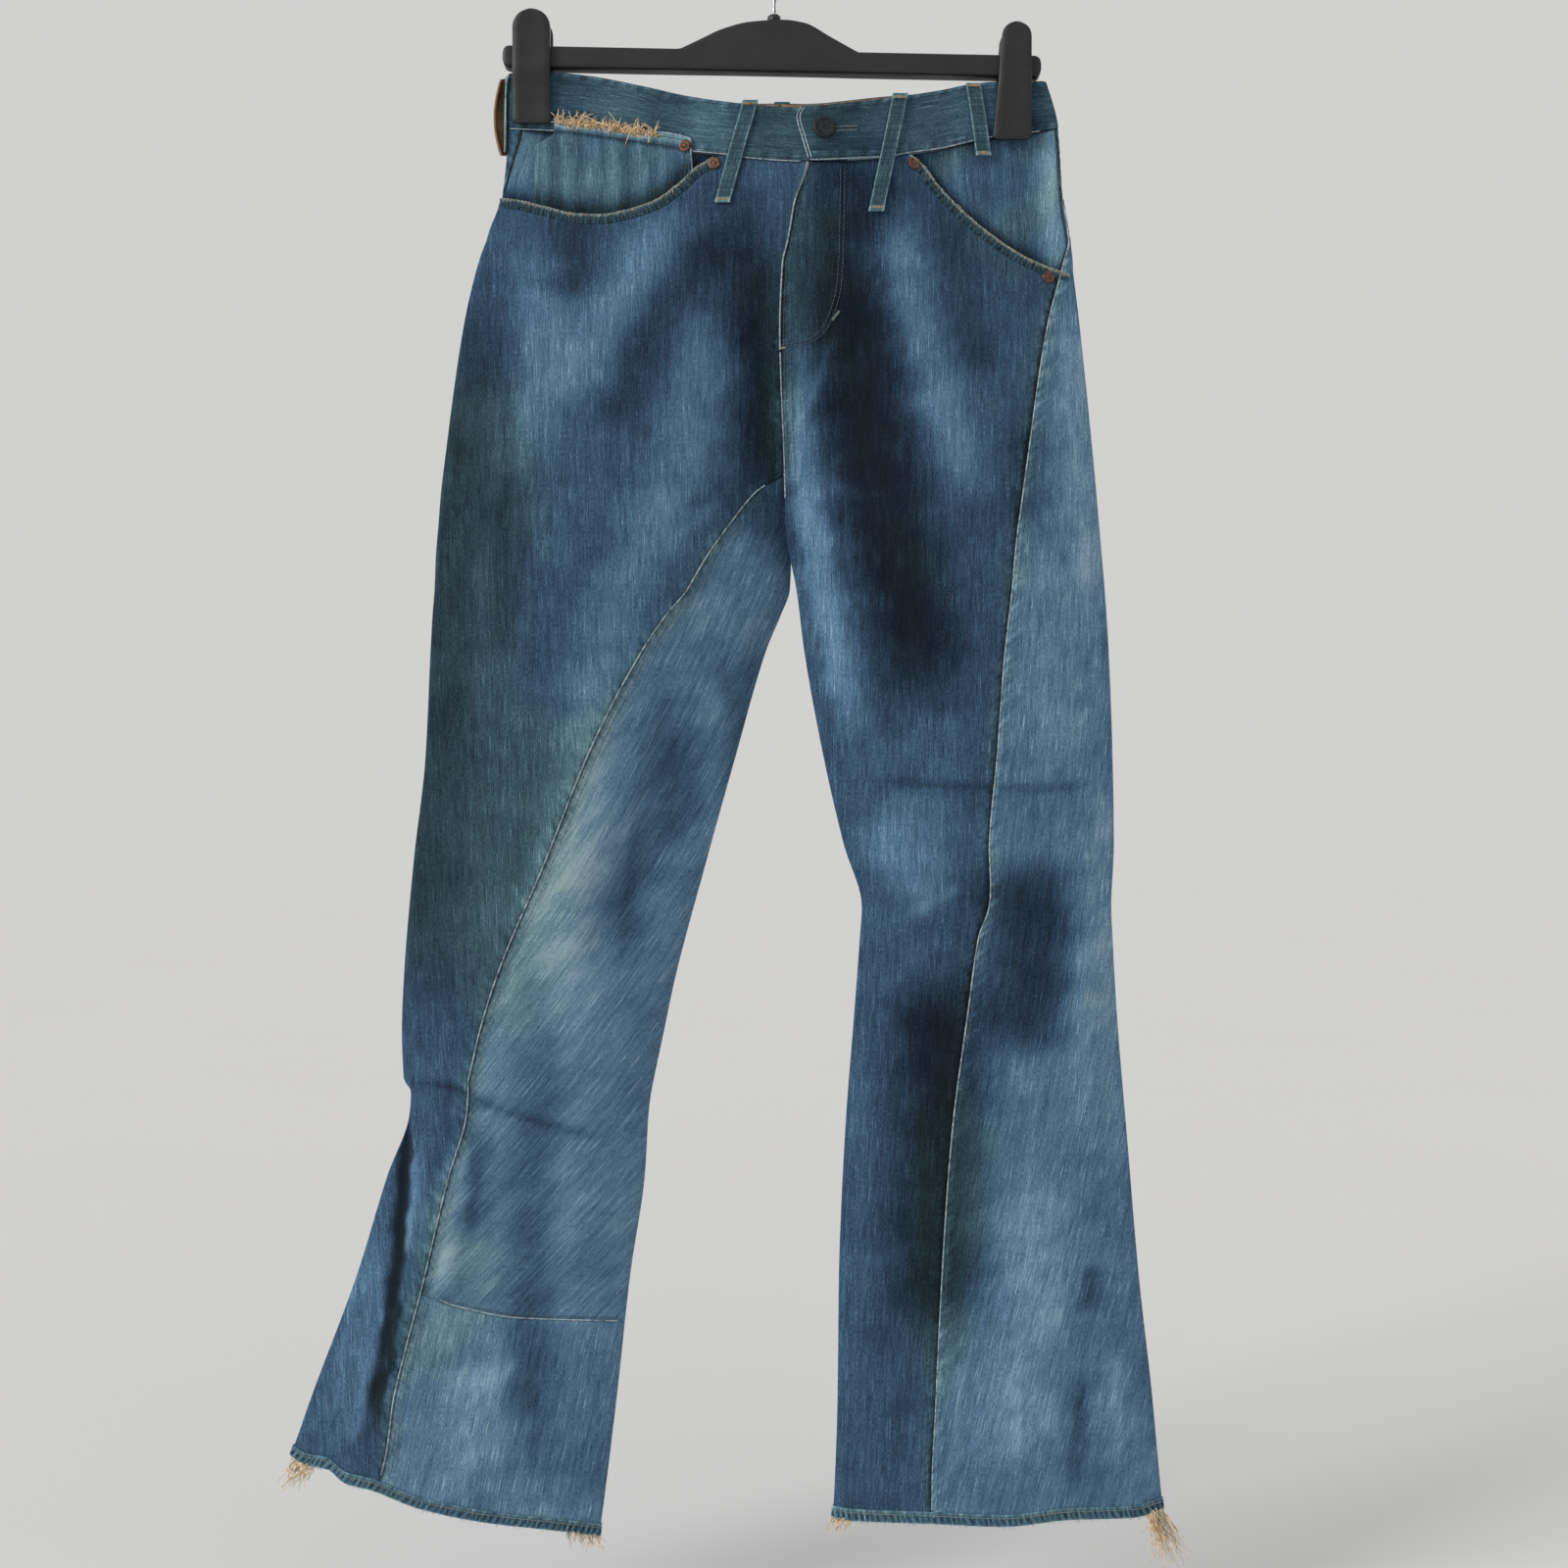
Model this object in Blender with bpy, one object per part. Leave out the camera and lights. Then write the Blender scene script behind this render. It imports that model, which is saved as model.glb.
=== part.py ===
"""Jeans that hang flat from a two-clip hanger. Sizes are in millimetres, turned into metres on the way out.

The origin is the inside top of the hanger's hook. X runs to the wearer's left, Y runs from the front to the
back, and Z is up. A drop is a distance down from the origin.
"""

import math
from dataclasses import dataclass

import bmesh
import bpy
import numpy as np
from mathutils import Vector

MM = 0.001

# The hanging plane is seen square on from this far, opposite the knees. The tables give places as seen
# against that plane, and a point in front of it or behind it is drawn along its line of sight.
SIGHT_DISTANCE = 1550.0
SIGHT_X = 7.5
SIGHT_DROP = 648.5

# Cloth
PLY = 1.5                    # denim wall
BAND_WALL = 3.0              # waistband: two plies and their seam allowance
BAND_PROUD = 0.6             # waistband face in front of the panels
HALF_GAP = 0.17              # each side of a seam
BAND_CLEAR = 0.8             # under the foot of the waistband
EDGE_DEPTH = 4.2             # half thickness of the folded sides
RIM_POWER = 6.0
HEM_EXTRA = 0.8              # turned hem, thicker by this
HEM_HEIGHT = 9.0

# Levels
WAIST_DROP = 147.0
CROTCH_DROP = 408.0
HEM_DROP = 1226.0
FORK_LENGTH = 130.0
CENTRE_BACK_X = 6.0
TOP_BEND = 150.0             # the rows under the waist bend to the top edge over this length
HEM_BEND = 330.0             # and the rows above the hem to the hem line over this one

# Fly
FLY_LIFT = 2.05
FLY_UNDERLAP = 10.0
FLY_END = 306.0
LAP_END = 350.0

LEG_COLUMNS = "drop outer inner front back outer_forward inner_forward inseam side".split()

# Places across, depths and how far the folded edges come forward. Inseam and side are in hundredths of the
# flat width from the inner edge, over 100 on the back; both legs' seams twist round the leg going down.
RIGHT_ROWS = [
    (100, -203, 24, 24, 15, 0, 0, 0, 96),
    (147, -203.5, 22, 27, 17, 0, 0, 0, 96),
    (172, -205, 20, 29, 20, 0, 0, 0, 98),
    (202, -209, 15, 30, 23, 0, 0, 0, 100.5),
    (228, -224, 10, 31, 25, 2, 0, 0, 103.5),
    (250, -229, 6, 32, 26, 4, 0, 0, 106),
    (300, -238, 4, 34, 28, 8, 0, 0, 112),
    (408, -253, 7.4, 34, 25, 14, 1, 0, 128),
    (425, -255, 9.3, 34, 25, 15, -2, 9, 131),
    (450, -257, 11, 34, 24, 16, -5, 17, 135),
    (475, -259, 13, 34, 23, 17, -6, 24, 138),
    (500, -260, 12, 33, 22, 18, -6, 29, 142),
    (519, -261.5, 5.2, 33, 22, 18, -6, 33, 145.5),
    (546, -263, -6, 32, 21, 18, -6, 37, 150),
    (629, -267, -30, 30, 19, 18, -6, 48, 162),
    (708, -276, -52, 28, 17, 17, -4, 55, 170),
    (798, -283.5, -76, 26, 16, 15, 0, 66, 176),
    (836, -285, -84, 25.5, 15.5, 13, 0, 70, 179),
    (874, -283.5, -92, 25, 15, 12, 0, 74, 182),
    (884, -278, -94, 25, 15, 10, 0, 76, 182),
    (900, -279, -96, 24, 15, 8, 0, 76, 183),
    (948, -296, -99, 23, 15, 4, 0, 76, 184),
    (1023, -319, -110, 23, 15, 0, 0, 75, 184),
    (1114, -353, -120, 22, 14, 0, 0, 73, 182),
    (1164, -371, -126, 22, 14, 0, 0, 70, 180),
    (1226, -400, -134, 22, 14, 0, 0, 68, 178),
]
LEFT_ROWS = [
    (100, 204, 24, 24, 15, 0, 0, 0, 100),
    (147, 217, 22, 27, 17, 0, 0, 0, 100),
    (202, 221, 15, 30, 23, 0, 0, 0, 100),
    (232, 226, 10, 31, 25, 0, 0, 0, 99.7),
    (250, 228, 6, 32, 26, 0, 0, 0, 97),
    (300, 234, 4, 34, 28, 0, 0, 0, 89),
    (408, 245, 7.6, 33, 25, 0, 4, 0, 78),
    (425, 246.5, 8, 33, 25, 0, 8, -3, 76.5),
    (454, 249, 8.6, 33, 24, 0, 13, -8, 74),
    (476, 251, 12.2, 33, 24, 1, 14, -12, 72),
    (500, 253, 17, 32, 23, 2, 14, -15, 70),
    (547, 256, 23, 31, 22, 4, 14, -22, 66),
    (629, 259, 38, 29, 20, 7, 13, -32, 60),
    (694, 260, 53, 28, 19, 8, 12, -40, 54),
    (743, 258, 67, 27, 18, 8, 10, -46, 51),
    (766, 259, 65.5, 27, 18, 8, 9, -48, 47),
    (820, 262, 61.5, 26, 17, 7, 8, -54, 43.5),
    (918, 270, 54, 25, 16, 5, 5, -60, 38),
    (1024, 279, 49.5, 24, 15, 3, 3, -64, 34.5),
    (1114, 289, 48.5, 24, 15, 2, 2, -67, 31.5),
    (1189, 296, 46, 24, 15, 0, 0, -69, 30),
    (1226, 300, 43, 24, 15, 0, 0, -70, 30),
]

# Edges as x and drop: waistband top and seam, pocket mouths, yoke seam, hems
BAND_TOP = [(-205, 105.0), (-171, 103.6), (-142, 106.2), (-98, 114.5), (-68, 121.2), (-38, 125.8),
            (-2, 129.5), (24, 130.5), (60, 127.5), (100, 121.5), (128, 117), (150, 112.6), (170, 110.8),
            (206, 110.8)]
BAND_SEAM = [(-205, 147), (-170, 148.5), (-120, 156), (-64, 164), (-34, 167), (-20, 169.3), (24, 172),
             (80, 169.3), (102, 165.5), (128, 161.8), (165, 153.5), (196, 149.8), (217, 147)]
RIGHT_MOUTH = [(-212, 200.8), (-198, 202.2), (-175, 207.5), (-152, 212.8), (-133, 213.5), (-112, 209.8),
               (-89, 201.5), (-72, 188.8), (-60, 177.5), (-52, 172.8), (-44, 168.2), (-34, 167.3)]
LEFT_MOUTH = [(102, 166), (108, 171), (114, 176), (124.5, 190.2), (145.5, 212), (166.5, 229.2),
              (187.5, 243.5), (210, 254), (222, 258), (232, 261)]
YOKE_SEAM = [(-212, 200.8), (-120, 206), (CENTRE_BACK_X, 217), (120, 206), (226, 200.8)]
RIGHT_HEM = [(-392, 1156), (-374, 1158.5), (-367, 1163.8), (-356, 1169.8), (-338, 1173.5), (-324, 1184),
             (-304, 1189.2), (-267, 1203.5), (-217, 1214), (-172, 1219.2), (-133, 1223.8)]
LEFT_HEM = [(43, 1209.5), (60, 1212.5), (119, 1214.8), (173, 1217), (223, 1211.8), (271, 1210.2),
            (297, 1203.5)]
BACK_HEM_RISE = 4.0
BACK_TOP_RISE = 3.4          # the waistband's back stands this much higher at its middle
BACK_TOP_FALL = 1.2

# Soft folds of the fronts and backs: height, width to the left and to the right of a path that runs down, or
# below and above one that runs across, and the path as x and drop. A trough has a height below 0.
FRONT_FOLDS = [
    (7.0, 42, 30, [(-34, 236), (-60, 371), (-75, 424), (-112, 514), (-142, 604), (-146, 686), (-165, 754),
                   (-142, 836), (-112, 896)]),
    (-4.0, 24, 24, [(-37, 210), (-97, 296), (-127, 378)]),
    (3.0, 16, 18, [(-180, 225), (-184, 300), (-190, 386)]),
    (-5.0, 22, 16, [(-10, 205), (-8, 300), (-4, 420)]),
    (-6.0, 22, 22, [(-82, 574), (-75, 648), (-112, 746), (-105, 798)]),
    (-2.5, 12, 14, [(-203, 408), (-199, 558)]),
    (4.0, 6, 24, [(-282, 872), (-239, 884), (-198, 902), (-163, 912), (-121, 923)]),
    (9.0, 9, 40, [(-277, 872), (-280, 926), (-285, 1004), (-292, 1050), (-307, 1128), (-320, 1161),
                  (-330, 1215)]),
    (-5.0, 20, 26, [(-184, 800), (-184, 1000), (-180, 1215)]),
    (3.0, 14, 14, [(-251, 940), (-251, 1050)]),
    (3.0, 20, 20, [(-150, 930), (-150, 1030)]),
    (3.0, 22, 22, [(-217, 1090), (-215, 1185)]),
    (-3.0, 18, 18, [(-165, 1061), (-163, 1215)]),
    (3.0, 12, 10, [(-312, 1040), (-345, 1150)]),
    (6.0, 12, 18, [(28, 290), (24, 386), (40, 468), (60, 558), (76, 641)]),
    (-8.0, 28, 34, [(56, 260), (62, 370), (92, 470), (112, 574), (120, 690)]),
    (5.0, 22, 22, [(86, 205), (109, 296), (139, 386), (157, 450)]),
    (-4.0, 20, 22, [(135, 225), (165, 348)]),
    (-3.0, 18, 18, [(195, 371), (195, 453)]),
    (3.0, 26, 26, [(205, 468), (208, 640)]),
    (3.0, 16, 12, [(238, 640), (242, 798)]),
    (3.5, 6, 22, [(71, 645), (127, 650), (202, 653), (252, 648)]),
    (7.0, 10, 38, [(64, 722), (105, 730), (150, 705)]),
    (-9.0, 34, 34, [(195, 690), (187, 783), (145, 858), (128, 948), (120, 1120)]),
    (4.0, 20, 18, [(246, 761), (252, 948)]),
    (3.0, 20, 20, [(214, 890), (218, 1030)]),
    (4.0, 34, 30, [(184, 1020), (190, 1200)]),
    (-3.0, 12, 12, [(240, 1031), (235, 1200)]),
    (3.0, 14, 12, [(268, 1080), (272, 1185)]),
    (4.0, 14, 18, [(78, 765), (74, 980), (68, 1200)]),
]
BACK_FOLDS = [
    (4.0, 26, 30, [(-60, 372), (-92, 440), (-140, 520), (-172, 600)]),
    (-4.0, 20, 22, [(-40, 400), (-70, 480), (-90, 560)]),
    (3.5, 24, 24, [(72, 372), (100, 450), (150, 540), (186, 620)]),
    (-4.0, 20, 20, [(46, 400), (84, 500), (100, 590)]),
    (4.0, 8, 24, [(-262, 760), (-190, 780), (-120, 772)]),
    (4.0, 8, 24, [(80, 752), (150, 770), (244, 758)]),
    (-3.5, 26, 26, [(-170, 820), (-200, 960), (-215, 1130)]),
    (3.0, 24, 24, [(-250, 930), (-270, 1150)]),
    (-3.5, 26, 26, [(160, 810), (150, 960), (160, 1140)]),
    (3.0, 22, 22, [(220, 900), (238, 1150)]),
]
FOLD_STEPS = 14
FOLD_ENDS = 0.22
FOLD_MARGIN = 0.12           # folds die out this near a folded side, as a share of the half width
FOLD_START = 175.0           # and above this drop
FOLD_START_LENGTH = 60.0

# Trims
LOOP_WIDTH = 12.0
LOOP_WALL = 1.6
RIVET_RADIUS = 4.8
BUTTON_RADIUS = 8.5
SEAT = 0.35
FRAY_ROOT_WIDTH = 1.8
FRAY_ROOT_HEIGHT = 1.4
FRAY_SLOPE = 0.5             # further down, because the hem's edge slopes
FRAY_PARTS = [(0.35, 0.55, 0.8), (0.65, 0.45, 0.45)]    # shares of the sway and the length, and the taper

# A face's directions are found between points this far apart on each side
PROBE_TURN = 0.02
PROBE_DROP = 1.5

# Hanger
BAR_DEPTH = 7.5
BAR_LEFT = -207.0
BAR_RIGHT = 203.5
BAR_TILT = 0.0195
BAR_TOP = 85.2
BAR_BOTTOM = 101.6
HUMP = [(-72, 0), (-54, 9), (-41, 15.5), (-18, 22), (8, 24), (23, 22), (43, 11.5), (64, 0)]
BOSS_RADIUS = 5.2
BOSS_HEIGHT = 4.5
HOOK_WIRE = 1.5
HOOK_RADIUS = 20.5
HOOK_CENTRE_DROP = 19.0
HOOK_JOIN = math.radians(-50)
HOOK_END = math.radians(215)
NECK_TOP = 52.0


def smoothstep(value):
    """Soft step from 0 to 1."""
    value = np.clip(value, 0.0, 1.0)
    return value * value * (3 - 2 * value)


def mix(first, second, share):
    """First at share 0, second at share 1."""
    return first * (1 - share) + second * share


def smooth_curve(at, places, values):
    """A curve through the values that has no swings between them."""
    places = np.asarray(places, float)
    values = np.asarray(values, float)
    step = np.diff(places)
    rise = np.diff(values) / step
    slope = np.zeros_like(values)
    product = rise[:-1] * rise[1:]
    total = rise[:-1] + rise[1:]
    turning = product <= 0
    slope[1:-1] = np.where(turning, 0, 2 * product / np.where(turning, 1, total))
    slope[0] = rise[0]
    slope[-1] = rise[-1]
    at = np.clip(at, places[0], places[-1])
    i = np.clip(np.searchsorted(places, at, side="right") - 1, 0, len(step) - 1)
    t = (at - places[i]) / step[i]
    start = (1 + 2 * t) * (1 - t) ** 2 * values[i] + t * (1 - t) ** 2 * step[i] * slope[i]
    end = t * t * (3 - 2 * t) * values[i + 1] - t * t * (1 - t) * step[i] * slope[i + 1]
    return start + end


def edge_drop(table, x):
    """Drop of an edge at x."""
    return smooth_curve(x, [row[0] for row in table], [row[1] for row in table])


@dataclass(frozen=True)
class Leg:
    """One side of the garment, with its table and hem. Hand is 1 on the right side and -1 on the left."""

    name: str
    rows: tuple
    hem: tuple
    hand: float

    def read(self, column, drop):
        """A column of the table at a drop."""
        at = LEG_COLUMNS.index(column)
        return smooth_curve(drop, [row[0] for row in self.rows], [row[at] for row in self.rows])


RIGHT = Leg("right", tuple(RIGHT_ROWS), tuple(RIGHT_HEM), 1.0)
LEFT = Leg("left", tuple(LEFT_ROWS), tuple(LEFT_HEM), -1.0)


def closing(drop):
    """0 in the trunk, 1 where each leg is closed round by itself."""
    return smoothstep((drop - (CROTCH_DROP - FORK_LENGTH)) / FORK_LENGTH)


def turn_of(share):
    """Angle round the leg at a share of the flat width: whole shares are the folded sides."""
    lap = np.floor(share)
    return math.pi * lap + np.arccos(np.clip(1 - 2 * (share - lap), -1, 1))


def path_points(path):
    """Points along a fold, evenly spaced."""
    path = np.array(path, float)
    length = np.concatenate([[0], np.cumsum(np.hypot(*np.diff(path, axis=0).T))])
    at = np.linspace(0, length[-1], FOLD_STEPS)
    return np.stack([smooth_curve(at, length, path[:, i]) for i in range(2)], 1)


def fold_height(x, drop, fold):
    """Height of one fold at x and drop."""
    height, left, right, path = fold
    points = path_points(path)
    nearest = np.full(np.shape(x), np.inf)
    place = np.zeros(np.shape(x))
    side = np.zeros(np.shape(x))
    for i in range(FOLD_STEPS - 1):
        start = points[i]
        run = points[i + 1] - start
        t = np.clip(((x - start[0]) * run[0] + (drop - start[1]) * run[1]) / (run @ run), 0, 1)
        across = x - start[0] - t * run[0]
        down = drop - start[1] - t * run[1]
        distance = np.hypot(across, down)
        near = distance < nearest
        nearest = np.where(near, distance, nearest)
        place = np.where(near, (i + t) / (FOLD_STEPS - 1), place)
        side = np.where(near, run[1] * across - run[0] * down, side)
    width = np.where(side > 0, right, left)
    ends = smoothstep(place / FOLD_ENDS) * smoothstep((1 - place) / FOLD_ENDS)
    return height * ends * np.exp(-(nearest / width) ** 2)


def relief(x, drop, folds):
    """All folds of a face together."""
    start = smoothstep((drop - FOLD_START) / FOLD_START_LENGTH)
    return sum(fold_height(x, drop, fold) for fold in folds) * start


def half_depth(place, full, power):
    """Distance of a face from the middle plane: a round rim and a soft belly. Place is -1 to 1 across."""
    place = np.minimum(np.abs(place), 1.0)
    rim = EDGE_DEPTH * (1 - place ** RIM_POWER) ** (1 / RIM_POWER)
    return rim + (full - EDGE_DEPTH) * (1 - place * place) ** power


def trunk_place(x, drop):
    """Place across the trunk, from -1 at the right side to 1 at the left one."""
    right = RIGHT.read("outer", drop)
    left = LEFT.read("outer", drop)
    return (x - (left + right) / 2) / ((left - right) / 2)


def trunk_depth(x, drop, on_front):
    """Depth of the trunk's front or back at x. The clips pinch it thin towards the sides of the waist."""
    column = np.where(on_front, (RIGHT.read("front", drop) + LEFT.read("front", drop)) / 2,
                      (RIGHT.read("back", drop) + LEFT.read("back", drop)) / 2)
    power = mix(3.2, 0.9, smoothstep((drop - WAIST_DROP - 5) / 150))
    return half_depth(trunk_place(x, drop), column, power)


def along_sight(x, y, drop):
    """A point in metres, drawn along its line of sight from its place as seen."""
    scale = 1 + y / SIGHT_DISTANCE
    return np.stack([(SIGHT_X + (x - SIGHT_X) * scale) * MM, y * MM,
                     -(SIGHT_DROP + (drop - SIGHT_DROP) * scale) * MM], -1)


def skin(leg, turn, drop, shift=0.0, lift=0.0):
    """Outer face of the cloth at an angle round the leg and a drop.

    Angle 0 is the inner edge, half a turn the outer one, and the front lies between them. In the trunk the
    inner edge is the centre front or the centre back.
    """
    on_front = np.sin(turn) >= 0
    closed = closing(drop)
    outer = leg.read("outer", drop)
    inner = leg.read("inner", drop)
    inner = np.where(on_front, inner, mix(CENTRE_BACK_X, inner, closed))
    place = np.cos(turn)
    x = (inner + outer) / 2 + (inner - outer) / 2 * place + shift
    full = np.where(on_front, leg.read("front", drop), leg.read("back", drop))
    depth = mix(trunk_depth(x, drop, on_front), half_depth(place, full, 0.9), closed)
    forward = mix(leg.read("outer_forward", drop), leg.read("inner_forward", drop), (1 + place) / 2)
    margin = smoothstep((1 - np.abs(trunk_place(x, drop))) / FOLD_MARGIN)
    margin = margin * mix(1.0, smoothstep((1 - np.abs(place)) / FOLD_MARGIN), closed)
    folds = np.where(on_front, relief(x, drop, FRONT_FOLDS), relief(x, drop, BACK_FOLDS)) * margin
    depth = np.maximum(depth + folds, EDGE_DEPTH * 0.6 * margin) + lift
    return along_sight(x, np.where(on_front, -depth, depth) - forward, drop)


def band_skin(turn, drop):
    """Outer face of the waist at an angle round the trunk. The front lies between 0 and half a turn."""
    right = RIGHT.read("outer", drop)
    left = LEFT.read("outer", drop)
    x = (left + right) / 2 + (left - right) / 2 * np.cos(turn)
    on_front = np.sin(turn) >= 0
    depth = trunk_depth(x, drop, on_front)
    return along_sight(x, np.where(on_front, -depth, depth), drop)


def outward(face, turn, drop, hand, split=False):
    """Unit normals of a face, and its unit direction of growing angle.

    A split face ends at the centre front and the centre back, all the way down to the crotch.
    """
    ahead = turn + PROBE_TURN
    behind = turn - PROBE_TURN
    if split:
        in_trunk = drop < CROTCH_DROP - 1
        ahead = np.where(in_trunk, np.minimum(ahead, 2 * math.pi - 1e-6), ahead)
        behind = np.where(in_trunk, np.maximum(behind, 0.0), behind)
    around = face(ahead, drop) - face(behind, drop)
    down = face(turn, drop + PROBE_DROP) - face(turn, drop - PROBE_DROP)
    normal = np.cross(around, down) * hand
    normal /= np.linalg.norm(normal, axis=-1, keepdims=True)
    around /= np.linalg.norm(around, axis=-1, keepdims=True)
    return normal, around


def material(name, colour, roughness, metallic=0.0):
    """A plain material."""
    made = bpy.data.materials.new(name)
    made.use_nodes = True
    shader = made.node_tree.nodes["Principled BSDF"]
    shader.inputs["Base Color"].default_value = (*colour, 1.0)
    shader.inputs["Roughness"].default_value = roughness
    shader.inputs["Metallic"].default_value = metallic
    return made


def add_object(name, mesh_data, finish, smooth_angle=40.0):
    """Turn a bmesh into an object of its own."""
    bmesh.ops.recalc_face_normals(mesh_data, faces=mesh_data.faces)
    mesh = bpy.data.meshes.new(name)
    mesh_data.to_mesh(mesh)
    mesh_data.free()
    mesh.shade_smooth()
    mesh.set_sharp_from_angle(angle=math.radians(smooth_angle))
    mesh.materials.append(finish)
    made = bpy.data.objects.new(name, mesh)
    bpy.context.scene.collection.objects.link(made)
    return made


def add_wall(name, outer, inner, finish, closed_rows=False):
    """A wall between two grids of points, closed along its borders, or round on itself along each row."""
    shape = bmesh.new()
    rows, columns = outer.shape[:2]
    faces = [[[shape.verts.new(point) for point in row] for row in grid] for grid in (outer, inner)]
    spans = columns if closed_rows else columns - 1
    for grid in faces:
        for r in range(rows - 1):
            for c in range(spans):
                d = (c + 1) % columns
                shape.faces.new([grid[r][c], grid[r][d], grid[r + 1][d], grid[r + 1][c]])
    border = [(r, c, r, (c + 1) % columns) for r in (0, rows - 1) for c in range(spans)]
    if not closed_rows:
        border += [(r, c, r + 1, c) for c in (0, columns - 1) for r in range(rows - 1)]
    front, rear = faces
    for r, c, s, d in border:
        shape.faces.new([front[r][c], front[s][d], rear[s][d], rear[r][c]])
    return add_object(name, shape, finish)


def levels(leg):
    """Row levels of a side: the same for its front and back, with rows at the crotch and the knee fold."""
    upper = np.linspace(WAIST_DROP, CROTCH_DROP, 10)
    lower = np.linspace(CROTCH_DROP, HEM_DROP - HEM_HEIGHT - 1, 27)[1:]
    knee = [874.0, 884.0] if leg is RIGHT else [743.0]
    rows = [drop for drop in (*upper, *lower) if all(abs(drop - extra) > 12 for extra in knee)]
    return np.array(sorted(rows + knee))


def seat_rows(leg, turns_at, level, top, hem, x_at):
    """Drops and angles of a panel's grid. Rows near its ends bend to the top edge and to the hem."""
    drop = np.repeat(level[:, None], x_at, 1)
    for _ in range(4):
        turn = turns_at(drop)
        x = skin(leg, turn, drop)[..., 0] / MM
        top_share = np.clip(1 - (level - level[0]) / TOP_BEND, 0, 1)[:, None]
        hem_share = np.clip((level - HEM_DROP + HEM_BEND) / HEM_BEND, 0, 1)[:, None]
        drop = level[:, None] + (top(x, turn) - level[0]) * top_share
        drop = drop + (hem(x, turn) - HEM_DROP) * hem_share
    return turns_at(drop), drop


def hem_line(leg):
    """Hem of a leg. The back's hem is a little higher than the front's."""
    def line(x, turn):
        return edge_drop(leg.hem, x) - BACK_HEM_RISE * np.clip(-np.sin(turn), 0, 1)
    return line


def seam_turns(leg, on_front, columns):
    """Angles of a panel's columns between its seams, as a function of the drops. One lies on each fold."""
    share = np.linspace(0, 1, columns)[None, :]

    def turns(drop):
        side = leg.read("side", drop) / 100
        inseam = np.where(drop <= CROTCH_DROP, 0.0, leg.read("inseam", drop) / 100)
        start = turn_of(inseam) if on_front else turn_of(side)
        end = turn_of(side) if on_front else turn_of(inseam) + 2 * math.pi
        turn = mix(start, end, share)
        step = (end - start) / (columns - 1)
        fold = np.round(turn / math.pi) * math.pi
        on_fold = (np.abs(turn - fold) < 0.5 * step) & (share > 0) & (share < 1)
        return np.where(on_fold, fold, turn)
    return turns


def panel_grids(leg, on_front, level, top, hem, columns, lap=None):
    """Outer and inner points of a front or a back."""
    turns_at = seam_turns(leg, on_front, columns)
    turn, drop = seat_rows(leg, turns_at, level, top, hem, columns)
    lift = 0.0
    shift = np.zeros_like(drop)
    if lap is not None:
        lift, shift = lap(leg, turn, drop)

    def face(angle, at):
        return skin(leg, angle, at, shift, lift)

    normal, around = outward(face, turn, drop, leg.hand, True)
    outer = face(turn, drop)
    inner = outer - PLY * MM * normal
    in_hem = (level >= HEM_DROP - HEM_HEIGHT - 0.1)[:, None, None]
    outer = outer + HEM_EXTRA * MM * normal * in_hem
    return part_seams(leg, outer, inner, around, drop)


def part_seams(leg, outer, inner, around, drop):
    """Draw the first and last columns back from their seams, and the first row down from the one above."""
    sideways = np.array([leg.hand, 0.0, 0.0])
    for column, sign in ((0, 1.0), (-1, -1.0)):
        step = around[:, column] * sign * HALF_GAP * MM
        centre = (drop[:, column] < CROTCH_DROP - 1)[:, None]
        at_centre = np.abs(outer[:, column, :1] / MM - leg.read("inner", drop[:, column])[:, None]) < 25
        step = np.where(centre & at_centre, -sideways * HALF_GAP * MM, step)
        outer[:, column] += step
        inner[:, column] += step
    for grid in (outer, inner):
        grid[0, :, 2] -= BAND_CLEAR * MM
    return outer, inner


def fly_lap(leg, turn, drop):
    """Lift and sideways reach at the fly: the left front laps over the right one, which reaches under it."""
    columns = turn.shape[1]
    x = skin(leg, turn, drop)[..., 0] / MM
    from_edge = np.abs(x - leg.read("inner", drop))
    if leg is LEFT:
        near = smoothstep(1 - (from_edge - 14) / 26)
        return FLY_LIFT * near * smoothstep((LAP_END + 30 - drop) / 30), np.zeros_like(drop)
    reach = FLY_UNDERLAP * smoothstep((FLY_END - drop) / 20)
    slide = np.clip(1 - np.arange(columns) / 3, 0, 1)[None, :]
    return 0.0, reach * slide


def front_top(leg):
    """Top edge of a front: the waist seam by the fly, then the pocket mouth out to the side seam."""
    mouth, inner_x = (RIGHT_MOUTH, -34) if leg is RIGHT else (LEFT_MOUTH, 102)

    def line(x, turn):
        by_fly = x > inner_x if leg is RIGHT else x < inner_x
        return np.where(by_fly, edge_drop(BAND_SEAM, x), edge_drop(mouth, x))
    return line


def back_seam(x):
    """Waist seam on the back."""
    return edge_drop(BAND_SEAM, x) - BACK_TOP_RISE * smoothstep(1 - np.abs(x - 40) / 60)


def yoke_line(x, turn):
    """Seam between a yoke and its back. It meets the side seam at the same height on both faces."""
    return edge_drop(YOKE_SEAM, x)


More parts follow.
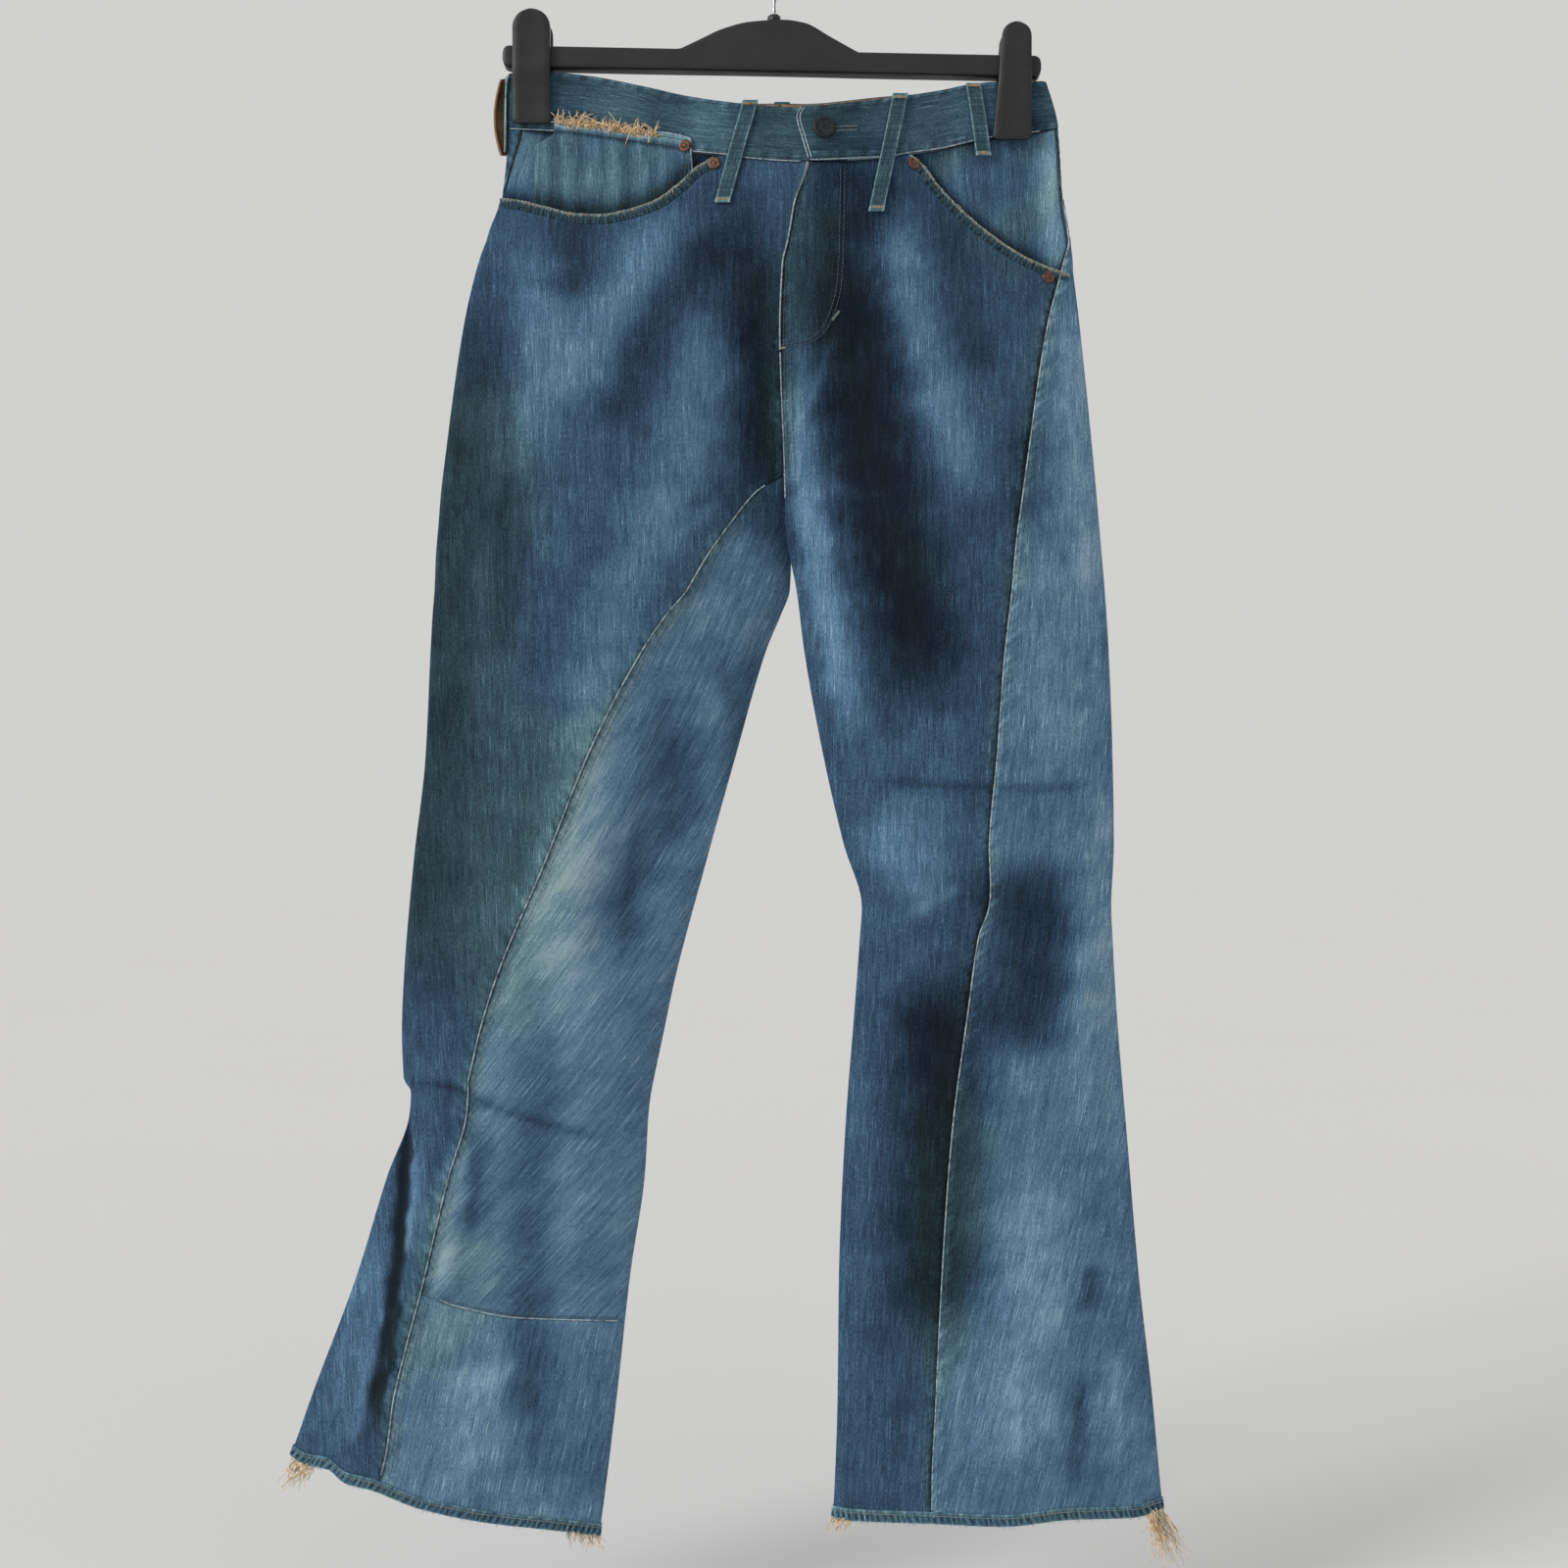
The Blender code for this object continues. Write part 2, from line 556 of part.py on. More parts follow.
def make_panels(denim):
    """Fronts, backs and the stretch of the right leg that is pieced on."""
    for leg, front_columns, back_columns in ((RIGHT, 18, 13), (LEFT, 15, 13)):
        level = levels(leg)
        level = np.append(level, (HEM_DROP - HEM_HEIGHT, HEM_DROP))
        hem = hem_line(leg)
        outer, inner = panel_grids(leg, True, level, front_top(leg), hem, front_columns, lap=fly_lap)
        add_wall(f"front_panel_{leg.name}", outer, inner, denim)
        if leg is LEFT:
            outer, inner = panel_grids(leg, False, level, yoke_line, hem_line(leg), back_columns)
            add_wall("back_panel_left", outer, inner, denim)
            continue
        cut = int(np.argmin(np.abs(level - 1055)))
        outer, inner = panel_grids(leg, False, level, yoke_line, hem_line(leg), back_columns)
        add_wall("back_panel_right", outer[:cut + 1].copy(), inner[:cut + 1].copy(), denim)
        lower_outer, lower_inner = outer[cut:].copy(), inner[cut:].copy()
        for grid in (lower_outer, lower_inner):
            down = grid[1] - grid[0]
            grid[0] += down / np.linalg.norm(down, axis=-1, keepdims=True) * 2 * HALF_GAP * MM
        add_wall("hem_panel_right", lower_outer, lower_inner, denim)


def make_yokes(denim):
    """The two back yokes, from the waist seam to the backs."""
    for leg in (RIGHT, LEFT):
        columns = 14
        turns_at = seam_turns(leg, False, columns)
        share = np.linspace(0, 1, 4)[:, None]
        drop = np.full((4, columns), 170.0)
        for _ in range(4):
            turn = turns_at(drop)
            x = skin(leg, turn, drop)[..., 0] / MM
            top = np.where(np.sin(turn) < 0, back_seam(x), edge_drop(BAND_SEAM, x))
            drop = mix(top, edge_drop(YOKE_SEAM, x) - 2 * HALF_GAP, share)

        def face(angle, at):
            return skin(leg, angle, at)

        normal, around = outward(face, turn, drop, leg.hand, True)
        outer = face(turn, drop)
        inner = outer - PLY * MM * normal
        outer, inner = part_seams(leg, outer, inner, around, drop)
        add_wall(f"yoke_{leg.name}", outer, inner, denim)


def band_turn(x, drop, on_front=True):
    """Angle round the trunk at x."""
    angle = np.arccos(np.clip(trunk_place(x, drop), -1, 1))
    return angle if on_front else 2 * math.pi - angle


def make_waistband(denim):
    """One strip round the waist. Its left front end laps over the right one."""
    end_x = [(103, 21.5), (130, 21), (139, 17), (155, 21), (172, 26)]
    under_x = 56.0
    columns = 61
    rows = 5
    share = np.linspace(0, 1, rows)[:, None]
    drop = np.full((rows, columns), 140.0)
    for _ in range(4):
        start = band_turn(edge_drop(end_x, drop[:, :1]), drop[:, :1])
        end = band_turn(under_x, drop[:, -1:]) - 2 * math.pi
        turn = mix(start, end, np.linspace(0, 1, columns)[None, :])
        x = band_skin(turn, drop)[..., 0] / MM
        back = np.sin(turn) < 0
        rise = BACK_TOP_RISE * smoothstep(1.4 - np.abs(x - 40) / 60) - BACK_TOP_FALL * smoothstep(
            (1 - np.abs(trunk_place(x, drop))) / 0.1)
        top = edge_drop(BAND_TOP, x) - np.where(back, rise, 0)
        low = np.where(back, back_seam(x), edge_drop(BAND_SEAM, x))
        drop = mix(top, low, share)
    over = (np.arange(columns) < columns // 2)[None, :]
    lift = np.where(over & ~back, (BAND_WALL + 0.4) * smoothstep((100 - x) / 40), 0.0) + BAND_PROUD

    normal, _ = outward(band_skin, turn, drop, 1.0)
    outer = band_skin(turn, drop) + (lift * MM)[..., None] * normal
    inner = outer - BAND_WALL * MM * normal
    add_wall("waistband", outer, inner, denim)


def patch_on_trunk(name, x, drop, deep, wall, finish, on_front=True):
    """A piece that lies on the trunk or under its face: deep is how far its outer face is below that face."""
    leg = RIGHT if np.mean(x) < 0 else LEFT
    inner = leg.read("inner", drop)
    inner = inner if on_front else mix(CENTRE_BACK_X, inner, closing(drop))
    outer_x = leg.read("outer", drop)
    place = np.clip((x - (inner + outer_x) / 2) / ((inner - outer_x) / 2), -1, 1)
    turn = np.arccos(place) if on_front else 2 * math.pi - np.arccos(place)

    def face(angle, at):
        return skin(leg, angle, at)

    normal, _ = outward(face, turn, drop, leg.hand)
    points = face(turn, drop)
    outer = points - (deep * MM)[..., None] * normal
    rear = outer - wall * MM * normal
    return add_wall(name, outer, rear, finish)


def make_facings(denim):
    """The cloth that shows in the pocket mouths and goes on behind the fronts."""
    for leg, mouth, near_x, far_share in ((RIGHT, RIGHT_MOUTH, -30.0, 1.0), (LEFT, LEFT_MOUTH, 96.0, 0.985)):
        rows, columns = 8, 14
        down = np.linspace(0, 1, rows)[:, None]
        across = np.linspace(0, 1, columns)[None, :]
        drop = np.full((rows, columns), 180.0)
        for _ in range(5):
            inner = leg.read("inner", drop)
            outer = leg.read("outer", drop)
            side = np.minimum(leg.read("side", drop) / 100 - 0.007, far_share)
            near = (near_x - inner) / (outer - inner)
            share = mix(near, side, 1 - (1 - across) ** 1.4)
            x = mix(inner, outer, share)
            reach = 18 * smoothstep((0.94 - share) / 0.1)
            low = np.maximum(edge_drop(mouth, x), edge_drop(BAND_SEAM, x)) + reach - 2 * HALF_GAP
            drop = mix(edge_drop(BAND_SEAM, x) + BAND_CLEAR, low, down)
        deep = 3.8 * smoothstep((1.0 - share) / 0.1)
        patch_on_trunk(f"pocket_facing_{leg.name}", x, drop, deep, 1.4, denim)


def make_coin_pocket(denim):
    """Small pocket on the right facing. Its turned top lies over the foot of the waistband."""
    rows, columns = 8, 10
    top_edge = [(-170, 139.0), (-140, 142.5), (-110, 147), (-73, 152.5), (-63, 155.5)]
    down = np.linspace(0, 1, rows)[:, None]
    across = np.linspace(0, 1, columns)[None, :]
    drop = np.full((rows, columns), 170.0)
    for _ in range(4):
        left = -168 - 16 * smoothstep((drop - 150) / 12)
        right = np.full_like(drop, -63.0)
        x = mix(left, right, across)
        low = np.maximum(edge_drop(RIGHT_MOUTH, x) + 9, 186.0)
        drop = mix(edge_drop(top_edge, x), low, down ** 1.1)
    seam = edge_drop(BAND_SEAM, x)
    below_seam = smoothstep((drop - seam - 1) / np.clip(edge_drop(RIGHT_MOUTH, x) - seam - 4, 9, 24))
    deep = mix(-(BAND_PROUD + SEAT + 1.25), 2.1, below_seam)
    patch_on_trunk("coin_pocket", x, drop, deep, 1.2, denim)


def make_back_pockets(denim):
    """Plain patch pockets on the backs."""
    for name, middle in (("right", -104.0), ("left", 116.0)):
        rows, columns = 8, 9
        down = np.linspace(0, 1, rows)[:, None]
        across = np.linspace(-1, 1, columns)[None, :]
        x = middle + across * mix(64.0, 54.0, down)
        low = 354.0 - 16 * np.abs(across)
        drop = mix(229.0 + 0 * across, low, down)
        deep = np.full_like(drop, -(SEAT + 0.1 + 1.3))
        patch_on_trunk(f"back_pocket_{name}", x, drop, deep, 1.3, denim, on_front=False)


def make_belt_loops(denim):
    """Five loops. Each is a bar sewn down at its ends, a little off the waistband between them."""
    # name, top x and drop, foot x and drop, on the front, extra lift
    table = [
        ("front_right", -18.0, 126.0, -39.5, 204.0, True, 0.0),
        ("front_left", 96.0, 121.0, 77.5, 211.0, True, 0.6),
        ("side_left", 152.0, 113.0, 160.0, 168.0, True, 0.0),
        ("back", CENTRE_BACK_X, 126.0, CENTRE_BACK_X, 194.0, False, 0.0),
    ]
    for name, top_x, top_drop, foot_x, foot_drop, on_front, extra in table:
        rows = 9
        down = np.linspace(0, 1, rows)[:, None]
        drop = mix(top_drop, foot_drop, down) + np.zeros((1, 2))
        x = mix(top_x, foot_x, down) + np.array([[-0.5, 0.5]]) * LOOP_WIDTH
        seam = edge_drop(BAND_SEAM, x)
        on_band = smoothstep((seam + 6 - drop) / 5)
        proud = mix(SEAT, SEAT + BAND_PROUD, on_band) + 1.1 * np.sin(math.pi * down) ** 0.5 + extra
        turn = band_turn(x, drop, on_front)
        normal, _ = outward(band_skin, turn, drop, 1.0)
        inner = band_skin(turn, drop) + (proud * MM)[..., None] * normal
        outer = inner + LOOP_WALL * MM * normal
        add_wall(f"belt_loop_{name}", outer, inner, denim)
    make_side_loop(denim)


def make_side_loop(denim):
    """The loop that is seen edge on at the right side."""
    rows = 7
    down = np.linspace(0, 1, rows)[:, None]
    drop = mix(107.0, 165.0, down) + np.zeros((1, 2))
    y = np.array([[-4.6, 4.6]]) + np.zeros_like(drop)
    x = RIGHT.read("outer", drop) - BAND_PROUD - SEAT - 0.7 * np.sin(math.pi * down)
    inner = along_sight(x, y, drop)
    outer = along_sight(x - LOOP_WALL, y, drop)
    add_wall("belt_loop_side_right", outer, inner, denim)


def make_patch(leather):
    """Bare leather patch on the waistband's back. Its end bows out round the side loop."""
    # x, y and how far the end bows out
    route = [(-208.4, -4.5, 5.5), (-208.8, 0.0, 5.2), (-208.3, 4.6, 4.0), (-205.9, 7.0, 1.6),
             (-200, 6.6, 0.0), (-186, 6.3, 0.0), (-171, 6.5, 0.0), (-158, 6.9, 0.0), (-145, 7.6, 0.0)]
    wall = 1.5
    rows = 7
    x = np.array([[row[0] for row in route]])
    y = np.array([[row[1] for row in route]])
    bow = np.array([[row[2] for row in route]])
    down = np.linspace(0, 1, rows)[:, None]
    bulge = np.sin(math.pi * down) ** 0.8
    drop = mix(109.0, 168.0, down) + 0 * x
    x = x - bow * bulge
    y = y + 0 * down
    run = np.stack([np.gradient(x, axis=1), np.gradient(y, axis=1)], -1)
    run /= np.linalg.norm(run, axis=-1, keepdims=True)
    side_x = -run[..., 1] * wall / 2
    side_y = run[..., 0] * wall / 2
    outer = along_sight(x + side_x, y + side_y, drop)
    inner = along_sight(x - side_x, y - side_y, drop)
    add_wall("leather_patch", outer, inner, leather)


def make_disc(name, x, drop, proud, profile, sides, finish):
    """A small turned piece that sits on the front. Profile rows are radius and height, from its foot up."""
    level = np.array([[drop]])
    turn = band_turn(np.array([[x]]), level)
    normal, _ = outward(band_skin, turn, level, 1.0)
    axis = Vector(normal[0, 0])
    foot = Vector(band_skin(turn, level)[0, 0]) + axis * proud * MM
    shape = bmesh.new()
    rings = []
    for radius, height in profile:
        ring = bmesh.ops.create_circle(shape, segments=sides, radius=radius * MM)["verts"]
        bmesh.ops.translate(shape, verts=ring, vec=(0, 0, height * MM))
        rings.append(ring)
    for low, high in zip(rings, rings[1:]):
        for i in range(sides):
            shape.faces.new([low[i], low[(i + 1) % sides], high[(i + 1) % sides], high[i]])
    shape.faces.new(list(reversed(rings[0])))
    shape.faces.new(rings[-1])
    turned = Vector((0, 0, 1)).rotation_difference(axis).to_matrix()
    bmesh.ops.rotate(shape, verts=shape.verts, matrix=turned)
    bmesh.ops.translate(shape, verts=shape.verts, vec=foot)
    return add_object(name, shape, finish)


def make_metal(dark_metal, copper):
    """Waist button and pocket rivets."""
    edge = BUTTON_RADIUS
    button = [(3.2, 0), (3.2, 1.2), (edge - 0.8, 1.5), (edge, 2.3), (edge - 0.5, 3.2), (edge - 2.2, 3.7),
              (edge - 3.0, 3.3)]
    make_disc("waist_button", 37.5, 148.2, BAND_PROUD + BAND_WALL + 0.4 + SEAT, button, 16, dark_metal)
    # x, drop and height of the cloth that each rivet holds
    rivets = [(-67.5, 161.0, BAND_PROUD + 1.7), (-45.8, 173.6, 0.0), (107.2, 173.4, 0.0), (209.5, 260.8, 0.0)]
    profile = [(RIVET_RADIUS, 0), (RIVET_RADIUS, 0.7), (RIVET_RADIUS - 1.2, 1.3), (2.0, 1.1), (1.6, 1.7)]
    for number, (x, drop, cloth) in enumerate(rivets, 1):
        make_disc(f"rivet_{number}", x, drop, cloth + SEAT, profile, 12, copper)


def fray_rings(leg, first, last, strands):
    """Sections of the strip under a front hem, between two places across the leg.

    Place 0 is the leg's inner edge and place 1 its outer one.
    """
    rings = []
    for share in np.linspace(first, last, 2 * strands + 1):
        turn = np.array([[turn_of(share)]])
        drop = np.full((1, 1), HEM_DROP)
        for _ in range(4):
            x = skin(leg, turn, drop)[..., 0] / MM
            drop = edge_drop(leg.hem, x)
        normal, _ = outward(lambda angle, at: skin(leg, angle, at), turn, drop, leg.hand)
        wall = PLY + HEM_EXTRA
        middle = skin(leg, turn, drop) + (HEM_EXTRA - wall / 2) * MM * normal
        middle = middle[0, 0]
        side = normal[0, 0] * FRAY_ROOT_WIDTH / 2 * MM
        root = np.array([0.0, 0.0, -(SEAT + FRAY_SLOPE) * MM])
        fall = np.array([0.0, 0.0, -FRAY_ROOT_HEIGHT * MM])
        rings.append([middle + root + side, middle + root - side, middle + root + fall - side,
                      middle + root + fall + side])
    return rings


def make_fray(name, leg, first, last, strands, length, spread, lean, seed, thread):
    """A narrow strip under a hem corner with frayed strands that hang from it. Lean is their sideways sag."""
    draw = np.random.default_rng(seed)
    shape = bmesh.new()
    rings = [[shape.verts.new(corner) for corner in ring] for ring in fray_rings(leg, first, last, strands)]
    feet = []
    for at, (low, high) in enumerate(zip(rings, rings[1:])):
        for i in range(4):
            j = (i + 1) % 4
            side = shape.faces.new([low[i], low[j], high[j], high[i]])
            if i == 2 and at % 2 == 0:
                feet.append(side)
    shape.faces.new(rings[0])
    shape.faces.new(list(reversed(rings[-1])))
    for number, foot in enumerate(feet):
        place = (number + 0.5) / strands - 0.5
        reach = length * draw.uniform(0.6, 1.0) * MM
        sway = (lean + place * spread + draw.uniform(-0.06, 0.06)) * reach
        fore = draw.uniform(-0.18, 0.18) * reach
        tip = foot
        for share_aside, share_down, taper in FRAY_PARTS:
            grown = bmesh.ops.extrude_discrete_faces(shape, faces=[tip])["faces"][0]
            move = Vector((sway * share_aside, fore * 0.5, -reach * share_down))
            bmesh.ops.translate(shape, verts=grown.verts, vec=move)
            centre = grown.calc_center_median()
            for vert in grown.verts:
                vert.co = centre + (vert.co - centre) * taper
            tip = grown
    bmesh.ops.remove_doubles(shape, verts=shape.verts, dist=1e-7)
    return add_object(name, shape, thread)


def make_frays(thread):
    """Frayed corners of the hems."""
    # name, leg, places across the hem, strands, length, spread, lean, seed
    table = [
        ("fray_right_outer", RIGHT, 0.985, 0.91, 9, 19, 0.5, -0.85, 3),
        ("fray_right_inner", RIGHT, 0.075, 0.01, 7, 11, 0.7, 0.25, 5),
        ("fray_left_inner", LEFT, 0.01, 0.06, 7, 10, 0.7, -0.5, 7),
        ("fray_left_outer", LEFT, 0.91, 0.99, 12, 31, 0.45, 0.5, 11),
    ]
    for row in table:
        make_fray(*row, thread)


def make_loft(name, rings, finish):
    """A solid through closed rings of points in metres."""
    shape = bmesh.new()
    made = [[shape.verts.new(point) for point in ring] for ring in rings]
    for low, high in zip(made, made[1:]):
        for i in range(len(low)):
            j = (i + 1) % len(low)
            shape.faces.new([low[i], low[j], high[j], high[i]])
    shape.faces.new(made[0])
    shape.faces.new(list(reversed(made[-1])))
    return add_object(name, shape, finish)


def chamfered(low_a, high_a, low_b, high_b, cut):
    """Corners of a rectangle with cut corners, as pairs."""
    return [(low_a + cut, low_b), (high_a - cut, low_b), (high_a, low_b + cut), (high_a, high_b - cut),
            (high_a - cut, high_b), (low_a + cut, high_b), (low_a, high_b - cut), (low_a, low_b + cut)]


def make_bar(plastic):
    """Hanger bar with its raised middle."""
    places = [BAR_LEFT, BAR_LEFT + 1.2, BAR_LEFT + 4, BAR_LEFT + 9, -140, *[row[0] for row in HUMP], 0,
              -30, 34, 130, BAR_RIGHT - 9, BAR_RIGHT - 4, BAR_RIGHT - 1.2, BAR_RIGHT]
    rings = []
    half = (BAR_BOTTOM - BAR_TOP) / 2
    for x in sorted(places):
        middle = (BAR_TOP + BAR_BOTTOM) / 2 + BAR_TILT * (x - BAR_LEFT)
        from_end = min(x - BAR_LEFT, BAR_RIGHT - x)
        round_end = math.sqrt(max(0.0, 1 - (1 - min(from_end / 9, 1)) ** 2)) * 0.75 + 0.25
        hump = float(edge_drop(HUMP, np.array(x))) if HUMP[0][0] < x < HUMP[-1][0] else 0.0
        deep = BAR_DEPTH * (0.5 + 0.5 * round_end)
        crown = middle - half * round_end - hump
        ring = chamfered(-deep, deep, crown, middle + half * round_end, 2.0 * round_end)
        rings.append([(x * MM, y * MM, -drop * MM) for y, drop in ring])
    make_loft("hanger_bar", rings, plastic)


def make_clip(side, left_x, right_x, foot_left, foot_right, top, foot, front_bite, rear_bite, plastic):
    """Front and rear jaws of one clip. The bites are the depths of the jaws' faces at the mouth."""
    seat = BAR_DEPTH + 0.3
    wall = 4.6
    for jaw, sign, bite in (("front", -1.0, front_bite), ("back", 1.0, rear_bite)):
        rings = []
        radius = (right_x - left_x) / 2
        # share of the way down, inner depth, thickness
        crown = [top + radius * (1 - math.cos(math.radians(angle))) for angle in (14, 30, 50, 70, 90)]
        stations = [(drop, seat, wall) for drop in crown]
        stations += [(top + 34, seat, wall), (top + 44, seat, wall + 1.2), (foot - 24, bite, wall + 0.6)]
        stations += [(foot - 12, bite, wall - 0.4), (foot - 3, bite, wall - 0.4)]
        stations += [(foot, bite + 0.8, wall - 2)]
        for drop, deep, thick in stations:
            arc = math.sqrt(max(0.0, 1 - max(0.0, 1 - (drop - top) / radius) ** 2))
            low_share = min(max((drop - top - radius) / (foot - top - radius), 0.0), 1.0)
            left = mix(left_x, foot_left, low_share)
            right = mix(right_x, foot_right, low_share)
            middle = (left + right) / 2
            half = (right - left) / 2 * arc
            ring = chamfered(middle - half, middle + half, deep, deep + thick, 1.0)
            rings.append([(x * MM, sign * y * MM, -drop * MM) for x, y in ring])
        make_loft(f"clip_{side}_{jaw}", rings, plastic)


def make_hook(steel, plastic):
    """Boss on the bar and the wire hook, whose inside top is the origin."""
    crown = BAR_TOP + BAR_TILT * (0 - BAR_LEFT) - float(edge_drop(HUMP, np.array(0.0)))
    foot = crown - 0.3
    rings = []
    crown_drop = foot - BOSS_HEIGHT
    for drop, radius in ((foot, BOSS_RADIUS), (crown_drop + 1, BOSS_RADIUS), (crown_drop, BOSS_RADIUS - 1)):
        rings.append([(radius * math.cos(a) * MM, radius * math.sin(a) * MM, -drop * MM)
                      for a in np.linspace(0, 2 * math.pi, 13)[:-1]])
    make_loft("hanger_boss", rings, plastic)

    neck_foot = foot - BOSS_HEIGHT - 0.3
    join = (HOOK_RADIUS * math.cos(HOOK_JOIN), -HOOK_CENTRE_DROP + HOOK_RADIUS * math.sin(HOOK_JOIN))
    heading = (-math.sin(HOOK_JOIN), math.cos(HOOK_JOIN))
    points = [(0.0, -neck_foot), (0.0, -(neck_foot + NECK_TOP) / 2)]
    pull = 9.0
    for t in np.linspace(0, 1, 8)[:-1]:
        weights = ((1 - t) ** 3, 3 * t * (1 - t) ** 2, 3 * t * t * (1 - t), t ** 3)
        corners = [(0.0, -NECK_TOP), (0.0, -NECK_TOP + pull),
                   (join[0] - heading[0] * pull, join[1] - heading[1] * pull), join]
        points.append(tuple(sum(w * c[i] for w, c in zip(weights, corners)) for i in range(2)))
    for angle in np.linspace(HOOK_JOIN, HOOK_END, 24):
        points.append((HOOK_RADIUS * math.cos(angle), -HOOK_CENTRE_DROP + HOOK_RADIUS * math.sin(angle)))
    curve = bpy.data.curves.new("hanger_hook", "CURVE")
    curve.dimensions = "3D"
    curve.bevel_depth = HOOK_WIRE * MM
    curve.bevel_resolution = 2
    curve.use_fill_caps = True
    line = curve.splines.new("POLY")
    line.points.add(len(points) - 1)
    for point, (x, z) in zip(line.points, points):
        point.co = (x * MM, 0.0, z * MM, 1.0)
    curve.materials.append(steel)
    made = bpy.data.objects.new("hanger_hook", curve)
    bpy.context.scene.collection.objects.link(made)


def make_hanger(plastic, steel):
    """The clip hanger."""
    make_bar(plastic)
    make_clip("right", -199.0, -170.2, -199.0, -170.2, 59.0, 145.5, 5.8, 7.7, plastic)
    make_clip("left", 173.2, 195.8, 166.6, 195.8, 68.8, 158.0, 6.9, 6.3, plastic)
    make_hook(steel, plastic)


def main():
    """Clear the scene and make every piece."""
    for old in list(bpy.data.objects):
        bpy.data.objects.remove(old, do_unlink=True)
    denim = material("denim", (0.055, 0.115, 0.17), 0.9)
    leather = material("leather", (0.16, 0.09, 0.05), 0.6)
    dark_metal = material("dark_metal", (0.03, 0.03, 0.03), 0.45, 0.9)
    copper = material("copper", (0.28, 0.14, 0.09), 0.5, 0.9)
    thread = material("thread", (0.35, 0.25, 0.16), 0.95)
    plastic = material("black_plastic", (0.012, 0.013, 0.015), 0.4)
    steel = material("steel", (0.55, 0.55, 0.55), 0.3, 1.0)
    make_panels(denim)
    make_yokes(denim)
    make_waistband(denim)
    make_facings(denim)
    make_coin_pocket(denim)
    make_back_pockets(denim)
    make_belt_loops(denim)
    make_patch(leather)
    make_metal(dark_metal, copper)
    make_frays(thread)
    make_hanger(plastic, steel)


main()
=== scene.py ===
"""Faded jeans on a clip hanger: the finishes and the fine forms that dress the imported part.

Places are in millimetres of the part's own frame, as x, depth y and a drop down from the hook's inside
top, and are turned into metres on the way out. Tables give places as seen square on from the front, as
the part's source does.
"""

import logging
import math
from dataclasses import dataclass, field
from enum import Enum
from typing import Callable, Sequence

import bmesh
import bpy
import numpy as np
from bpy.types import Material, Modifier, Node, NodeSocket, Object
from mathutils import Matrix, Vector


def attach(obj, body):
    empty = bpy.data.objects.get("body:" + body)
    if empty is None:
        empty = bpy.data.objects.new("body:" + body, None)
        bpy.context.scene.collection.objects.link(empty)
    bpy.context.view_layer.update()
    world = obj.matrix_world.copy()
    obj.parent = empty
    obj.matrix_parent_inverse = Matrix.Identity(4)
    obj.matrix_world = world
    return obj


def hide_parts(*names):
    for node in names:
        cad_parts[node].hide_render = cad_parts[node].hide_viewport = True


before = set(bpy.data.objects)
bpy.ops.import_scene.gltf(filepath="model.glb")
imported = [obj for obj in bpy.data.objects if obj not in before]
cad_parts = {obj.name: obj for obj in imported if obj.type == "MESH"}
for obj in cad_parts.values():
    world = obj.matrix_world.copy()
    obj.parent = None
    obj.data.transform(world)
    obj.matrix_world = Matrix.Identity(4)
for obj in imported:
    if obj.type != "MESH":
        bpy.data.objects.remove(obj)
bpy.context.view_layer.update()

LOG = logging.getLogger("jeans")
Grid = np.ndarray
Rows = Sequence[tuple]
Colour = tuple[float, float, float, float]
MM = 0.001

# The hanging plane is seen square on from this far, opposite the knees
SIGHT_DISTANCE = 1550.0
SIGHT_X = 7.5
SIGHT_DROP = 648.5

# Cloth
PLY = 1.5
BAND_WALL = 3.0
BAND_PROUD = 0.6
EDGE_DEPTH = 4.2
RIM_POWER = 6.0
HEM_HEIGHT = 9.5

# Levels
WAIST_DROP = 147.0
CROTCH_DROP = 408.0
HEM_DROP = 1226.0
FORK_LENGTH = 130.0
CENTRE_BACK_X = 6.0

# Fly
FLY_LIFT = 2.05
FLY_UNDERLAP = 10.0
FLY_END = 306.0
LAP_END = 350.0

LEG_COLUMNS = "drop outer inner front back outer_forward inner_forward inseam side".split()

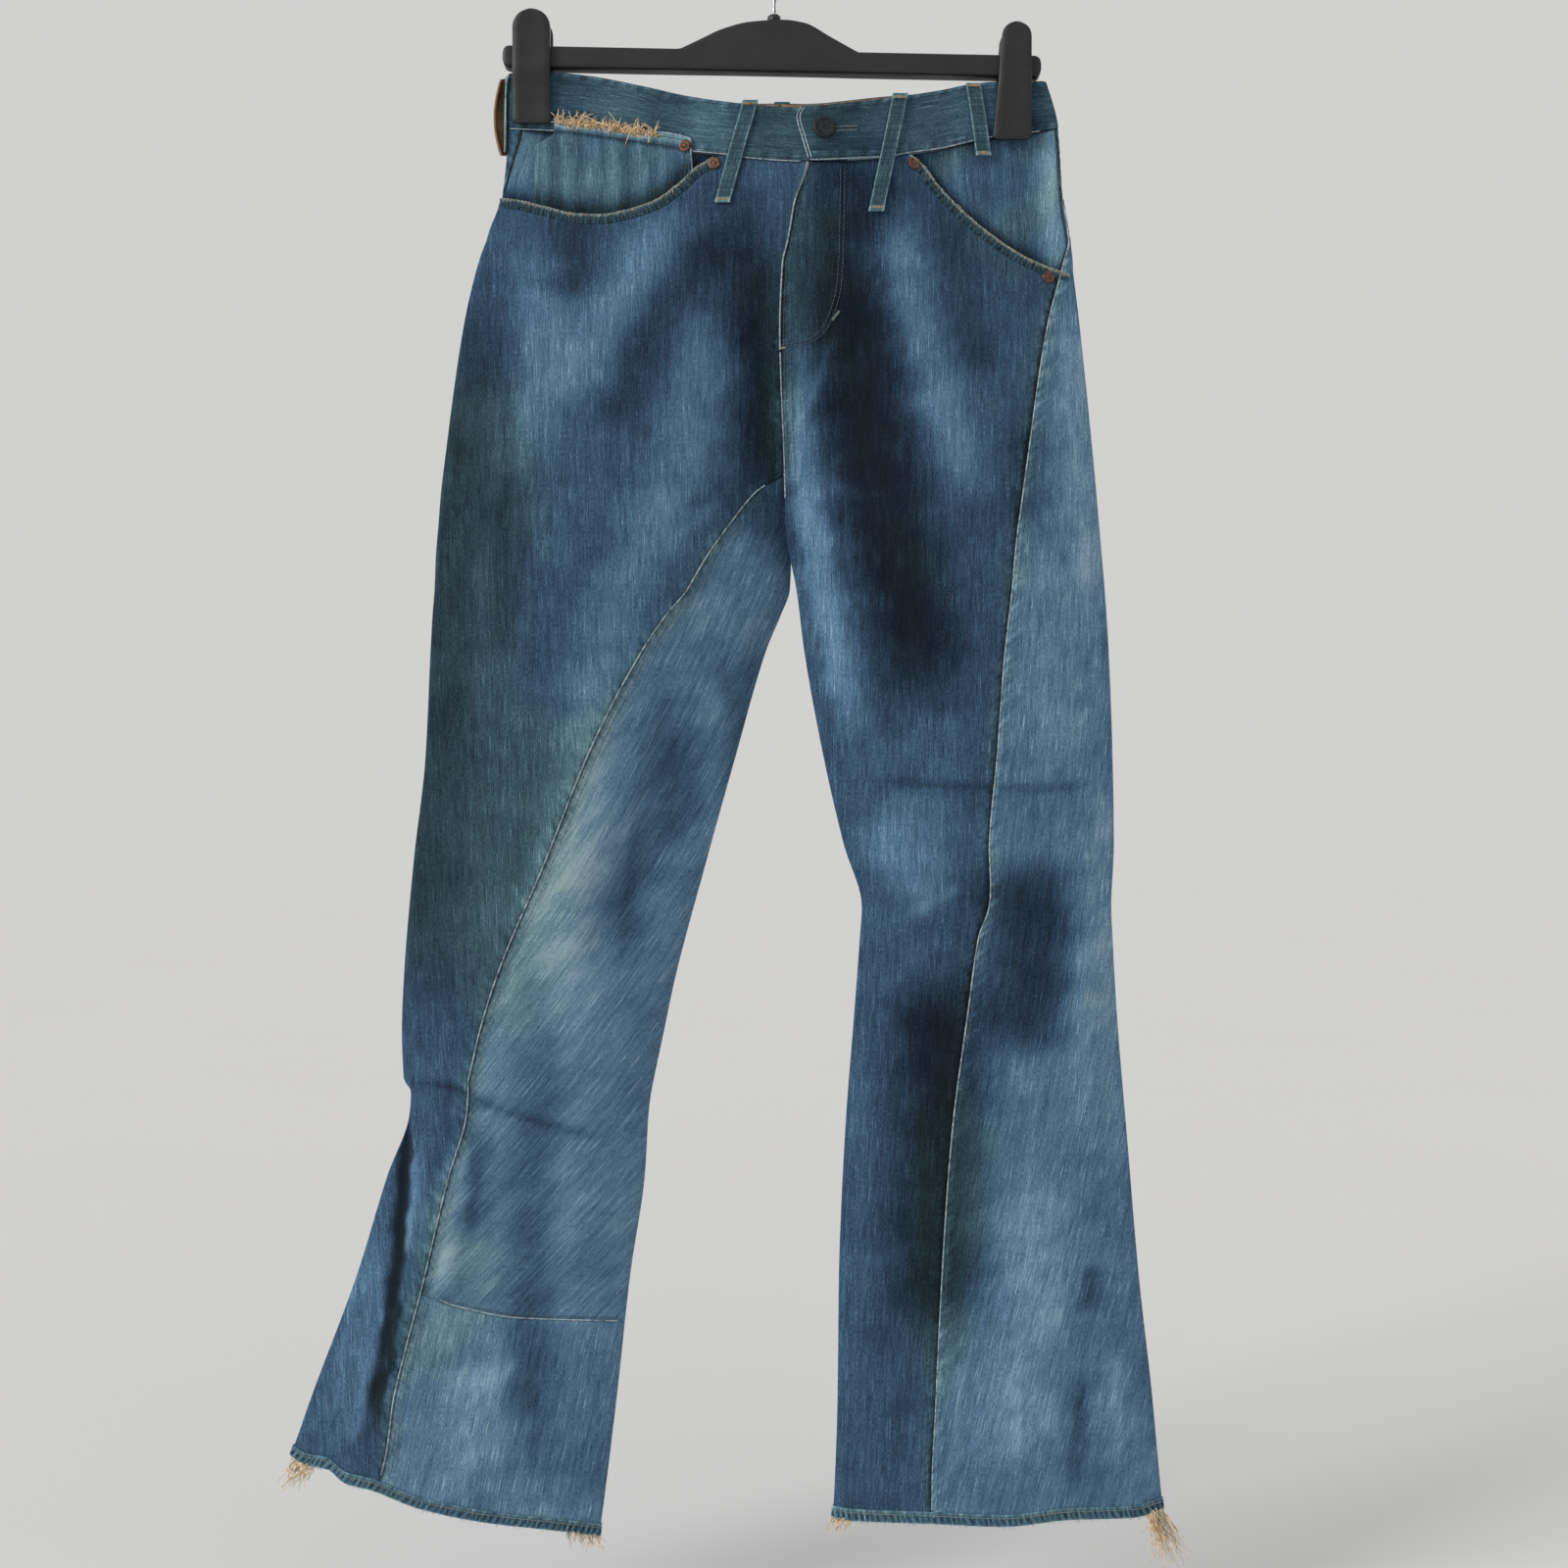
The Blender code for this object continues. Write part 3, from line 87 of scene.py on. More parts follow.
# Places across, depths and how far the folded edges come forward. Inseam and side are in hundredths of the
# flat width from the inner edge, over 100 on the back; the seams of both legs twist round as they go down.
RIGHT_ROWS = [
    (100, -203, 24, 24, 15, 0, 0, 0, 96),
    (147, -203.5, 22, 27, 17, 0, 0, 0, 96),
    (172, -205, 20, 29, 20, 0, 0, 0, 98),
    (202, -209, 15, 30, 23, 0, 0, 0, 100.5),
    (228, -218.5, 10, 31, 25, 2, 0, 0, 103.5),
    (250, -226.5, 6, 32, 26, 4, 0, 0, 106),
    (300, -238, 4, 34, 28, 8, 0, 0, 112),
    (408, -253, 7.4, 34, 25, 14, 1, 0, 128),
    (425, -255, 9.3, 34, 25, 15, -2, 9, 131),
    (450, -257, 11, 34, 24, 16, -5, 17, 135),
    (475, -259, 13, 34, 23, 17, -6, 24, 138),
    (500, -260, 12, 33, 22, 18, -6, 29, 142),
    (519, -261.5, 5.2, 33, 22, 18, -6, 33, 145.5),
    (546, -263, -6, 32, 21, 18, -6, 37, 150),
    (629, -267, -30, 30, 19, 18, -6, 48, 162),
    (708, -276, -52, 28, 17, 17, -4, 55, 170),
    (798, -283.5, -76, 26, 16, 15, 0, 66, 176),
    (836, -285, -84, 25.5, 15.5, 13, 0, 70, 179),
    (874, -283.5, -92, 25, 15, 12, 0, 74, 182),
    (884, -278, -94, 25, 15, 10, 0, 76, 182),
    (900, -279, -96, 24, 15, 8, 0, 76, 183),
    (948, -296, -99, 23, 15, 4, 0, 76, 184),
    (1023, -319, -110, 23, 15, 0, 0, 75, 184),
    (1114, -353, -120, 22, 14, 0, 0, 73, 182),
    (1164, -371, -126, 22, 14, 0, 0, 70, 180),
    (1226, -400, -134, 22, 14, 0, 0, 68, 178),
]
LEFT_ROWS = [
    (100, 204, 24, 24, 15, 0, 0, 0, 100),
    (147, 217, 22, 27, 17, 0, 0, 0, 100),
    (202, 221, 15, 30, 23, 0, 0, 0, 100),
    (232, 226, 10, 31, 25, 0, 0, 0, 99.7),
    (250, 228, 6, 32, 26, 0, 0, 0, 97),
    (300, 234, 4, 34, 28, 0, 0, 0, 89),
    (408, 245, 7.6, 33, 25, 0, 4, 0, 78),
    (425, 246.5, 8, 33, 25, 0, 8, -3, 76.5),
    (454, 249, 8.6, 33, 24, 0, 13, -8, 74),
    (476, 251, 12.2, 33, 24, 1, 14, -12, 72),
    (500, 253, 17, 32, 23, 2, 14, -15, 70),
    (547, 256, 23, 31, 22, 4, 14, -22, 66),
    (629, 259, 38, 29, 20, 7, 13, -32, 60),
    (694, 260, 53, 28, 19, 8, 12, -40, 54),
    (743, 258, 67, 27, 18, 8, 10, -46, 51),
    (766, 259, 65.5, 27, 18, 8, 9, -48, 47),
    (820, 262, 61.5, 26, 17, 7, 8, -54, 43.5),
    (918, 270, 54, 25, 16, 5, 5, -60, 38),
    (1024, 279, 49.5, 24, 15, 3, 3, -64, 34.5),
    (1114, 289, 48.5, 24, 15, 2, 2, -67, 31.5),
    (1189, 296, 46, 24, 15, 0, 0, -69, 30),
    (1226, 300, 43, 24, 15, 0, 0, -70, 30),
]

# Edges as x and drop
BAND_TOP = [(-205, 105.0), (-171, 103.6), (-142, 106.2), (-98, 114.5), (-68, 121.2), (-38, 125.8),
            (-2, 129.5), (24, 130.5), (60, 127.5), (100, 121.5), (128, 117),
            (150, 112.6), (170, 110.8), (206, 110.8)]
BAND_SEAM = [(-205, 147), (-170, 148.5), (-120, 156), (-64, 164), (-34, 167), (-20, 169.3), (24, 172),
             (80, 169.3), (102, 165.5), (128, 161.8), (165, 153.5), (196, 149.8), (217, 147)]
RIGHT_MOUTH = [(-212, 200.8), (-198, 202.2), (-175, 207.5), (-152, 212.8), (-133, 213.5),
               (-112, 209.8), (-89, 201.5), (-72, 188.8), (-60, 177.5), (-52, 172.8),
               (-44, 168.2), (-34, 167.3)]
LEFT_MOUTH = [(102, 166), (108, 171), (114, 176), (124.5, 190.2), (145.5, 212), (166.5, 229.2),
              (187.5, 243.5), (210, 254), (222, 258), (232, 261)]
YOKE_SEAM = [(-212, 200.8), (-120, 206), (CENTRE_BACK_X, 217), (120, 206), (226, 200.8)]
RIGHT_HEM = [(-392, 1156), (-374, 1158.5), (-367, 1163.8), (-356, 1169.8), (-338, 1173.5), (-324, 1184),
             (-304, 1189.2), (-267, 1203.5), (-217, 1214), (-172, 1219.2), (-133, 1223.8)]
LEFT_HEM = [(43, 1209.5), (60, 1212.5), (119, 1214.8), (173, 1217), (223, 1211.8), (271, 1210.2),
            (297, 1203.5)]
HEM_PANEL_SEAM = [(-400, 1040), (-268, 1040), (-245, 1048), (-198, 1057.2), (-160, 1058.8), (-100, 1060.2)]
LEFT_END = [(103, 21.5), (130, 21), (139, 17), (155, 21), (172, 26)]
COIN_TOP = [(-170, 139.0), (-140, 142.5), (-110, 147), (-73, 152.5), (-63, 155.5)]
BACK_HEM_RISE = 4.0
BACK_TOP_RISE = 3.4
BACK_TOP_FALL = 1.2

# Soft folds: height, width to the left and right of a path that runs down, or below and above one that runs
# across, and the path as x and drop. A trough has a height below 0.
FRONT_FOLDS = [
    (7.0, 42, 30, [(-34, 236), (-60, 371), (-75, 424), (-112, 514), (-142, 604), (-146, 686), (-165, 754),
                   (-142, 836), (-112, 896)]),
    (-4.0, 24, 24, [(-37, 210), (-97, 296), (-127, 378)]),
    (3.0, 16, 18, [(-180, 225), (-184, 300), (-190, 386)]),
    (-5.0, 22, 16, [(-10, 205), (-8, 300), (-4, 420)]),
    (-6.0, 22, 22, [(-82, 574), (-75, 648), (-112, 746), (-105, 798)]),
    (-2.5, 12, 14, [(-203, 408), (-199, 558)]),
    (4.0, 6, 24, [(-282, 872), (-239, 884), (-198, 902), (-163, 912), (-121, 923)]),
    (9.0, 9, 40, [(-277, 872), (-280, 926), (-285, 1004), (-292, 1050), (-307, 1128), (-320, 1161),
                  (-330, 1215)]),
    (-5.0, 20, 26, [(-184, 800), (-184, 1000), (-180, 1215)]),
    (3.0, 14, 14, [(-251, 940), (-251, 1050)]),
    (3.0, 20, 20, [(-150, 930), (-150, 1030)]),
    (3.0, 22, 22, [(-217, 1090), (-215, 1185)]),
    (-3.0, 18, 18, [(-165, 1061), (-163, 1215)]),
    (3.0, 12, 10, [(-312, 1040), (-345, 1150)]),
    (6.0, 12, 18, [(28, 290), (24, 386), (40, 468), (60, 558), (76, 641)]),
    (-8.0, 28, 34, [(56, 260), (62, 370), (92, 470), (112, 574), (120, 690)]),
    (5.0, 22, 22, [(86, 205), (109, 296), (139, 386), (157, 450)]),
    (-4.0, 20, 22, [(135, 225), (165, 348)]),
    (-3.0, 18, 18, [(195, 371), (195, 453)]),
    (3.0, 26, 26, [(205, 468), (208, 640)]),
    (3.0, 16, 12, [(238, 640), (242, 798)]),
    (3.5, 6, 22, [(71, 645), (127, 650), (202, 653), (252, 648)]),
    (7.0, 10, 38, [(64, 722), (105, 730), (150, 705)]),
    (-9.0, 34, 34, [(195, 690), (187, 783), (145, 858), (128, 948), (120, 1120)]),
    (4.0, 20, 18, [(246, 761), (252, 948)]),
    (3.0, 20, 20, [(214, 890), (218, 1030)]),
    (4.0, 34, 30, [(184, 1020), (190, 1200)]),
    (-3.0, 12, 12, [(240, 1031), (235, 1200)]),
    (3.0, 14, 12, [(268, 1080), (272, 1185)]),
    (4.0, 14, 18, [(78, 765), (74, 980), (68, 1200)]),
]
BACK_FOLDS = [
    (4.0, 26, 30, [(-60, 372), (-92, 440), (-140, 520), (-172, 600)]),
    (-4.0, 20, 22, [(-40, 400), (-70, 480), (-90, 560)]),
    (3.5, 24, 24, [(72, 372), (100, 450), (150, 540), (186, 620)]),
    (-4.0, 20, 20, [(46, 400), (84, 500), (100, 590)]),
    (4.0, 8, 24, [(-262, 760), (-190, 780), (-120, 772)]),
    (4.0, 8, 24, [(80, 752), (150, 770), (244, 758)]),
    (-3.5, 26, 26, [(-170, 820), (-200, 960), (-215, 1130)]),
    (3.0, 24, 24, [(-250, 930), (-270, 1150)]),
    (-3.5, 26, 26, [(160, 810), (150, 960), (160, 1140)]),
    (3.0, 22, 22, [(220, 900), (238, 1150)]),
]

# Sharper creases that only the finished cloth has, written as the folds are
FRONT_CREASES = [
    (-1.6, 3, 4, [(-282, 874), (-239, 884), (-226, 891), (-198, 902), (-163, 912), (-121, 923)]),
    (-3.2, 5, 3, [(-279, 886), (-282, 940), (-286, 1000), (-293, 1050), (-305, 1110), (-318, 1160)]),
    (1.2, 4, 3, [(-275, 900), (-279, 980), (-288, 1046), (-300, 1112)]),
    (-1.3, 2.5, 4, [(71, 645), (82, 647), (127, 650), (170, 652), (202, 653), (252, 648)]),
    (1.3, 3, 5, [(49, 298), (32, 346), (14, 383)]),
    (0.9, 2, 2, [(52, 262), (46, 274), (41, 297), (26, 310)]),
    (0.9, 3, 3, [(-82, 206), (-66, 222), (-58, 240)]),
    (1.3, 4, 8, [(105, 752), (125, 738), (148, 727)]),
    (0.8, 5, 5, [(-170, 640), (-176, 700), (-190, 760)]),
    (-0.8, 5, 6, [(-96, 640), (-108, 700), (-118, 790)]),
    (0.7, 4, 5, [(-214, 930), (-222, 960), (-226, 1010)]),
    (-0.9, 5, 5, [(-232, 905), (-228, 950), (-232, 1000)]),
    (0.7, 4, 4, [(182, 1090), (186, 1140), (184, 1196)]),
    (-1.1, 5, 6, [(246, 1012), (240, 1040), (228, 1060)]),
    (-0.9, 4, 5, [(238, 1096), (234, 1140), (230, 1196)]),
    (0.8, 4, 4, [(146, 1080), (141, 1130), (136, 1190)]),
    (-0.8, 4, 5, [(100, 1080), (97, 1130), (96, 1180)]),
    (0.8, 5, 5, [(232, 770), (236, 800), (228, 840)]),
    (-0.9, 5, 5, [(-206, 330), (-204, 400), (-208, 470)]),
    (0.8, 6, 6, [(-226, 470), (-222, 540), (-228, 610)]),
    (0.8, 5, 6, [(-40, 430), (-62, 452), (-84, 466)]),
    (-0.8, 5, 5, [(-30, 410), (-52, 430), (-70, 440)]),
    (0.7, 5, 5, [(30, 410), (56, 424), (88, 430)]),
    (-0.7, 4, 5, [(26, 430), (50, 446), (84, 456)]),
    (0.8, 3, 4, [(-320, 1000), (-326, 1060), (-342, 1110)]),
    (-0.8, 3, 4, [(-298, 1120), (-316, 1150), (-336, 1168)]),
]
BACK_CREASES = [
    (-1.2, 3, 4, [(-262, 766), (-210, 782), (-150, 786), (-110, 776)]),
    (-1.2, 3, 4, [(70, 758), (120, 772), (180, 776), (250, 764)]),
    (0.9, 5, 5, [(-30, 420), (-60, 446), (-96, 462)]),
    (0.9, 5, 5, [(36, 420), (66, 446), (104, 460)]),
    (-0.9, 5, 5, [(-40, 448), (-70, 480), (-110, 500)]),
    (-0.9, 5, 5, [(44, 450), (76, 480), (112, 498)]),
    (0.8, 5, 5, [(-190, 960), (-206, 1030), (-214, 1110)]),
    (0.8, 5, 5, [(150, 970), (146, 1050), (152, 1130)]),
]

# The wash, lighter or darker by an amount, written as the folds are. It is partly the cloth's fade and partly
# painted highlight along the folds' ridges and painted shade in their troughs and under the pleat's edge
FRONT_WASH_AND_SHADE = [
    (-0.22, 22, 34, [(-218, 221), (-240, 348), (-251, 498), (-262, 648), (-274, 798), (-279, 874)]),
    (0.20, 19, 19, [(-184, 210), (-176, 296), (-184, 408)]),
    (-0.22, 26, 26, [(-154, 210), (-158, 244), (-165, 281)]),
    (0.18, 19, 22, [(-68, 202), (-98, 244), (-135, 296), (-158, 371)]),
    (-0.20, 19, 19, [(-34, 210), (-75, 274), (-101, 326), (-124, 394)]),
    (0.22, 26, 26, [(-34, 228), (-60, 371), (-75, 424), (-112, 514), (-142, 604), (-142, 686), (-165, 754),
                    (-142, 836), (-112, 896)]),
    (-0.12, 14, 14, [(-196, 401), (-202, 484), (-202, 566)]),
    (-0.30, 22, 19, [(-11, 210), (-8, 288), (-4, 408), (2, 498)]),
    (-0.15, 22, 15, [(-8, 528), (-30, 618), (-52, 694)]),
    (0.12, 9, 9, [(-56, 558), (-41, 618), (-52, 708)]),
    (-0.18, 19, 19, [(-82, 566), (-75, 648), (-112, 746), (-105, 798)]),
    (0.20, 9, 10, [(-240, 911), (-251, 978), (-255, 1046)]),
    (0.15, 8, 9, [(-274, 918), (-278, 1016)]),
    (-0.18, 10, 10, [(-224, 904), (-225, 948), (-229, 1001)]),
    (-0.20, 19, 16, [(-172, 798), (-180, 911), (-184, 1061), (-184, 1204)]),
    (0.15, 19, 15, [(-304, 978), (-311, 1061), (-330, 1158)]),
    (-0.42, 8, 3, [(-277, 892), (-283, 978), (-289, 1046), (-298, 1114), (-312, 1166)]),
    (0.12, 26, 22, [(-218, 1076), (-216, 1128), (-214, 1181)]),
    (-0.12, 22, 22, [(-150, 1061), (-150, 1218)]),
    (0.30, 12, 17, [(19, 296), (14, 386), (30, 468), (49, 558), (64, 641)]),
    (-0.22, 30, 40, [(66, 168), (58, 196), (50, 236)]),
    (-0.18, 26, 20, [(-34, 172), (-30, 240), (-28, 330)]),
    (0.24, 18, 16, [(226, 270), (236, 380), (246, 520)]),
    (-0.42, 28, 38, [(45, 191), (52, 274), (68, 364), (86, 454), (105, 528), (116, 618)]),
    (0.25, 19, 19, [(86, 184), (109, 296), (139, 386), (158, 446)]),
    (-0.12, 15, 15, [(128, 198), (146, 274), (165, 348)]),
    (-0.15, 15, 15, [(196, 364), (195, 461)]),
    (0.12, 30, 38, [(214, 454), (218, 558), (218, 656)]),
    (0.20, 14, 15, [(248, 634), (249, 806)]),
    (0.22, 22, 45, [(68, 664), (101, 708), (135, 746)]),
    (-0.40, 30, 30, [(188, 694), (199, 768), (188, 866)]),
    (-0.38, 34, 34, [(128, 768), (131, 874), (131, 986), (124, 1098)]),
    (0.15, 26, 22, [(248, 754), (251, 858), (255, 956)]),
    (0.15, 34, 34, [(210, 911), (202, 1024), (188, 1196)]),
    (-0.12, 11, 13, [(248, 1016), (242, 1057)]),
    (-0.08, 12, 12, [(236, 1091), (230, 1204)]),
    (0.12, 11, 11, [(264, 1076), (268, 1181)]),
]
# The back's wash: partly fade, partly painted highlight on the ridges and painted shade in the troughs of its
# folds
BACK_WASH_AND_SHADE = [
    (0.22, 40, 40, [(-110, 235), (-116, 340), (-120, 400)]),
    (0.22, 40, 40, [(118, 235), (122, 340), (124, 400)]),
    (-0.20, 16, 16, [(6, 225), (6, 330), (4, 410)]),
    (0.18, 34, 34, [(-150, 430), (-176, 560), (-184, 700)]),
    (0.18, 34, 34, [(150, 430), (172, 560), (170, 700)]),
    (-0.22, 26, 28, [(-90, 470), (-110, 600), (-130, 720)]),
    (-0.22, 26, 28, [(98, 470), (112, 600), (110, 720)]),
    (0.16, 40, 16, [(-262, 770), (-190, 790), (-120, 782)]),
    (0.16, 40, 16, [(80, 762), (150, 780), (244, 768)]),
    (-0.22, 28, 28, [(-170, 820), (-200, 960), (-215, 1130)]),
    (-0.22, 28, 28, [(160, 810), (150, 960), (160, 1140)]),
    (0.16, 26, 26, [(-250, 930), (-276, 1160)]),
    (0.16, 26, 26, [(220, 900), (240, 1160)]),
]
# Greener patches, written as the folds are
FRONT_TEAL = [
    (0.8, 60, 60, [(-240, 260), (-236, 460), (-250, 700), (-262, 860)]),
    (0.6, 30, 24, [(40, 190), (34, 260), (26, 320)]),
    (0.6, 26, 26, [(150, 180), (178, 240), (206, 262)]),
    (0.7, 40, 40, [(-150, 560), (-180, 720), (-214, 860)]),
    (0.7, 30, 30, [(150, 860), (140, 980), (128, 1130)]),
    (0.5, 16, 16, [(4, 312), (6, 420)]),
    (0.5, 26, 26, [(-236, 960), (-232, 1040), (-280, 1120)]),
]
BACK_TEAL = [
    (0.7, 50, 50, [(-100, 240), (-120, 420), (-150, 640)]),
    (0.7, 50, 50, [(110, 240), (140, 420), (150, 640)]),
    (0.6, 40, 40, [(-180, 800), (-220, 1140)]),
    (0.6, 40, 40, [(140, 800), (170, 1140)]),
]
FOLD_STEPS = 14
STROKE_REACH = 2.6
# How strongly the wash strokes, with their painted fold shade and highlight, reach the colour, and how crisp
# they are
WASH_AND_SHADE_SHARE = 0.86
WASH_AND_SHADE_POWER = 2.4
# How strongly the creases are painted in: painted shade in their troughs, painted highlight on their ridges
CREASE_SHADE = 0.09
PROBE_TURN = 0.02
PROBE_DROP = 1.5
FOLD_ENDS = 0.22
FOLD_MARGIN = 0.12
FOLD_START = 175.0
FOLD_START_LENGTH = 60.0
CREASE_MARGIN = 0.04

# The warp leans more from the first of these drops to the second
LEAN_START = 450.0
LEAN_END = 1050.0
LEVEL_DROP = 300.0
PANEL_START = 200.0

# Rounds that settle a place and its drop on each other, along panels and along edges
ROUNDS = 5
EDGE_ROUNDS = 4
MERGE_DISTANCE = 1e-7

# Seams and hems
ALLOWANCE = 10.0
PUCKER_HEIGHT = 0.30
PUCKER_PITCH = 13.0
PUCKER_REACH = 8.0
FLY_SHARE = 0.12
ROPE_PITCH = 4.7
THREAD_RADIUS = 0.26

# How far the lap of the waistband and the coin pocket stand off, and how deep the pocket sinks
LAP_LIFT = BAND_WALL + 0.4
COIN_PROUD = BAND_PROUD + 0.35 + 1.25
COIN_SUNK = 2.1
CREST_X = 40.0
CREST_WIDTH = 60.0
BOSS_HEIGHT = 4.5


class Face(Enum):
    """The two sides of the hanging garment."""

    FRONT = 1.0
    BACK = -1.0


def smoothstep(value: Grid | float) -> Grid:
    """Soft step from 0 to 1."""
    value = np.clip(value, 0.0, 1.0)
    return value * value * (3 - 2 * value)


def mix(first: Grid | float, second: Grid | float, share: Grid | float) -> Grid:
    """First at share 0, second at share 1."""
    return first * (1 - share) + second * share


def smooth_curve(at: Grid | float, places: Sequence[float], values: Sequence[float]) -> Grid:
    """Run a curve through values, with no swings between them.

    Args:
        at: where the curve is read.
        places: the values' places, in rising order.
        values: one value for each place.

    Returns:
        The curve's value at each of the read places.
    """
    places = np.asarray(places, float)
    values = np.asarray(values, float)
    step = np.diff(places)
    rise = np.diff(values) / step
    slope = np.zeros_like(values)
    product = rise[:-1] * rise[1:]
    total = rise[:-1] + rise[1:]
    turning = product <= 0
    slope[1:-1] = np.where(turning, 0, 2 * product / np.where(turning, 1, total))
    slope[0] = rise[0]
    slope[-1] = rise[-1]
    at = np.clip(at, places[0], places[-1])
    i = np.clip(np.searchsorted(places, at, side="right") - 1, 0, len(step) - 1)
    t = (at - places[i]) / step[i]
    start = (1 + 2 * t) * (1 - t) ** 2 * values[i] + t * (1 - t) ** 2 * step[i] * slope[i]
    end = t * t * (3 - 2 * t) * values[i + 1] - t * t * (1 - t) * step[i] * slope[i + 1]
    return start + end


def edge_drop(table: Rows, x: Grid | float) -> Grid:
    """Drop of an edge at x."""
    return smooth_curve(x, [row[0] for row in table], [row[1] for row in table])


@dataclass(frozen=True)
class Leg:
    """One side of the garment, with its table and hem. Hand is 1 on the right side and -1 on the left."""

    name: str
    rows: tuple
    hem: tuple
    hand: float

    def read(self, column: str, drop: Grid | float) -> Grid:
        """A column of the table at a drop."""
        at = LEG_COLUMNS.index(column)
        return smooth_curve(drop, [row[0] for row in self.rows], [row[at] for row in self.rows])


RIGHT = Leg("right", tuple(RIGHT_ROWS), tuple(RIGHT_HEM), 1.0)
LEFT = Leg("left", tuple(LEFT_ROWS), tuple(LEFT_HEM), -1.0)


def closing(drop: Grid) -> Grid:
    """0 in the trunk, 1 where each leg is closed round by itself."""
    return smoothstep((drop - (CROTCH_DROP - FORK_LENGTH)) / FORK_LENGTH)


def turn_of(share: Grid | float) -> Grid:
    """Angle round the leg at a share of the flat width: whole shares are the folded sides."""
    lap = np.floor(share)
    return math.pi * lap + np.arccos(np.clip(1 - 2 * (share - lap), -1, 1))


class Detail(Enum):
    """How much relief the cloth's face has."""

    FORM = 0
    FOLDS = 1
    FINE = 2


@dataclass(frozen=True)
class Stroke:
    """One soft stroke along a path: a fold, a crease, or a lighter or darker streak of wash and painted
    shade.
    """

    height: float
    left: float
    right: float
    points: Grid

    @classmethod
    def cut(cls, height: float, left: float, right: float, path: Sequence[tuple[float, float]]) -> "Stroke":
        """Cut a path into even steps.

        Args:
            height: the stroke's height or strength.
            left: its width to the left of a path that runs down, or below one that runs across.
            right: its width to the other side.
            path: places as x and drop.

        Returns:
            The stroke.
        """
        corners = np.array(path, float)
        length = np.concatenate([[0], np.cumsum(np.hypot(*np.diff(corners, axis=0).T))])
        at = np.linspace(0, length[-1], FOLD_STEPS)
        route = np.stack([smooth_curve(at, length, corners[:, i]) for i in range(2)], 1)
        return cls(height, left, right, route)

    def near(self, x: Grid, drop: Grid) -> Grid:
        """Whether places are close enough to feel the stroke."""
        reach = STROKE_REACH * max(self.left, self.right)
        low = self.points.min(0) - reach
        high = self.points.max(0) + reach
        return (x > low[0]) & (x < high[0]) & (drop > low[1]) & (drop < high[1])

    def read(self, x: Grid, drop: Grid, power: float = 2.0) -> Grid:
        """Its height at places.

        Args:
            x: places across.
            drop: places down.
            power: how flat its top and how crisp its edges are.

        Returns:
            One height for each place.
        """
        nearest = np.full(x.shape, np.inf)
        place = np.zeros(x.shape)
        side = np.zeros(x.shape)
        for i, (start, run) in enumerate(zip(self.points, np.diff(self.points, axis=0))):
            t = np.clip(((x - start[0]) * run[0] + (drop - start[1]) * run[1]) / (run @ run), 0, 1)
            across = x - start[0] - t * run[0]
            down = drop - start[1] - t * run[1]
            distance = np.hypot(across, down)
            nearer = distance < nearest
            nearest = np.where(nearer, distance, nearest)
            place = np.where(nearer, (i + t) / (FOLD_STEPS - 1), place)
            side = np.where(nearer, run[1] * across - run[0] * down, side)
        width = np.where(side > 0, self.right, self.left)
        ends = smoothstep(place / FOLD_ENDS) * smoothstep((1 - place) / FOLD_ENDS)
        return self.height * ends * np.exp(-(nearest / width) ** power)


Strokes = dict[Face, list[Stroke]]


def cut_both(front: Rows, back: Rows) -> Strokes:
    """Cut the strokes of both faces."""
    return {Face.FRONT: [Stroke.cut(*row) for row in front], Face.BACK: [Stroke.cut(*row) for row in back]}


FOLDS = cut_both(FRONT_FOLDS, BACK_FOLDS)
CREASES = cut_both(FRONT_CREASES, BACK_CREASES)
WASH_AND_SHADE = cut_both(FRONT_WASH_AND_SHADE, BACK_WASH_AND_SHADE)
TINT = cut_both(FRONT_TEAL, BACK_TEAL)


def read_strokes(x: Grid, drop: Grid, on_front: Grid, table: Strokes, power: float = 2.0) -> Grid:
    """Add up the strokes of each face.

    Args:
        x: places across.
        drop: places down.
        on_front: whether each place is on the front.
        table: the strokes of both faces.
        power: how crisp their edges are.

    Returns:
        Their total at each place.
    """
    total = np.zeros(x.shape)
    for face, strokes in table.items():
        facing = on_front == (face is Face.FRONT)
        for stroke in strokes:
            chosen = facing & stroke.near(x, drop)
            if chosen.any():
                total[chosen] += stroke.read(x[chosen], drop[chosen], power)
    return total


def half_depth(place: Grid, full: Grid, power: Grid | float) -> Grid:
    """Distance of a face from the middle plane: a round rim and a soft belly. Place is -1 to 1 across."""
    place = np.minimum(np.abs(place), 1.0)
    rim = EDGE_DEPTH * (1 - place ** RIM_POWER) ** (1 / RIM_POWER)
    return rim + (full - EDGE_DEPTH) * (1 - place * place) ** power


def trunk_place(x: Grid, drop: Grid) -> Grid:
    """Place across the trunk, from -1 at the right side to 1 at the left one."""
    right = RIGHT.read("outer", drop)
    left = LEFT.read("outer", drop)
    return (x - (left + right) / 2) / ((left - right) / 2)


def trunk_depth(x: Grid, drop: Grid, on_front: Grid | bool) -> Grid:
    """Depth of the trunk's front or back at x. The clips pinch it thin towards the sides of the waist."""
    column = np.where(on_front, (RIGHT.read("front", drop) + LEFT.read("front", drop)) / 2,
                      (RIGHT.read("back", drop) + LEFT.read("back", drop)) / 2)
    power = mix(3.2, 0.9, smoothstep((drop - WAIST_DROP - 5) / 150))
    return half_depth(trunk_place(x, drop), column, power)


def along_sight(x: Grid | float, y: Grid | float, drop: Grid | float) -> Grid:
    """A point in metres, drawn along its line of sight from its place as seen."""
    scale = 1 + y / SIGHT_DISTANCE
    return np.stack([(SIGHT_X + (x - SIGHT_X) * scale) * MM, y * MM,
                     -(SIGHT_DROP + (drop - SIGHT_DROP) * scale) * MM], -1)


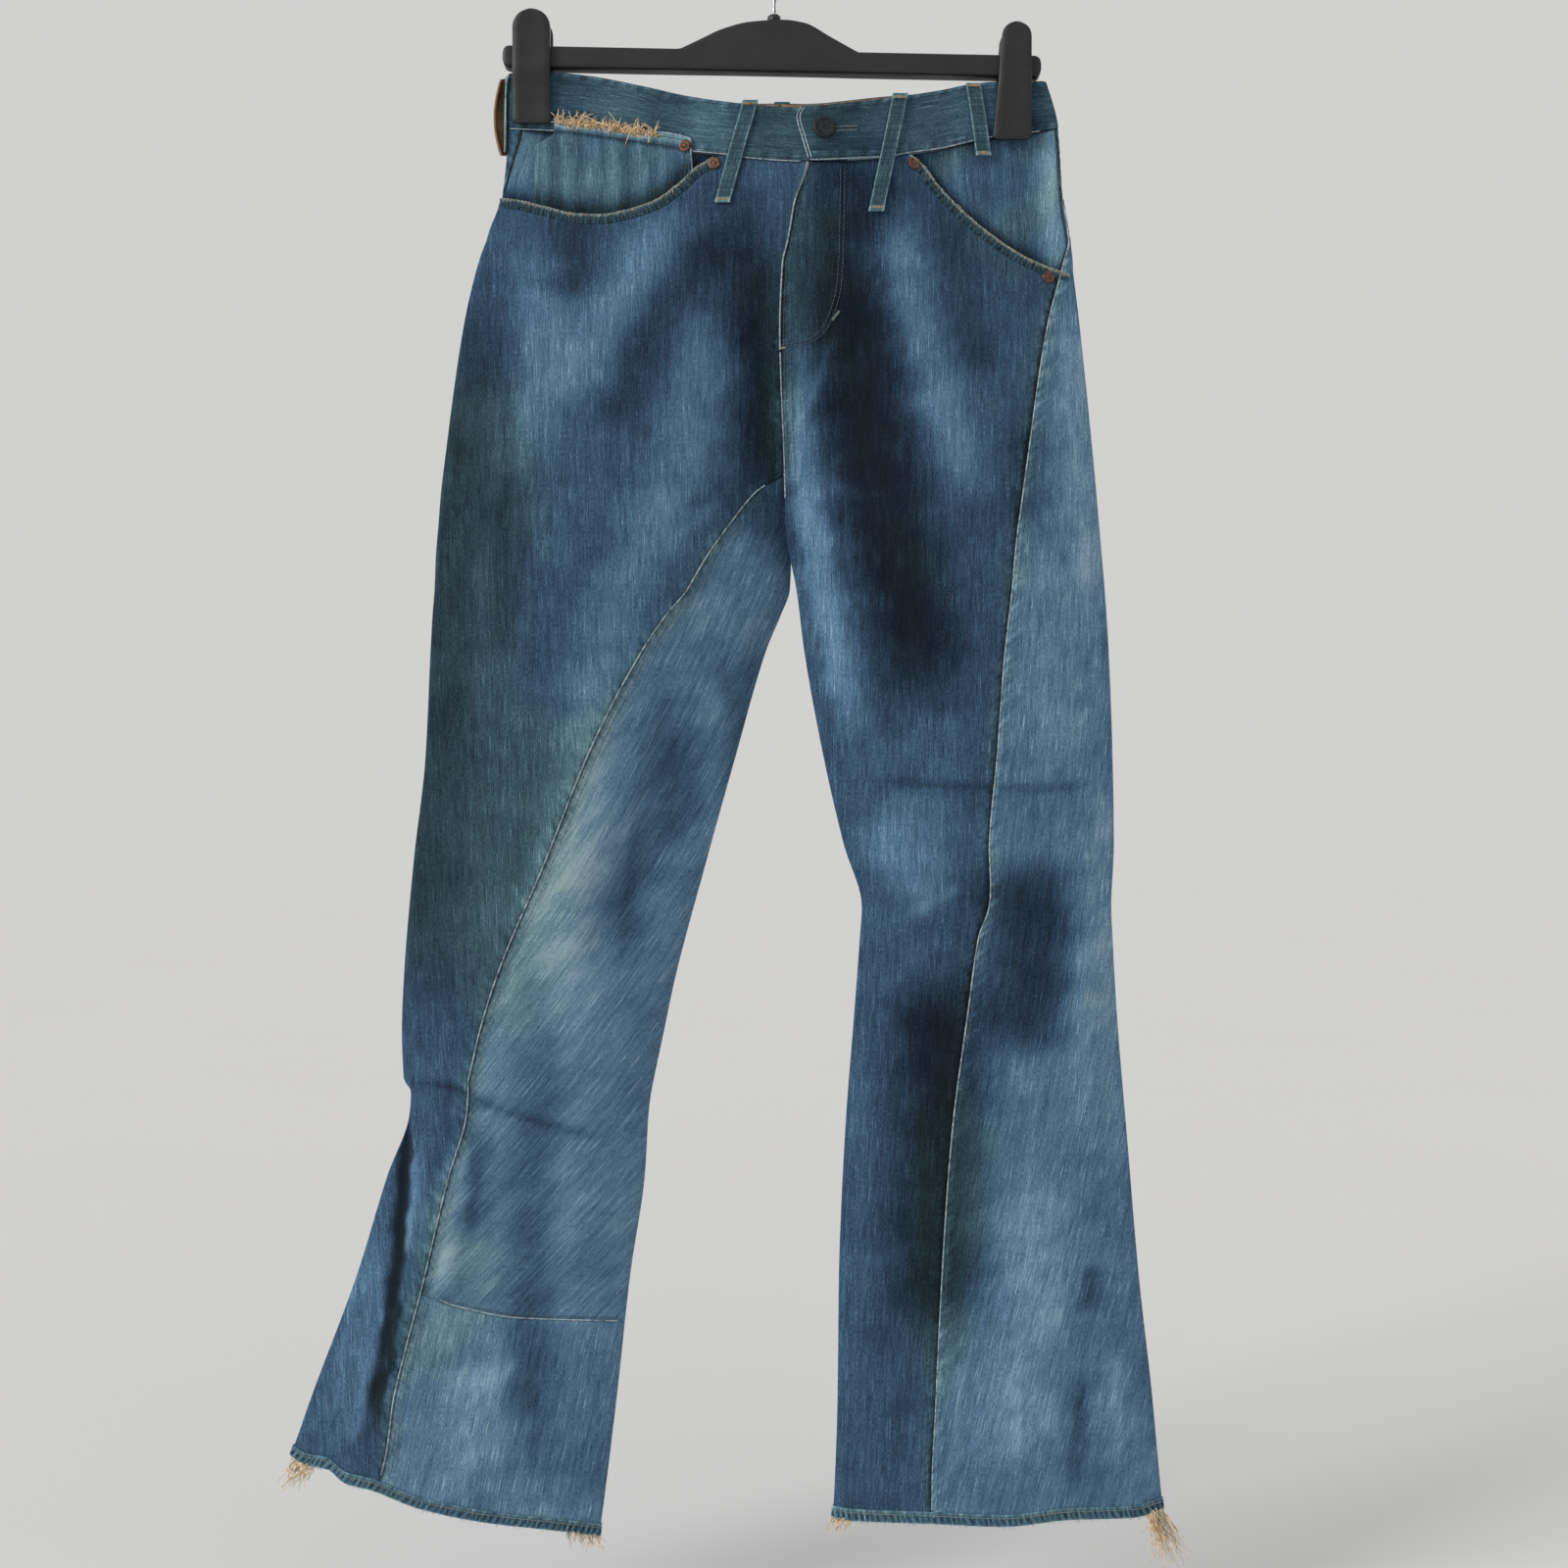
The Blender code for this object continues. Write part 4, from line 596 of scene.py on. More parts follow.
def fly_lap(leg: Leg, x: Grid, drop: Grid, on_front: Grid | bool) -> Grid:
    """Lift of the left front where it laps over the right one."""
    if leg is RIGHT:
        return np.zeros(np.shape(x))
    from_edge = np.abs(x - leg.read("inner", drop))
    near = smoothstep(1 - (from_edge - 14) / 26)
    return np.where(on_front, FLY_LIFT * near * smoothstep((LAP_END + 30 - drop) / 30), 0.0)


def fly_pull(drop: Grid) -> Grid:
    """How far the fly's edge draws back towards the waist."""
    return 7.0 * (1 - smoothstep((drop - 168) / 40))


def skin(leg: Leg, turn: Grid, drop: Grid, detail: Detail = Detail.FINE, shift: Grid | float = 0.0) -> Grid:
    """Outer face of the cloth.

    Args:
        leg: the side of the garment.
        turn: angle round the leg: 0 is the inner edge, half a turn the outer one, the front between them.
        drop: how far down, as seen.
        detail: how much relief it has.
        shift: how far it slides sideways to reach under the fly.

    Returns:
        Points in metres.
    """
    turn, drop = np.broadcast_arrays(turn, drop)
    on_front = np.sin(turn) >= 0
    closed = closing(drop)
    outer = leg.read("outer", drop)
    inner = leg.read("inner", drop)
    inner = np.where(on_front, inner, mix(CENTRE_BACK_X, inner, closed))
    place = np.cos(turn)
    x = (inner + outer) / 2 + (inner - outer) / 2 * place + shift
    full = np.where(on_front, leg.read("front", drop), leg.read("back", drop))
    depth = mix(trunk_depth(x, drop, on_front), half_depth(place, full, 0.9), closed)
    forward = mix(leg.read("outer_forward", drop), leg.read("inner_forward", drop), (1 + place) / 2)
    margin = smoothstep((1 - np.abs(trunk_place(x, drop))) / FOLD_MARGIN)
    margin = margin * mix(1.0, smoothstep((1 - np.abs(place)) / FOLD_MARGIN), closed)
    if detail is not Detail.FORM:
        start = smoothstep((drop - FOLD_START) / FOLD_START_LENGTH)
        depth = depth + read_strokes(x, drop, on_front, FOLDS) * margin * start
    if detail is Detail.FINE:
        rim = smoothstep((1 - np.abs(place)) / CREASE_MARGIN)
        depth = depth + read_strokes(x, drop, on_front, CREASES) * mix(1.0, rim, closed)
    depth = np.maximum(depth, EDGE_DEPTH * 0.6 * margin) + fly_lap(leg, x, drop, on_front)
    return along_sight(x, np.where(on_front, -depth, depth) - forward, drop)


def band_skin(turn: Grid, drop: Grid) -> Grid:
    """Outer face of the waist.

    Args:
        turn: angle round the trunk. The front lies between 0 and half a turn.
        drop: how far down, as seen.

    Returns:
        Points in metres.
    """
    turn, drop = np.broadcast_arrays(turn, drop)
    right = RIGHT.read("outer", drop)
    left = LEFT.read("outer", drop)
    x = (left + right) / 2 + (left - right) / 2 * np.cos(turn)
    on_front = np.sin(turn) >= 0
    depth = trunk_depth(x, drop, on_front)
    return along_sight(x, np.where(on_front, -depth, depth), drop)


def unit(vectors: Grid) -> Grid:
    """Vectors of length 1."""
    return vectors / np.linalg.norm(vectors, axis=-1, keepdims=True)


def band_normals(turn: Grid, drop: Grid) -> Grid:
    """Unit normals of the waist's face."""
    around = band_skin(turn + PROBE_TURN, drop) - band_skin(turn - PROBE_TURN, drop)
    down = band_skin(turn, drop + PROBE_DROP) - band_skin(turn, drop - PROBE_DROP)
    return unit(np.cross(around, down))


def leg_normals(leg: Leg, turn: Grid, drop: Grid) -> Grid:
    """Unit normals of a leg's soft form. The face ends at the centre front and back, down to the crotch.

    Args:
        leg: the side of the garment.
        turn: angles.
        drop: drops.

    Returns:
        One unit vector for each place.
    """
    turn, drop = np.broadcast_arrays(turn, drop)
    in_trunk = drop < CROTCH_DROP - 1
    ahead = np.where(in_trunk, np.minimum(turn + PROBE_TURN, 2 * math.pi - 1e-6), turn + PROBE_TURN)
    behind = np.where(in_trunk, np.maximum(turn - PROBE_TURN, 0.0), turn - PROBE_TURN)
    around = skin(leg, ahead, drop, Detail.FOLDS) - skin(leg, behind, drop, Detail.FOLDS)
    low = skin(leg, turn, drop + PROBE_DROP, Detail.FOLDS)
    high = skin(leg, turn, drop - PROBE_DROP, Detail.FOLDS)
    return unit(np.cross(around, low - high)) * leg.hand


def band_turn(x: Grid | float, drop: Grid | float, face: Face = Face.FRONT) -> Grid:
    """Angle round the trunk at x."""
    angle = np.arccos(np.clip(trunk_place(x, drop), -1, 1))
    return angle if face is Face.FRONT else 2 * math.pi - angle


def leg_turn(leg: Leg, x: Grid, drop: Grid, face: Face = Face.FRONT) -> Grid:
    """Angle round a leg at x."""
    inner = leg.read("inner", drop)
    if face is Face.BACK:
        inner = mix(CENTRE_BACK_X, inner, closing(drop))
    outer = leg.read("outer", drop)
    angle = np.arccos(np.clip((x - (inner + outer) / 2) / ((inner - outer) / 2), -1, 1))
    return angle if face is Face.FRONT else 2 * math.pi - angle


def on_panel(leg: Leg, x: Grid, drop: Grid, lift: float, face: Face = Face.FRONT) -> Grid:
    """Points a little out of a panel's face.

    Args:
        leg: the side of the garment.
        x: places across, as seen.
        drop: places down, as seen.
        lift: how far out, in millimetres.
        face: front or back.

    Returns:
        Points in metres.
    """
    turn = leg_turn(leg, x, drop, face)
    return skin(leg, turn, drop) + lift * MM * leg_normals(leg, turn, drop)


def on_band(x: Grid, drop: Grid, lift: float | Grid, face: Face = Face.FRONT) -> Grid:
    """Points a little out of the waist's face."""
    turn = band_turn(x, drop, face)
    return band_skin(turn, drop) + np.asarray(lift)[..., None] * MM * band_normals(turn, drop)


def lengths_along(points: Grid, axis: int = 0) -> Grid:
    """Length from the first point of each path to every other.

    Args:
        points: one path, or a grid of them.
        axis: the way that the paths run through the grid.

    Returns:
        The lengths, in the points' own unit.
    """
    steps = np.linalg.norm(np.diff(points, axis=axis), axis=-1)
    return np.concatenate([np.zeros_like(np.take(steps, [0], axis)), np.cumsum(steps, axis=axis)], axis)


def resample(points: Grid, step: float) -> Grid:
    """Even points along a path.

    Args:
        points: a path in metres.
        step: the spacing in millimetres.

    Returns:
        The path with evenly spaced points.
    """
    length = lengths_along(points)
    count = max(2, int(round(length[-1] / (step * MM))) + 1)
    at = np.linspace(0, length[-1], count)
    return np.stack([np.interp(at, length, points[:, i]) for i in range(3)], 1)


# Finishes


def linear(red: int, green: int, blue: int) -> Colour:
    """A colour as light, from its usual 0 to 255 values."""
    light = [((c / 255 + 0.055) / 1.055) ** 2.4 if c > 10 else c / 255 / 12.92 for c in (red, green, blue)]
    return (*light, 1.0)


class Value:
    """A shader value that adds its own maths."""

    def __init__(self, shader: "Shader", socket: NodeSocket | float) -> None:
        """Wrap a socket of a shader."""
        self.shader = shader
        self.socket = socket

    def combine(self, operation: str, *others: "Value | float") -> "Value":
        """One Math node on this value and others."""
        node = self.shader.tree.nodes.new("ShaderNodeMath")
        node.operation = operation
        for socket, source in zip(node.inputs, (self, *others)):
            self.shader.feed(socket, source)
        return Value(self.shader, node.outputs[0])

    def __add__(self, other: "Value | float") -> "Value":
        """Sum."""
        return self.combine("ADD", other)

    def __sub__(self, other: "Value | float") -> "Value":
        """Difference."""
        return self.combine("SUBTRACT", other)

    def __rsub__(self, other: float) -> "Value":
        """Difference, reflected."""
        return Value(self.shader, other).combine("SUBTRACT", self)

    def __mul__(self, other: "Value | float") -> "Value":
        """Product."""
        return self.combine("MULTIPLY", other)

    def step(self, low: float, high: float) -> "Value":
        """Soft step from 0 at low to 1 at high."""
        node = self.shader.node("ShaderNodeMapRange", {"interpolation_type": "SMOOTHSTEP"},
                                Value=self, **{"From Min": low, "From Max": high})
        return Value(self.shader, node.outputs[0])

    def wave(self, pitch: float) -> "Value":
        """Sine of this length, from 0 to 1, once each pitch."""
        return (self * (2 * math.pi / pitch)).combine("SINE") * 0.5 + 0.5


class Shader:
    """One material and its nodes."""

    def __init__(self, name: str, roughness: float, metallic: float = 0.0) -> None:
        """Start a material with its fixed values."""
        self.material = bpy.data.materials.new(name)
        self.material.use_nodes = True
        self.tree = self.material.node_tree
        self.surface = self.tree.nodes["Principled BSDF"]
        self.surface.inputs["Roughness"].default_value = roughness
        self.surface.inputs["Metallic"].default_value = metallic

    def feed(self, socket: NodeSocket, source: object) -> None:
        """Link a socket to a value, or set it."""
        if isinstance(source, Value):
            source = source.socket
        if isinstance(source, NodeSocket):
            self.tree.links.new(source, socket)
        else:
            socket.default_value = source

    def node(self, kind: str, settings: dict | None = None, **inputs: object) -> Node:
        """Add a node.

        Args:
            kind: the node's type.
            settings: its own settings, set first.
            inputs: values or links for its sockets, by name.

        Returns:
            The node.
        """
        made = self.tree.nodes.new(kind)
        for name, setting in (settings or {}).items():
            setattr(made, name, setting)
        for name, source in inputs.items():
            self.feed(made.inputs[name], source)
        return made

    def attribute(self, name: str) -> Value:
        """A number that the mesh carries."""
        return Value(self, self.node("ShaderNodeAttribute", {"attribute_name": name}).outputs["Fac"])

    def cloth_place(self) -> NodeSocket:
        """Place on the flat cloth, in metres."""
        return self.node("ShaderNodeUVMap", {"uv_map": "cloth"}).outputs[0]

    def object_place(self) -> NodeSocket:
        """Place in the object, in metres."""
        return self.node("ShaderNodeTexCoord").outputs["Object"]

    def stretched(self, place: NodeSocket, across: float, along: float, depth: float = 1.0) -> NodeSocket:
        """A place scaled differently across and along."""
        scaled = self.node("ShaderNodeVectorMath", {"operation": "MULTIPLY"})
        self.feed(scaled.inputs[0], place)
        scaled.inputs[1].default_value = (across, along, depth)
        return scaled.outputs[0]

    def noise(self, place: NodeSocket, scale: float, detail: float = 2.0, rough: float = 0.5) -> Value:
        """Soft noise from 0 to 1."""
        node = self.node("ShaderNodeTexNoise", None, Vector=place, Scale=scale, Detail=detail,
                         Roughness=rough)
        return Value(self, node.outputs["Fac"])

    def ramp(self, share: Value, stops: Sequence[tuple[float, Colour]]) -> NodeSocket:
        """A colour from a ramp.

        Args:
            share: where on the ramp.
            stops: places and colours, in rising order.

        Returns:
            The colour's socket.
        """
        node = self.node("ShaderNodeValToRGB")
        points = node.color_ramp.elements
        while len(points) < len(stops):
            points.new(0.5)
        for point, (place, colour) in zip(points, stops):
            point.position = place
            point.color = colour
        self.feed(node.inputs[0], share)
        return node.outputs[0]

    def blend(self, share: Value | float, first: object, second: object, way: str = "MIX") -> NodeSocket:
        """Two colours mixed."""
        node = self.node("ShaderNodeMix", {"data_type": "RGBA", "blend_type": way})
        self.feed(node.inputs[0], share)
        self.feed(node.inputs[6], first)
        self.feed(node.inputs[7], second)
        return node.outputs[2]

    def bump(self, height: Value, distance: float, strength: float = 1.0) -> None:
        """Small relief, in metres, on the surface's normal."""
        node = self.node("ShaderNodeBump", None, Height=height, Distance=distance, Strength=strength)
        self.tree.links.new(node.outputs[0], self.surface.inputs["Normal"])

    def colour(self, source: object) -> None:
        """Give the surface its colour."""
        self.feed(self.surface.inputs["Base Color"], source)

    def roughness(self, source: Value) -> None:
        """Give the surface a roughness that varies."""
        self.feed(self.surface.inputs["Roughness"], source)


INDIGO = [(0.00, linear(10, 20, 30)), (0.20, linear(21, 35, 50)), (0.40, linear(44, 65, 87)),
          (0.58, linear(68, 98, 124)), (0.76, linear(98, 132, 158)), (1.00, linear(152, 178, 194))]
TEAL = [(0.00, linear(11, 23, 27)), (0.20, linear(24, 40, 46)), (0.40, linear(45, 68, 78)),
        (0.58, linear(70, 99, 110)), (0.76, linear(104, 137, 146)), (1.00, linear(158, 180, 182))]
WASH_AND_SHADE_MIDDLE = 0.45


@dataclass(frozen=True)
class DenimFinish:
    """Washed twill. It reads the cloth's wash with its painted shade, its tint and its flat place from the
    mesh.
    """

    name: str = "denim"
    contrast: float = 1.0
    lighter: float = 0.0

    def make(self) -> Material:
        """Build the material.

        Returns:
            The material, with its nodes.
        """
        shader = Shader(self.name, 0.92)
        place = shader.cloth_place()
        wash = shader.attribute("wash")
        tint = shader.attribute("tint")
        streak = shader.noise(shader.stretched(place, 300, 14.0), 1.0, 4.0, 0.65)
        slub = shader.noise(shader.stretched(place, 1500, 62), 1.0, 3.0, 0.7)
        smudge = shader.noise(shader.stretched(place, 60, 26), 1.0, 4.0, 0.65)
        thread = shader.noise(shader.stretched(place, 1250, 46), 1.0, 1.0, 0.4).step(0.58, 0.74)
        fleck = shader.noise(shader.stretched(place, 1300, 420), 1.0, 1.0, 0.5)
        cloud = shader.noise(place, 26.0, 3.0, 0.6)
        patch = shader.noise(place, 9.0, 2.0, 0.5)
        parts = shader.node("ShaderNodeSeparateXYZ", None, Vector=place)
        diagonal = Value(shader, parts.outputs[0]) + Value(shader, parts.outputs[1]) * 0.9
        twill = (diagonal + fleck * 0.0006).wave(0.00118)
        # The wash attribute mixes the cloth's fade and wear with painted shade and highlight
        tone = (wash - WASH_AND_SHADE_MIDDLE) * (smudge + 0.50) + WASH_AND_SHADE_MIDDLE + self.lighter
        tone = tone + (streak - 0.5) * (0.34 * self.contrast) + (slub - 0.5) * (0.62 * self.contrast)
        tone = tone + (fleck - 0.5) * 0.40 + (cloud - 0.5) * 0.22 + (patch - 0.5) * 0.18
        tone = tone + (twill - 0.5) * 0.09 + thread * (tone * 0.30)
        # Darker wash, painted shade included, turns greener
        shade = (0.40 - wash).step(0.0, 0.3) * 0.45
        green = (tint + shade + (cloud - 0.5) + (patch - 0.5) * 1.1).step(0.05, 0.95)
        shader.colour(shader.blend(green, shader.ramp(tone, INDIGO), shader.ramp(tone, TEAL)))
        shader.bump(twill * 0.5 + slub * 0.9 + fleck * 0.8 + cloud * 0.3, 0.00035, 0.8)
        shader.surface.inputs["Sheen Weight"].default_value = 0.04
        shader.surface.inputs["Sheen Roughness"].default_value = 0.5
        shader.surface.inputs["Specular IOR Level"].default_value = 0.12
        return shader.material


@dataclass(frozen=True)
class ReverseFinish:
    """The paler wrong side of the twill."""

    name: str = "denim_reverse"

    def make(self) -> Material:
        """Build the material.

        Returns:
            The material, with its nodes.
        """
        shader = Shader(self.name, 0.95)
        place = shader.cloth_place()
        slub = shader.noise(shader.stretched(place, 700, 30), 1.0, 2.0, 0.6)
        cloud = shader.noise(place, 40.0, 2.0, 0.5)
        tone = slub * 0.6 + cloud * 0.4
        shader.colour(shader.ramp(tone, [(0.25, linear(96, 112, 126)), (0.75, linear(150, 164, 172))]))
        shader.bump(slub, 0.0003, 0.7)
        return shader.material


@dataclass(frozen=True)
class ThreadFinish:
    """Cotton thread or worn edge, uneven in tone."""

    name: str
    dark: Colour
    pale: Colour
    scale: float = 260.0

    def make(self) -> Material:
        """Build the material.

        Returns:
            The material, with its nodes.
        """
        shader = Shader(self.name, 0.95)
        place = shader.object_place()
        broad = shader.noise(place, self.scale, 3.0, 0.7)
        fine = shader.noise(place, self.scale * 6, 2.0, 0.6)
        tone = (broad * 0.65 + fine * 0.35).step(0.34, 0.64)
        shader.colour(shader.blend(tone, self.dark, self.pale))
        shader.bump(fine, 0.0002, 0.8)
        return shader.material


@dataclass(frozen=True)
class LeatherFinish:
    """Dull bare leather with a fine grain and a mottled tone."""

    name: str = "patch_leather"

    def make(self) -> Material:
        """Build the material.

        Returns:
            The material, with its nodes.
        """
        shader = Shader(self.name, 0.6)
        place = shader.object_place()
        grain = Value(shader, shader.node("ShaderNodeTexVoronoi", None, Vector=place, Scale=900.0).outputs[0])
        cloud = shader.noise(place, 90.0, 3.0, 0.6)
        shader.colour(shader.blend(cloud.step(0.3, 0.7), linear(94, 66, 44), linear(150, 116, 82)))
        shader.bump(grain, 0.0003, 0.5)
        shader.roughness(cloud * 0.3 + 0.45)
        return shader.material


@dataclass(frozen=True)
class MetalFinish:
    """Aged metal with a mottled tone."""

    name: str
    dark: Colour
    pale: Colour
    smooth: float
    metallic: float = 0.85

    def make(self) -> Material:
        """Build the material.

        Returns:
            The material, with its nodes.
        """
        shader = Shader(self.name, self.smooth, self.metallic)
        place = shader.object_place()
        cloud = shader.noise(place, 520.0, 4.0, 0.65)
        shader.colour(shader.blend(cloud.step(0.35, 0.65), self.dark, self.pale))
        shader.roughness(cloud * 0.35 + (self.smooth - 0.15))
        shader.bump(cloud, 0.0001, 0.3)
        return shader.material


@dataclass(frozen=True)
class PlasticFinish:
    """Moulded black plastic, satin, with a faint grain and handling marks."""

    name: str = "black_moulding"

    def make(self) -> Material:
        """Build the material.

        Returns:
            The material, with its nodes.
        """
        shader = Shader(self.name, 0.42)
        place = shader.object_place()
        grain = shader.noise(place, 2600.0, 2.0, 0.6)
        smear = shader.noise(place, 34.0, 3.0, 0.6)
        shader.colour(shader.blend(smear.step(0.3, 0.75), linear(13, 14, 16), linear(22, 24, 27)))
        shader.roughness(smear * 0.25 + 0.40)
        shader.bump(grain, 0.00005, 0.35)
        return shader.material


class Wardrobe:
    """Every finish, made once."""

    def __init__(self) -> None:
        """Build the materials."""
        self.denim = DenimFinish().make()
        self.hem_denim = DenimFinish("denim_hem", 1.15, 0.02).make()
        self.reverse = ReverseFinish().make()
        self.edge = ThreadFinish("worn_edge", linear(74, 98, 118), linear(172, 186, 190), 420.0).make()
        self.seam = ThreadFinish("worn_seam", linear(66, 86, 100), linear(166, 182, 184), 190.0).make()
        self.binding = ThreadFinish("worn_binding", linear(104, 110, 102), linear(190, 188, 172),
                                    420.0).make()
        self.tonal = ThreadFinish("tonal_thread", linear(44, 62, 74), linear(88, 108, 116), 300.0).make()
        self.pale = ThreadFinish("pale_thread", linear(86, 98, 102), linear(140, 146, 140), 300.0).make()
        self.tan = ThreadFinish("frayed_yarn", linear(170, 136, 96), linear(232, 208, 168), 240.0).make()
        self.fuzz = ThreadFinish("blue_fuzz", linear(84, 116, 138), linear(190, 202, 204), 300.0).make()
        self.tape = ThreadFinish("waist_tape", linear(88, 62, 44), linear(168, 134, 104), 160.0).make()
        self.leather = LeatherFinish().make()
        self.copper = MetalFinish("aged_copper", linear(66, 46, 40), linear(128, 94, 80), 0.55).make()
        self.dark_metal = MetalFinish("dark_button", linear(20, 23, 25), linear(48, 52, 54), 0.5, 0.6).make()
        self.tack = ThreadFinish("tack_thread", linear(120, 104, 84), linear(176, 158, 130), 300.0).make()
        self.plastic = PlasticFinish().make()
        self.steel = MetalFinish("bright_wire", linear(120, 122, 124), linear(176, 178, 180), 0.3, 1.0).make()


# Pieces


@dataclass
class ClothGrid:
    """Places of a sheet of cloth, row by row: its points in metres and what the weave needs to know."""

    points: Grid
    flat: Grid
    wash: Grid
    tint: Grid
    outward: Grid | None = None

    def area(self) -> float:
        """Area of the grid in square metres."""
        across = np.diff(self.points, axis=1)[:-1]
        down = np.diff(self.points, axis=0)[:, :-1]
        return float(np.linalg.norm(np.cross(across, down), axis=-1).sum())

    def joined(self) -> "ClothGrid":
        """The same grid with its first row again at its end."""
        grids = (self.points, self.flat, self.wash, self.tint)
        return ClothGrid(*(np.concatenate([grid, grid[:1]]) for grid in grids))


def flat_places(points: Grid, lean: Grid | float = 0.0) -> Grid:
    """Unroll a grid of points onto the flat cloth.

    Args:
        points: rows of points in metres.
        lean: how far the warp leans, in metres, at each row.

    Returns:
        Two lengths for each point, across the warp and along it.
    """
    across = lengths_along(points, 1)
    middle = points.shape[1] // 2
    across = across - across[:, middle:middle + 1] + points[:, middle:middle + 1, 0]
    along = -points[..., 2]
    return np.stack([across + lean, along], -1)


def dress(piece: Object, finishes: Sequence[Material], replaces: Sequence[str] = ()) -> Object:
    """Give a finished piece its finishes and its place on the object.

    Args:
        piece: the piece.
        finishes: its materials, in the order of its slots.
        replaces: the nodes that it stands for.

    Returns:
        The same piece.
    """
    for finish in finishes:
        piece.data.materials.append(finish)
    if replaces:
        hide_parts(*replaces)
    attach(piece, "root")
    LOG.info("made %s", piece.name)
    return piece


def to_object(name: str, shape: bmesh.types.BMesh, smooth: bool = True, angle: float = 50.0) -> Object:
    """Turn a bmesh into an object in the scene.

    Args:
        name: the piece's name.
        shape: its mesh, which is freed.
        smooth: whether its faces are shaded as one surface.
        angle: edges sharper than this stay sharp.

    Returns:
        The object.
    """
    mesh = bpy.data.meshes.new(name)
    shape.to_mesh(mesh)
    shape.free()
    if smooth:
        mesh.shade_smooth()
        mesh.set_sharp_from_angle(angle=math.radians(angle))
    made = bpy.data.objects.new(name, mesh)
    bpy.context.scene.collection.objects.link(made)
    return made


def add_wall(piece: Object, thickness: float, offset: float) -> Modifier:
    """Give a piece a wall, in millimetres. It goes inwards at offset -1 and outwards at 1."""
    wall = piece.modifiers.new("wall", "SOLIDIFY")
    wall.thickness = thickness * MM
    wall.offset = offset
    return wall


def spin_profile(rows: Rows, steps: int) -> bmesh.types.BMesh:
    """Spin a profile once round the upright axis.

    Args:
        rows: radii and heights in millimetres, from one end of the axis to the other.
        steps: how many sides it has.

    Returns:
        The closed shape.
    """
    shape = bmesh.new()
    verts = [shape.verts.new((radius * MM, 0.0, height * MM)) for radius, height in rows]
    edges = [shape.edges.new(pair) for pair in zip(verts, verts[1:])]
    bmesh.ops.spin(shape, geom=[*verts, *edges], cent=(0, 0, 0), axis=(0, 0, 1), angle=2 * math.pi,
                   steps=steps, use_merge=True)
    bmesh.ops.remove_doubles(shape, verts=shape.verts, dist=MERGE_DISTANCE)
    bmesh.ops.recalc_face_normals(shape, faces=shape.faces)
    return shape


def squared(turn: Grid, power: float) -> tuple[Grid, Grid]:
    """Cosine and sine of a circle drawn out towards a square. A lower power is squarer."""
    across, up = (np.sign(wave) * np.abs(wave) ** power for wave in (np.cos(turn), np.sin(turn)))
    return across, up


class Closing(Enum):
    """How a grid of places closes on itself."""

    OPEN = 0
    SIDES = 1
    SOLID = 2


def lay_cloth(name: str, cloth: ClothGrid, outward: Sequence[float] | Grid, wall: float,
              closing_way: Closing = Closing.OPEN, angle: float = 60.0) -> Object:
    """Lay a fine grid on its places, and give it a wall behind its face.

    Args:
        name: the piece's name.
        cloth: its places.
        outward: a direction that its face looks to, or one for each place.
        wall: how thick it is, in millimetres, or 0 where it gets none here.
        closing_way: open, a tube that is joined along its sides, or a solid with its ends filled too.
        angle: edges sharper than this stay sharp.

    Returns:
        The object, with its weave's place, its wash with painted shade and its tint on the mesh.
    """
    rows, columns = cloth.points.shape[:2]
    shape = bmesh.new()
    bmesh.ops.create_grid(shape, x_segments=columns - 1, y_segments=rows - 1, size=1.0)
    shape.verts.ensure_lookup_table()
    order = []
    for vert in shape.verts:
        c = int(round((vert.co.x + 1) / 2 * (columns - 1)))
        r = int(round((1 - vert.co.y) / 2 * (rows - 1)))
        order.append(r * columns + c)
    order = np.array(order)
    points = cloth.points.reshape(-1, 3)[order]
    for vert, point in zip(shape.verts, points):
        vert.co = point
    across = np.diff(cloth.points, axis=1)[:-1]
    down = np.diff(cloth.points, axis=0)[:, :-1]
    if np.sum(np.cross(down, across) * np.broadcast_to(outward, cloth.points.shape)[:-1, :-1]) < 0:
        bmesh.ops.reverse_faces(shape, faces=shape.faces)
    tone = shape.verts.layers.float.new("wash")
    hue = shape.verts.layers.float.new("tint")
    laid = shape.loops.layers.uv.new("cloth")
    wash = cloth.wash.reshape(-1)[order]
    tint = cloth.tint.reshape(-1)[order]
    flat = cloth.flat.reshape(-1, 2)[order]
    for vert, light, green in zip(shape.verts, wash, tint):
        vert[tone] = light
        vert[hue] = green
    for face in shape.faces:
        for loop in face.loops:
            loop[laid].uv = flat[loop.vert.index]
    if closing_way is not Closing.OPEN:
        bmesh.ops.remove_doubles(shape, verts=shape.verts, dist=1e-6)
    if closing_way is Closing.SOLID:
        rims = [edge for edge in shape.edges if edge.is_boundary]
        bmesh.ops.holes_fill(shape, edges=rims, sides=0)
        bmesh.ops.recalc_face_normals(shape, faces=shape.faces)
    made = to_object(name, shape, True, angle)
    if wall:
        ply = add_wall(made, wall, -1.0)
        ply.use_rim = True
        ply.material_offset = 1
        ply.material_offset_rim = 0
    return made


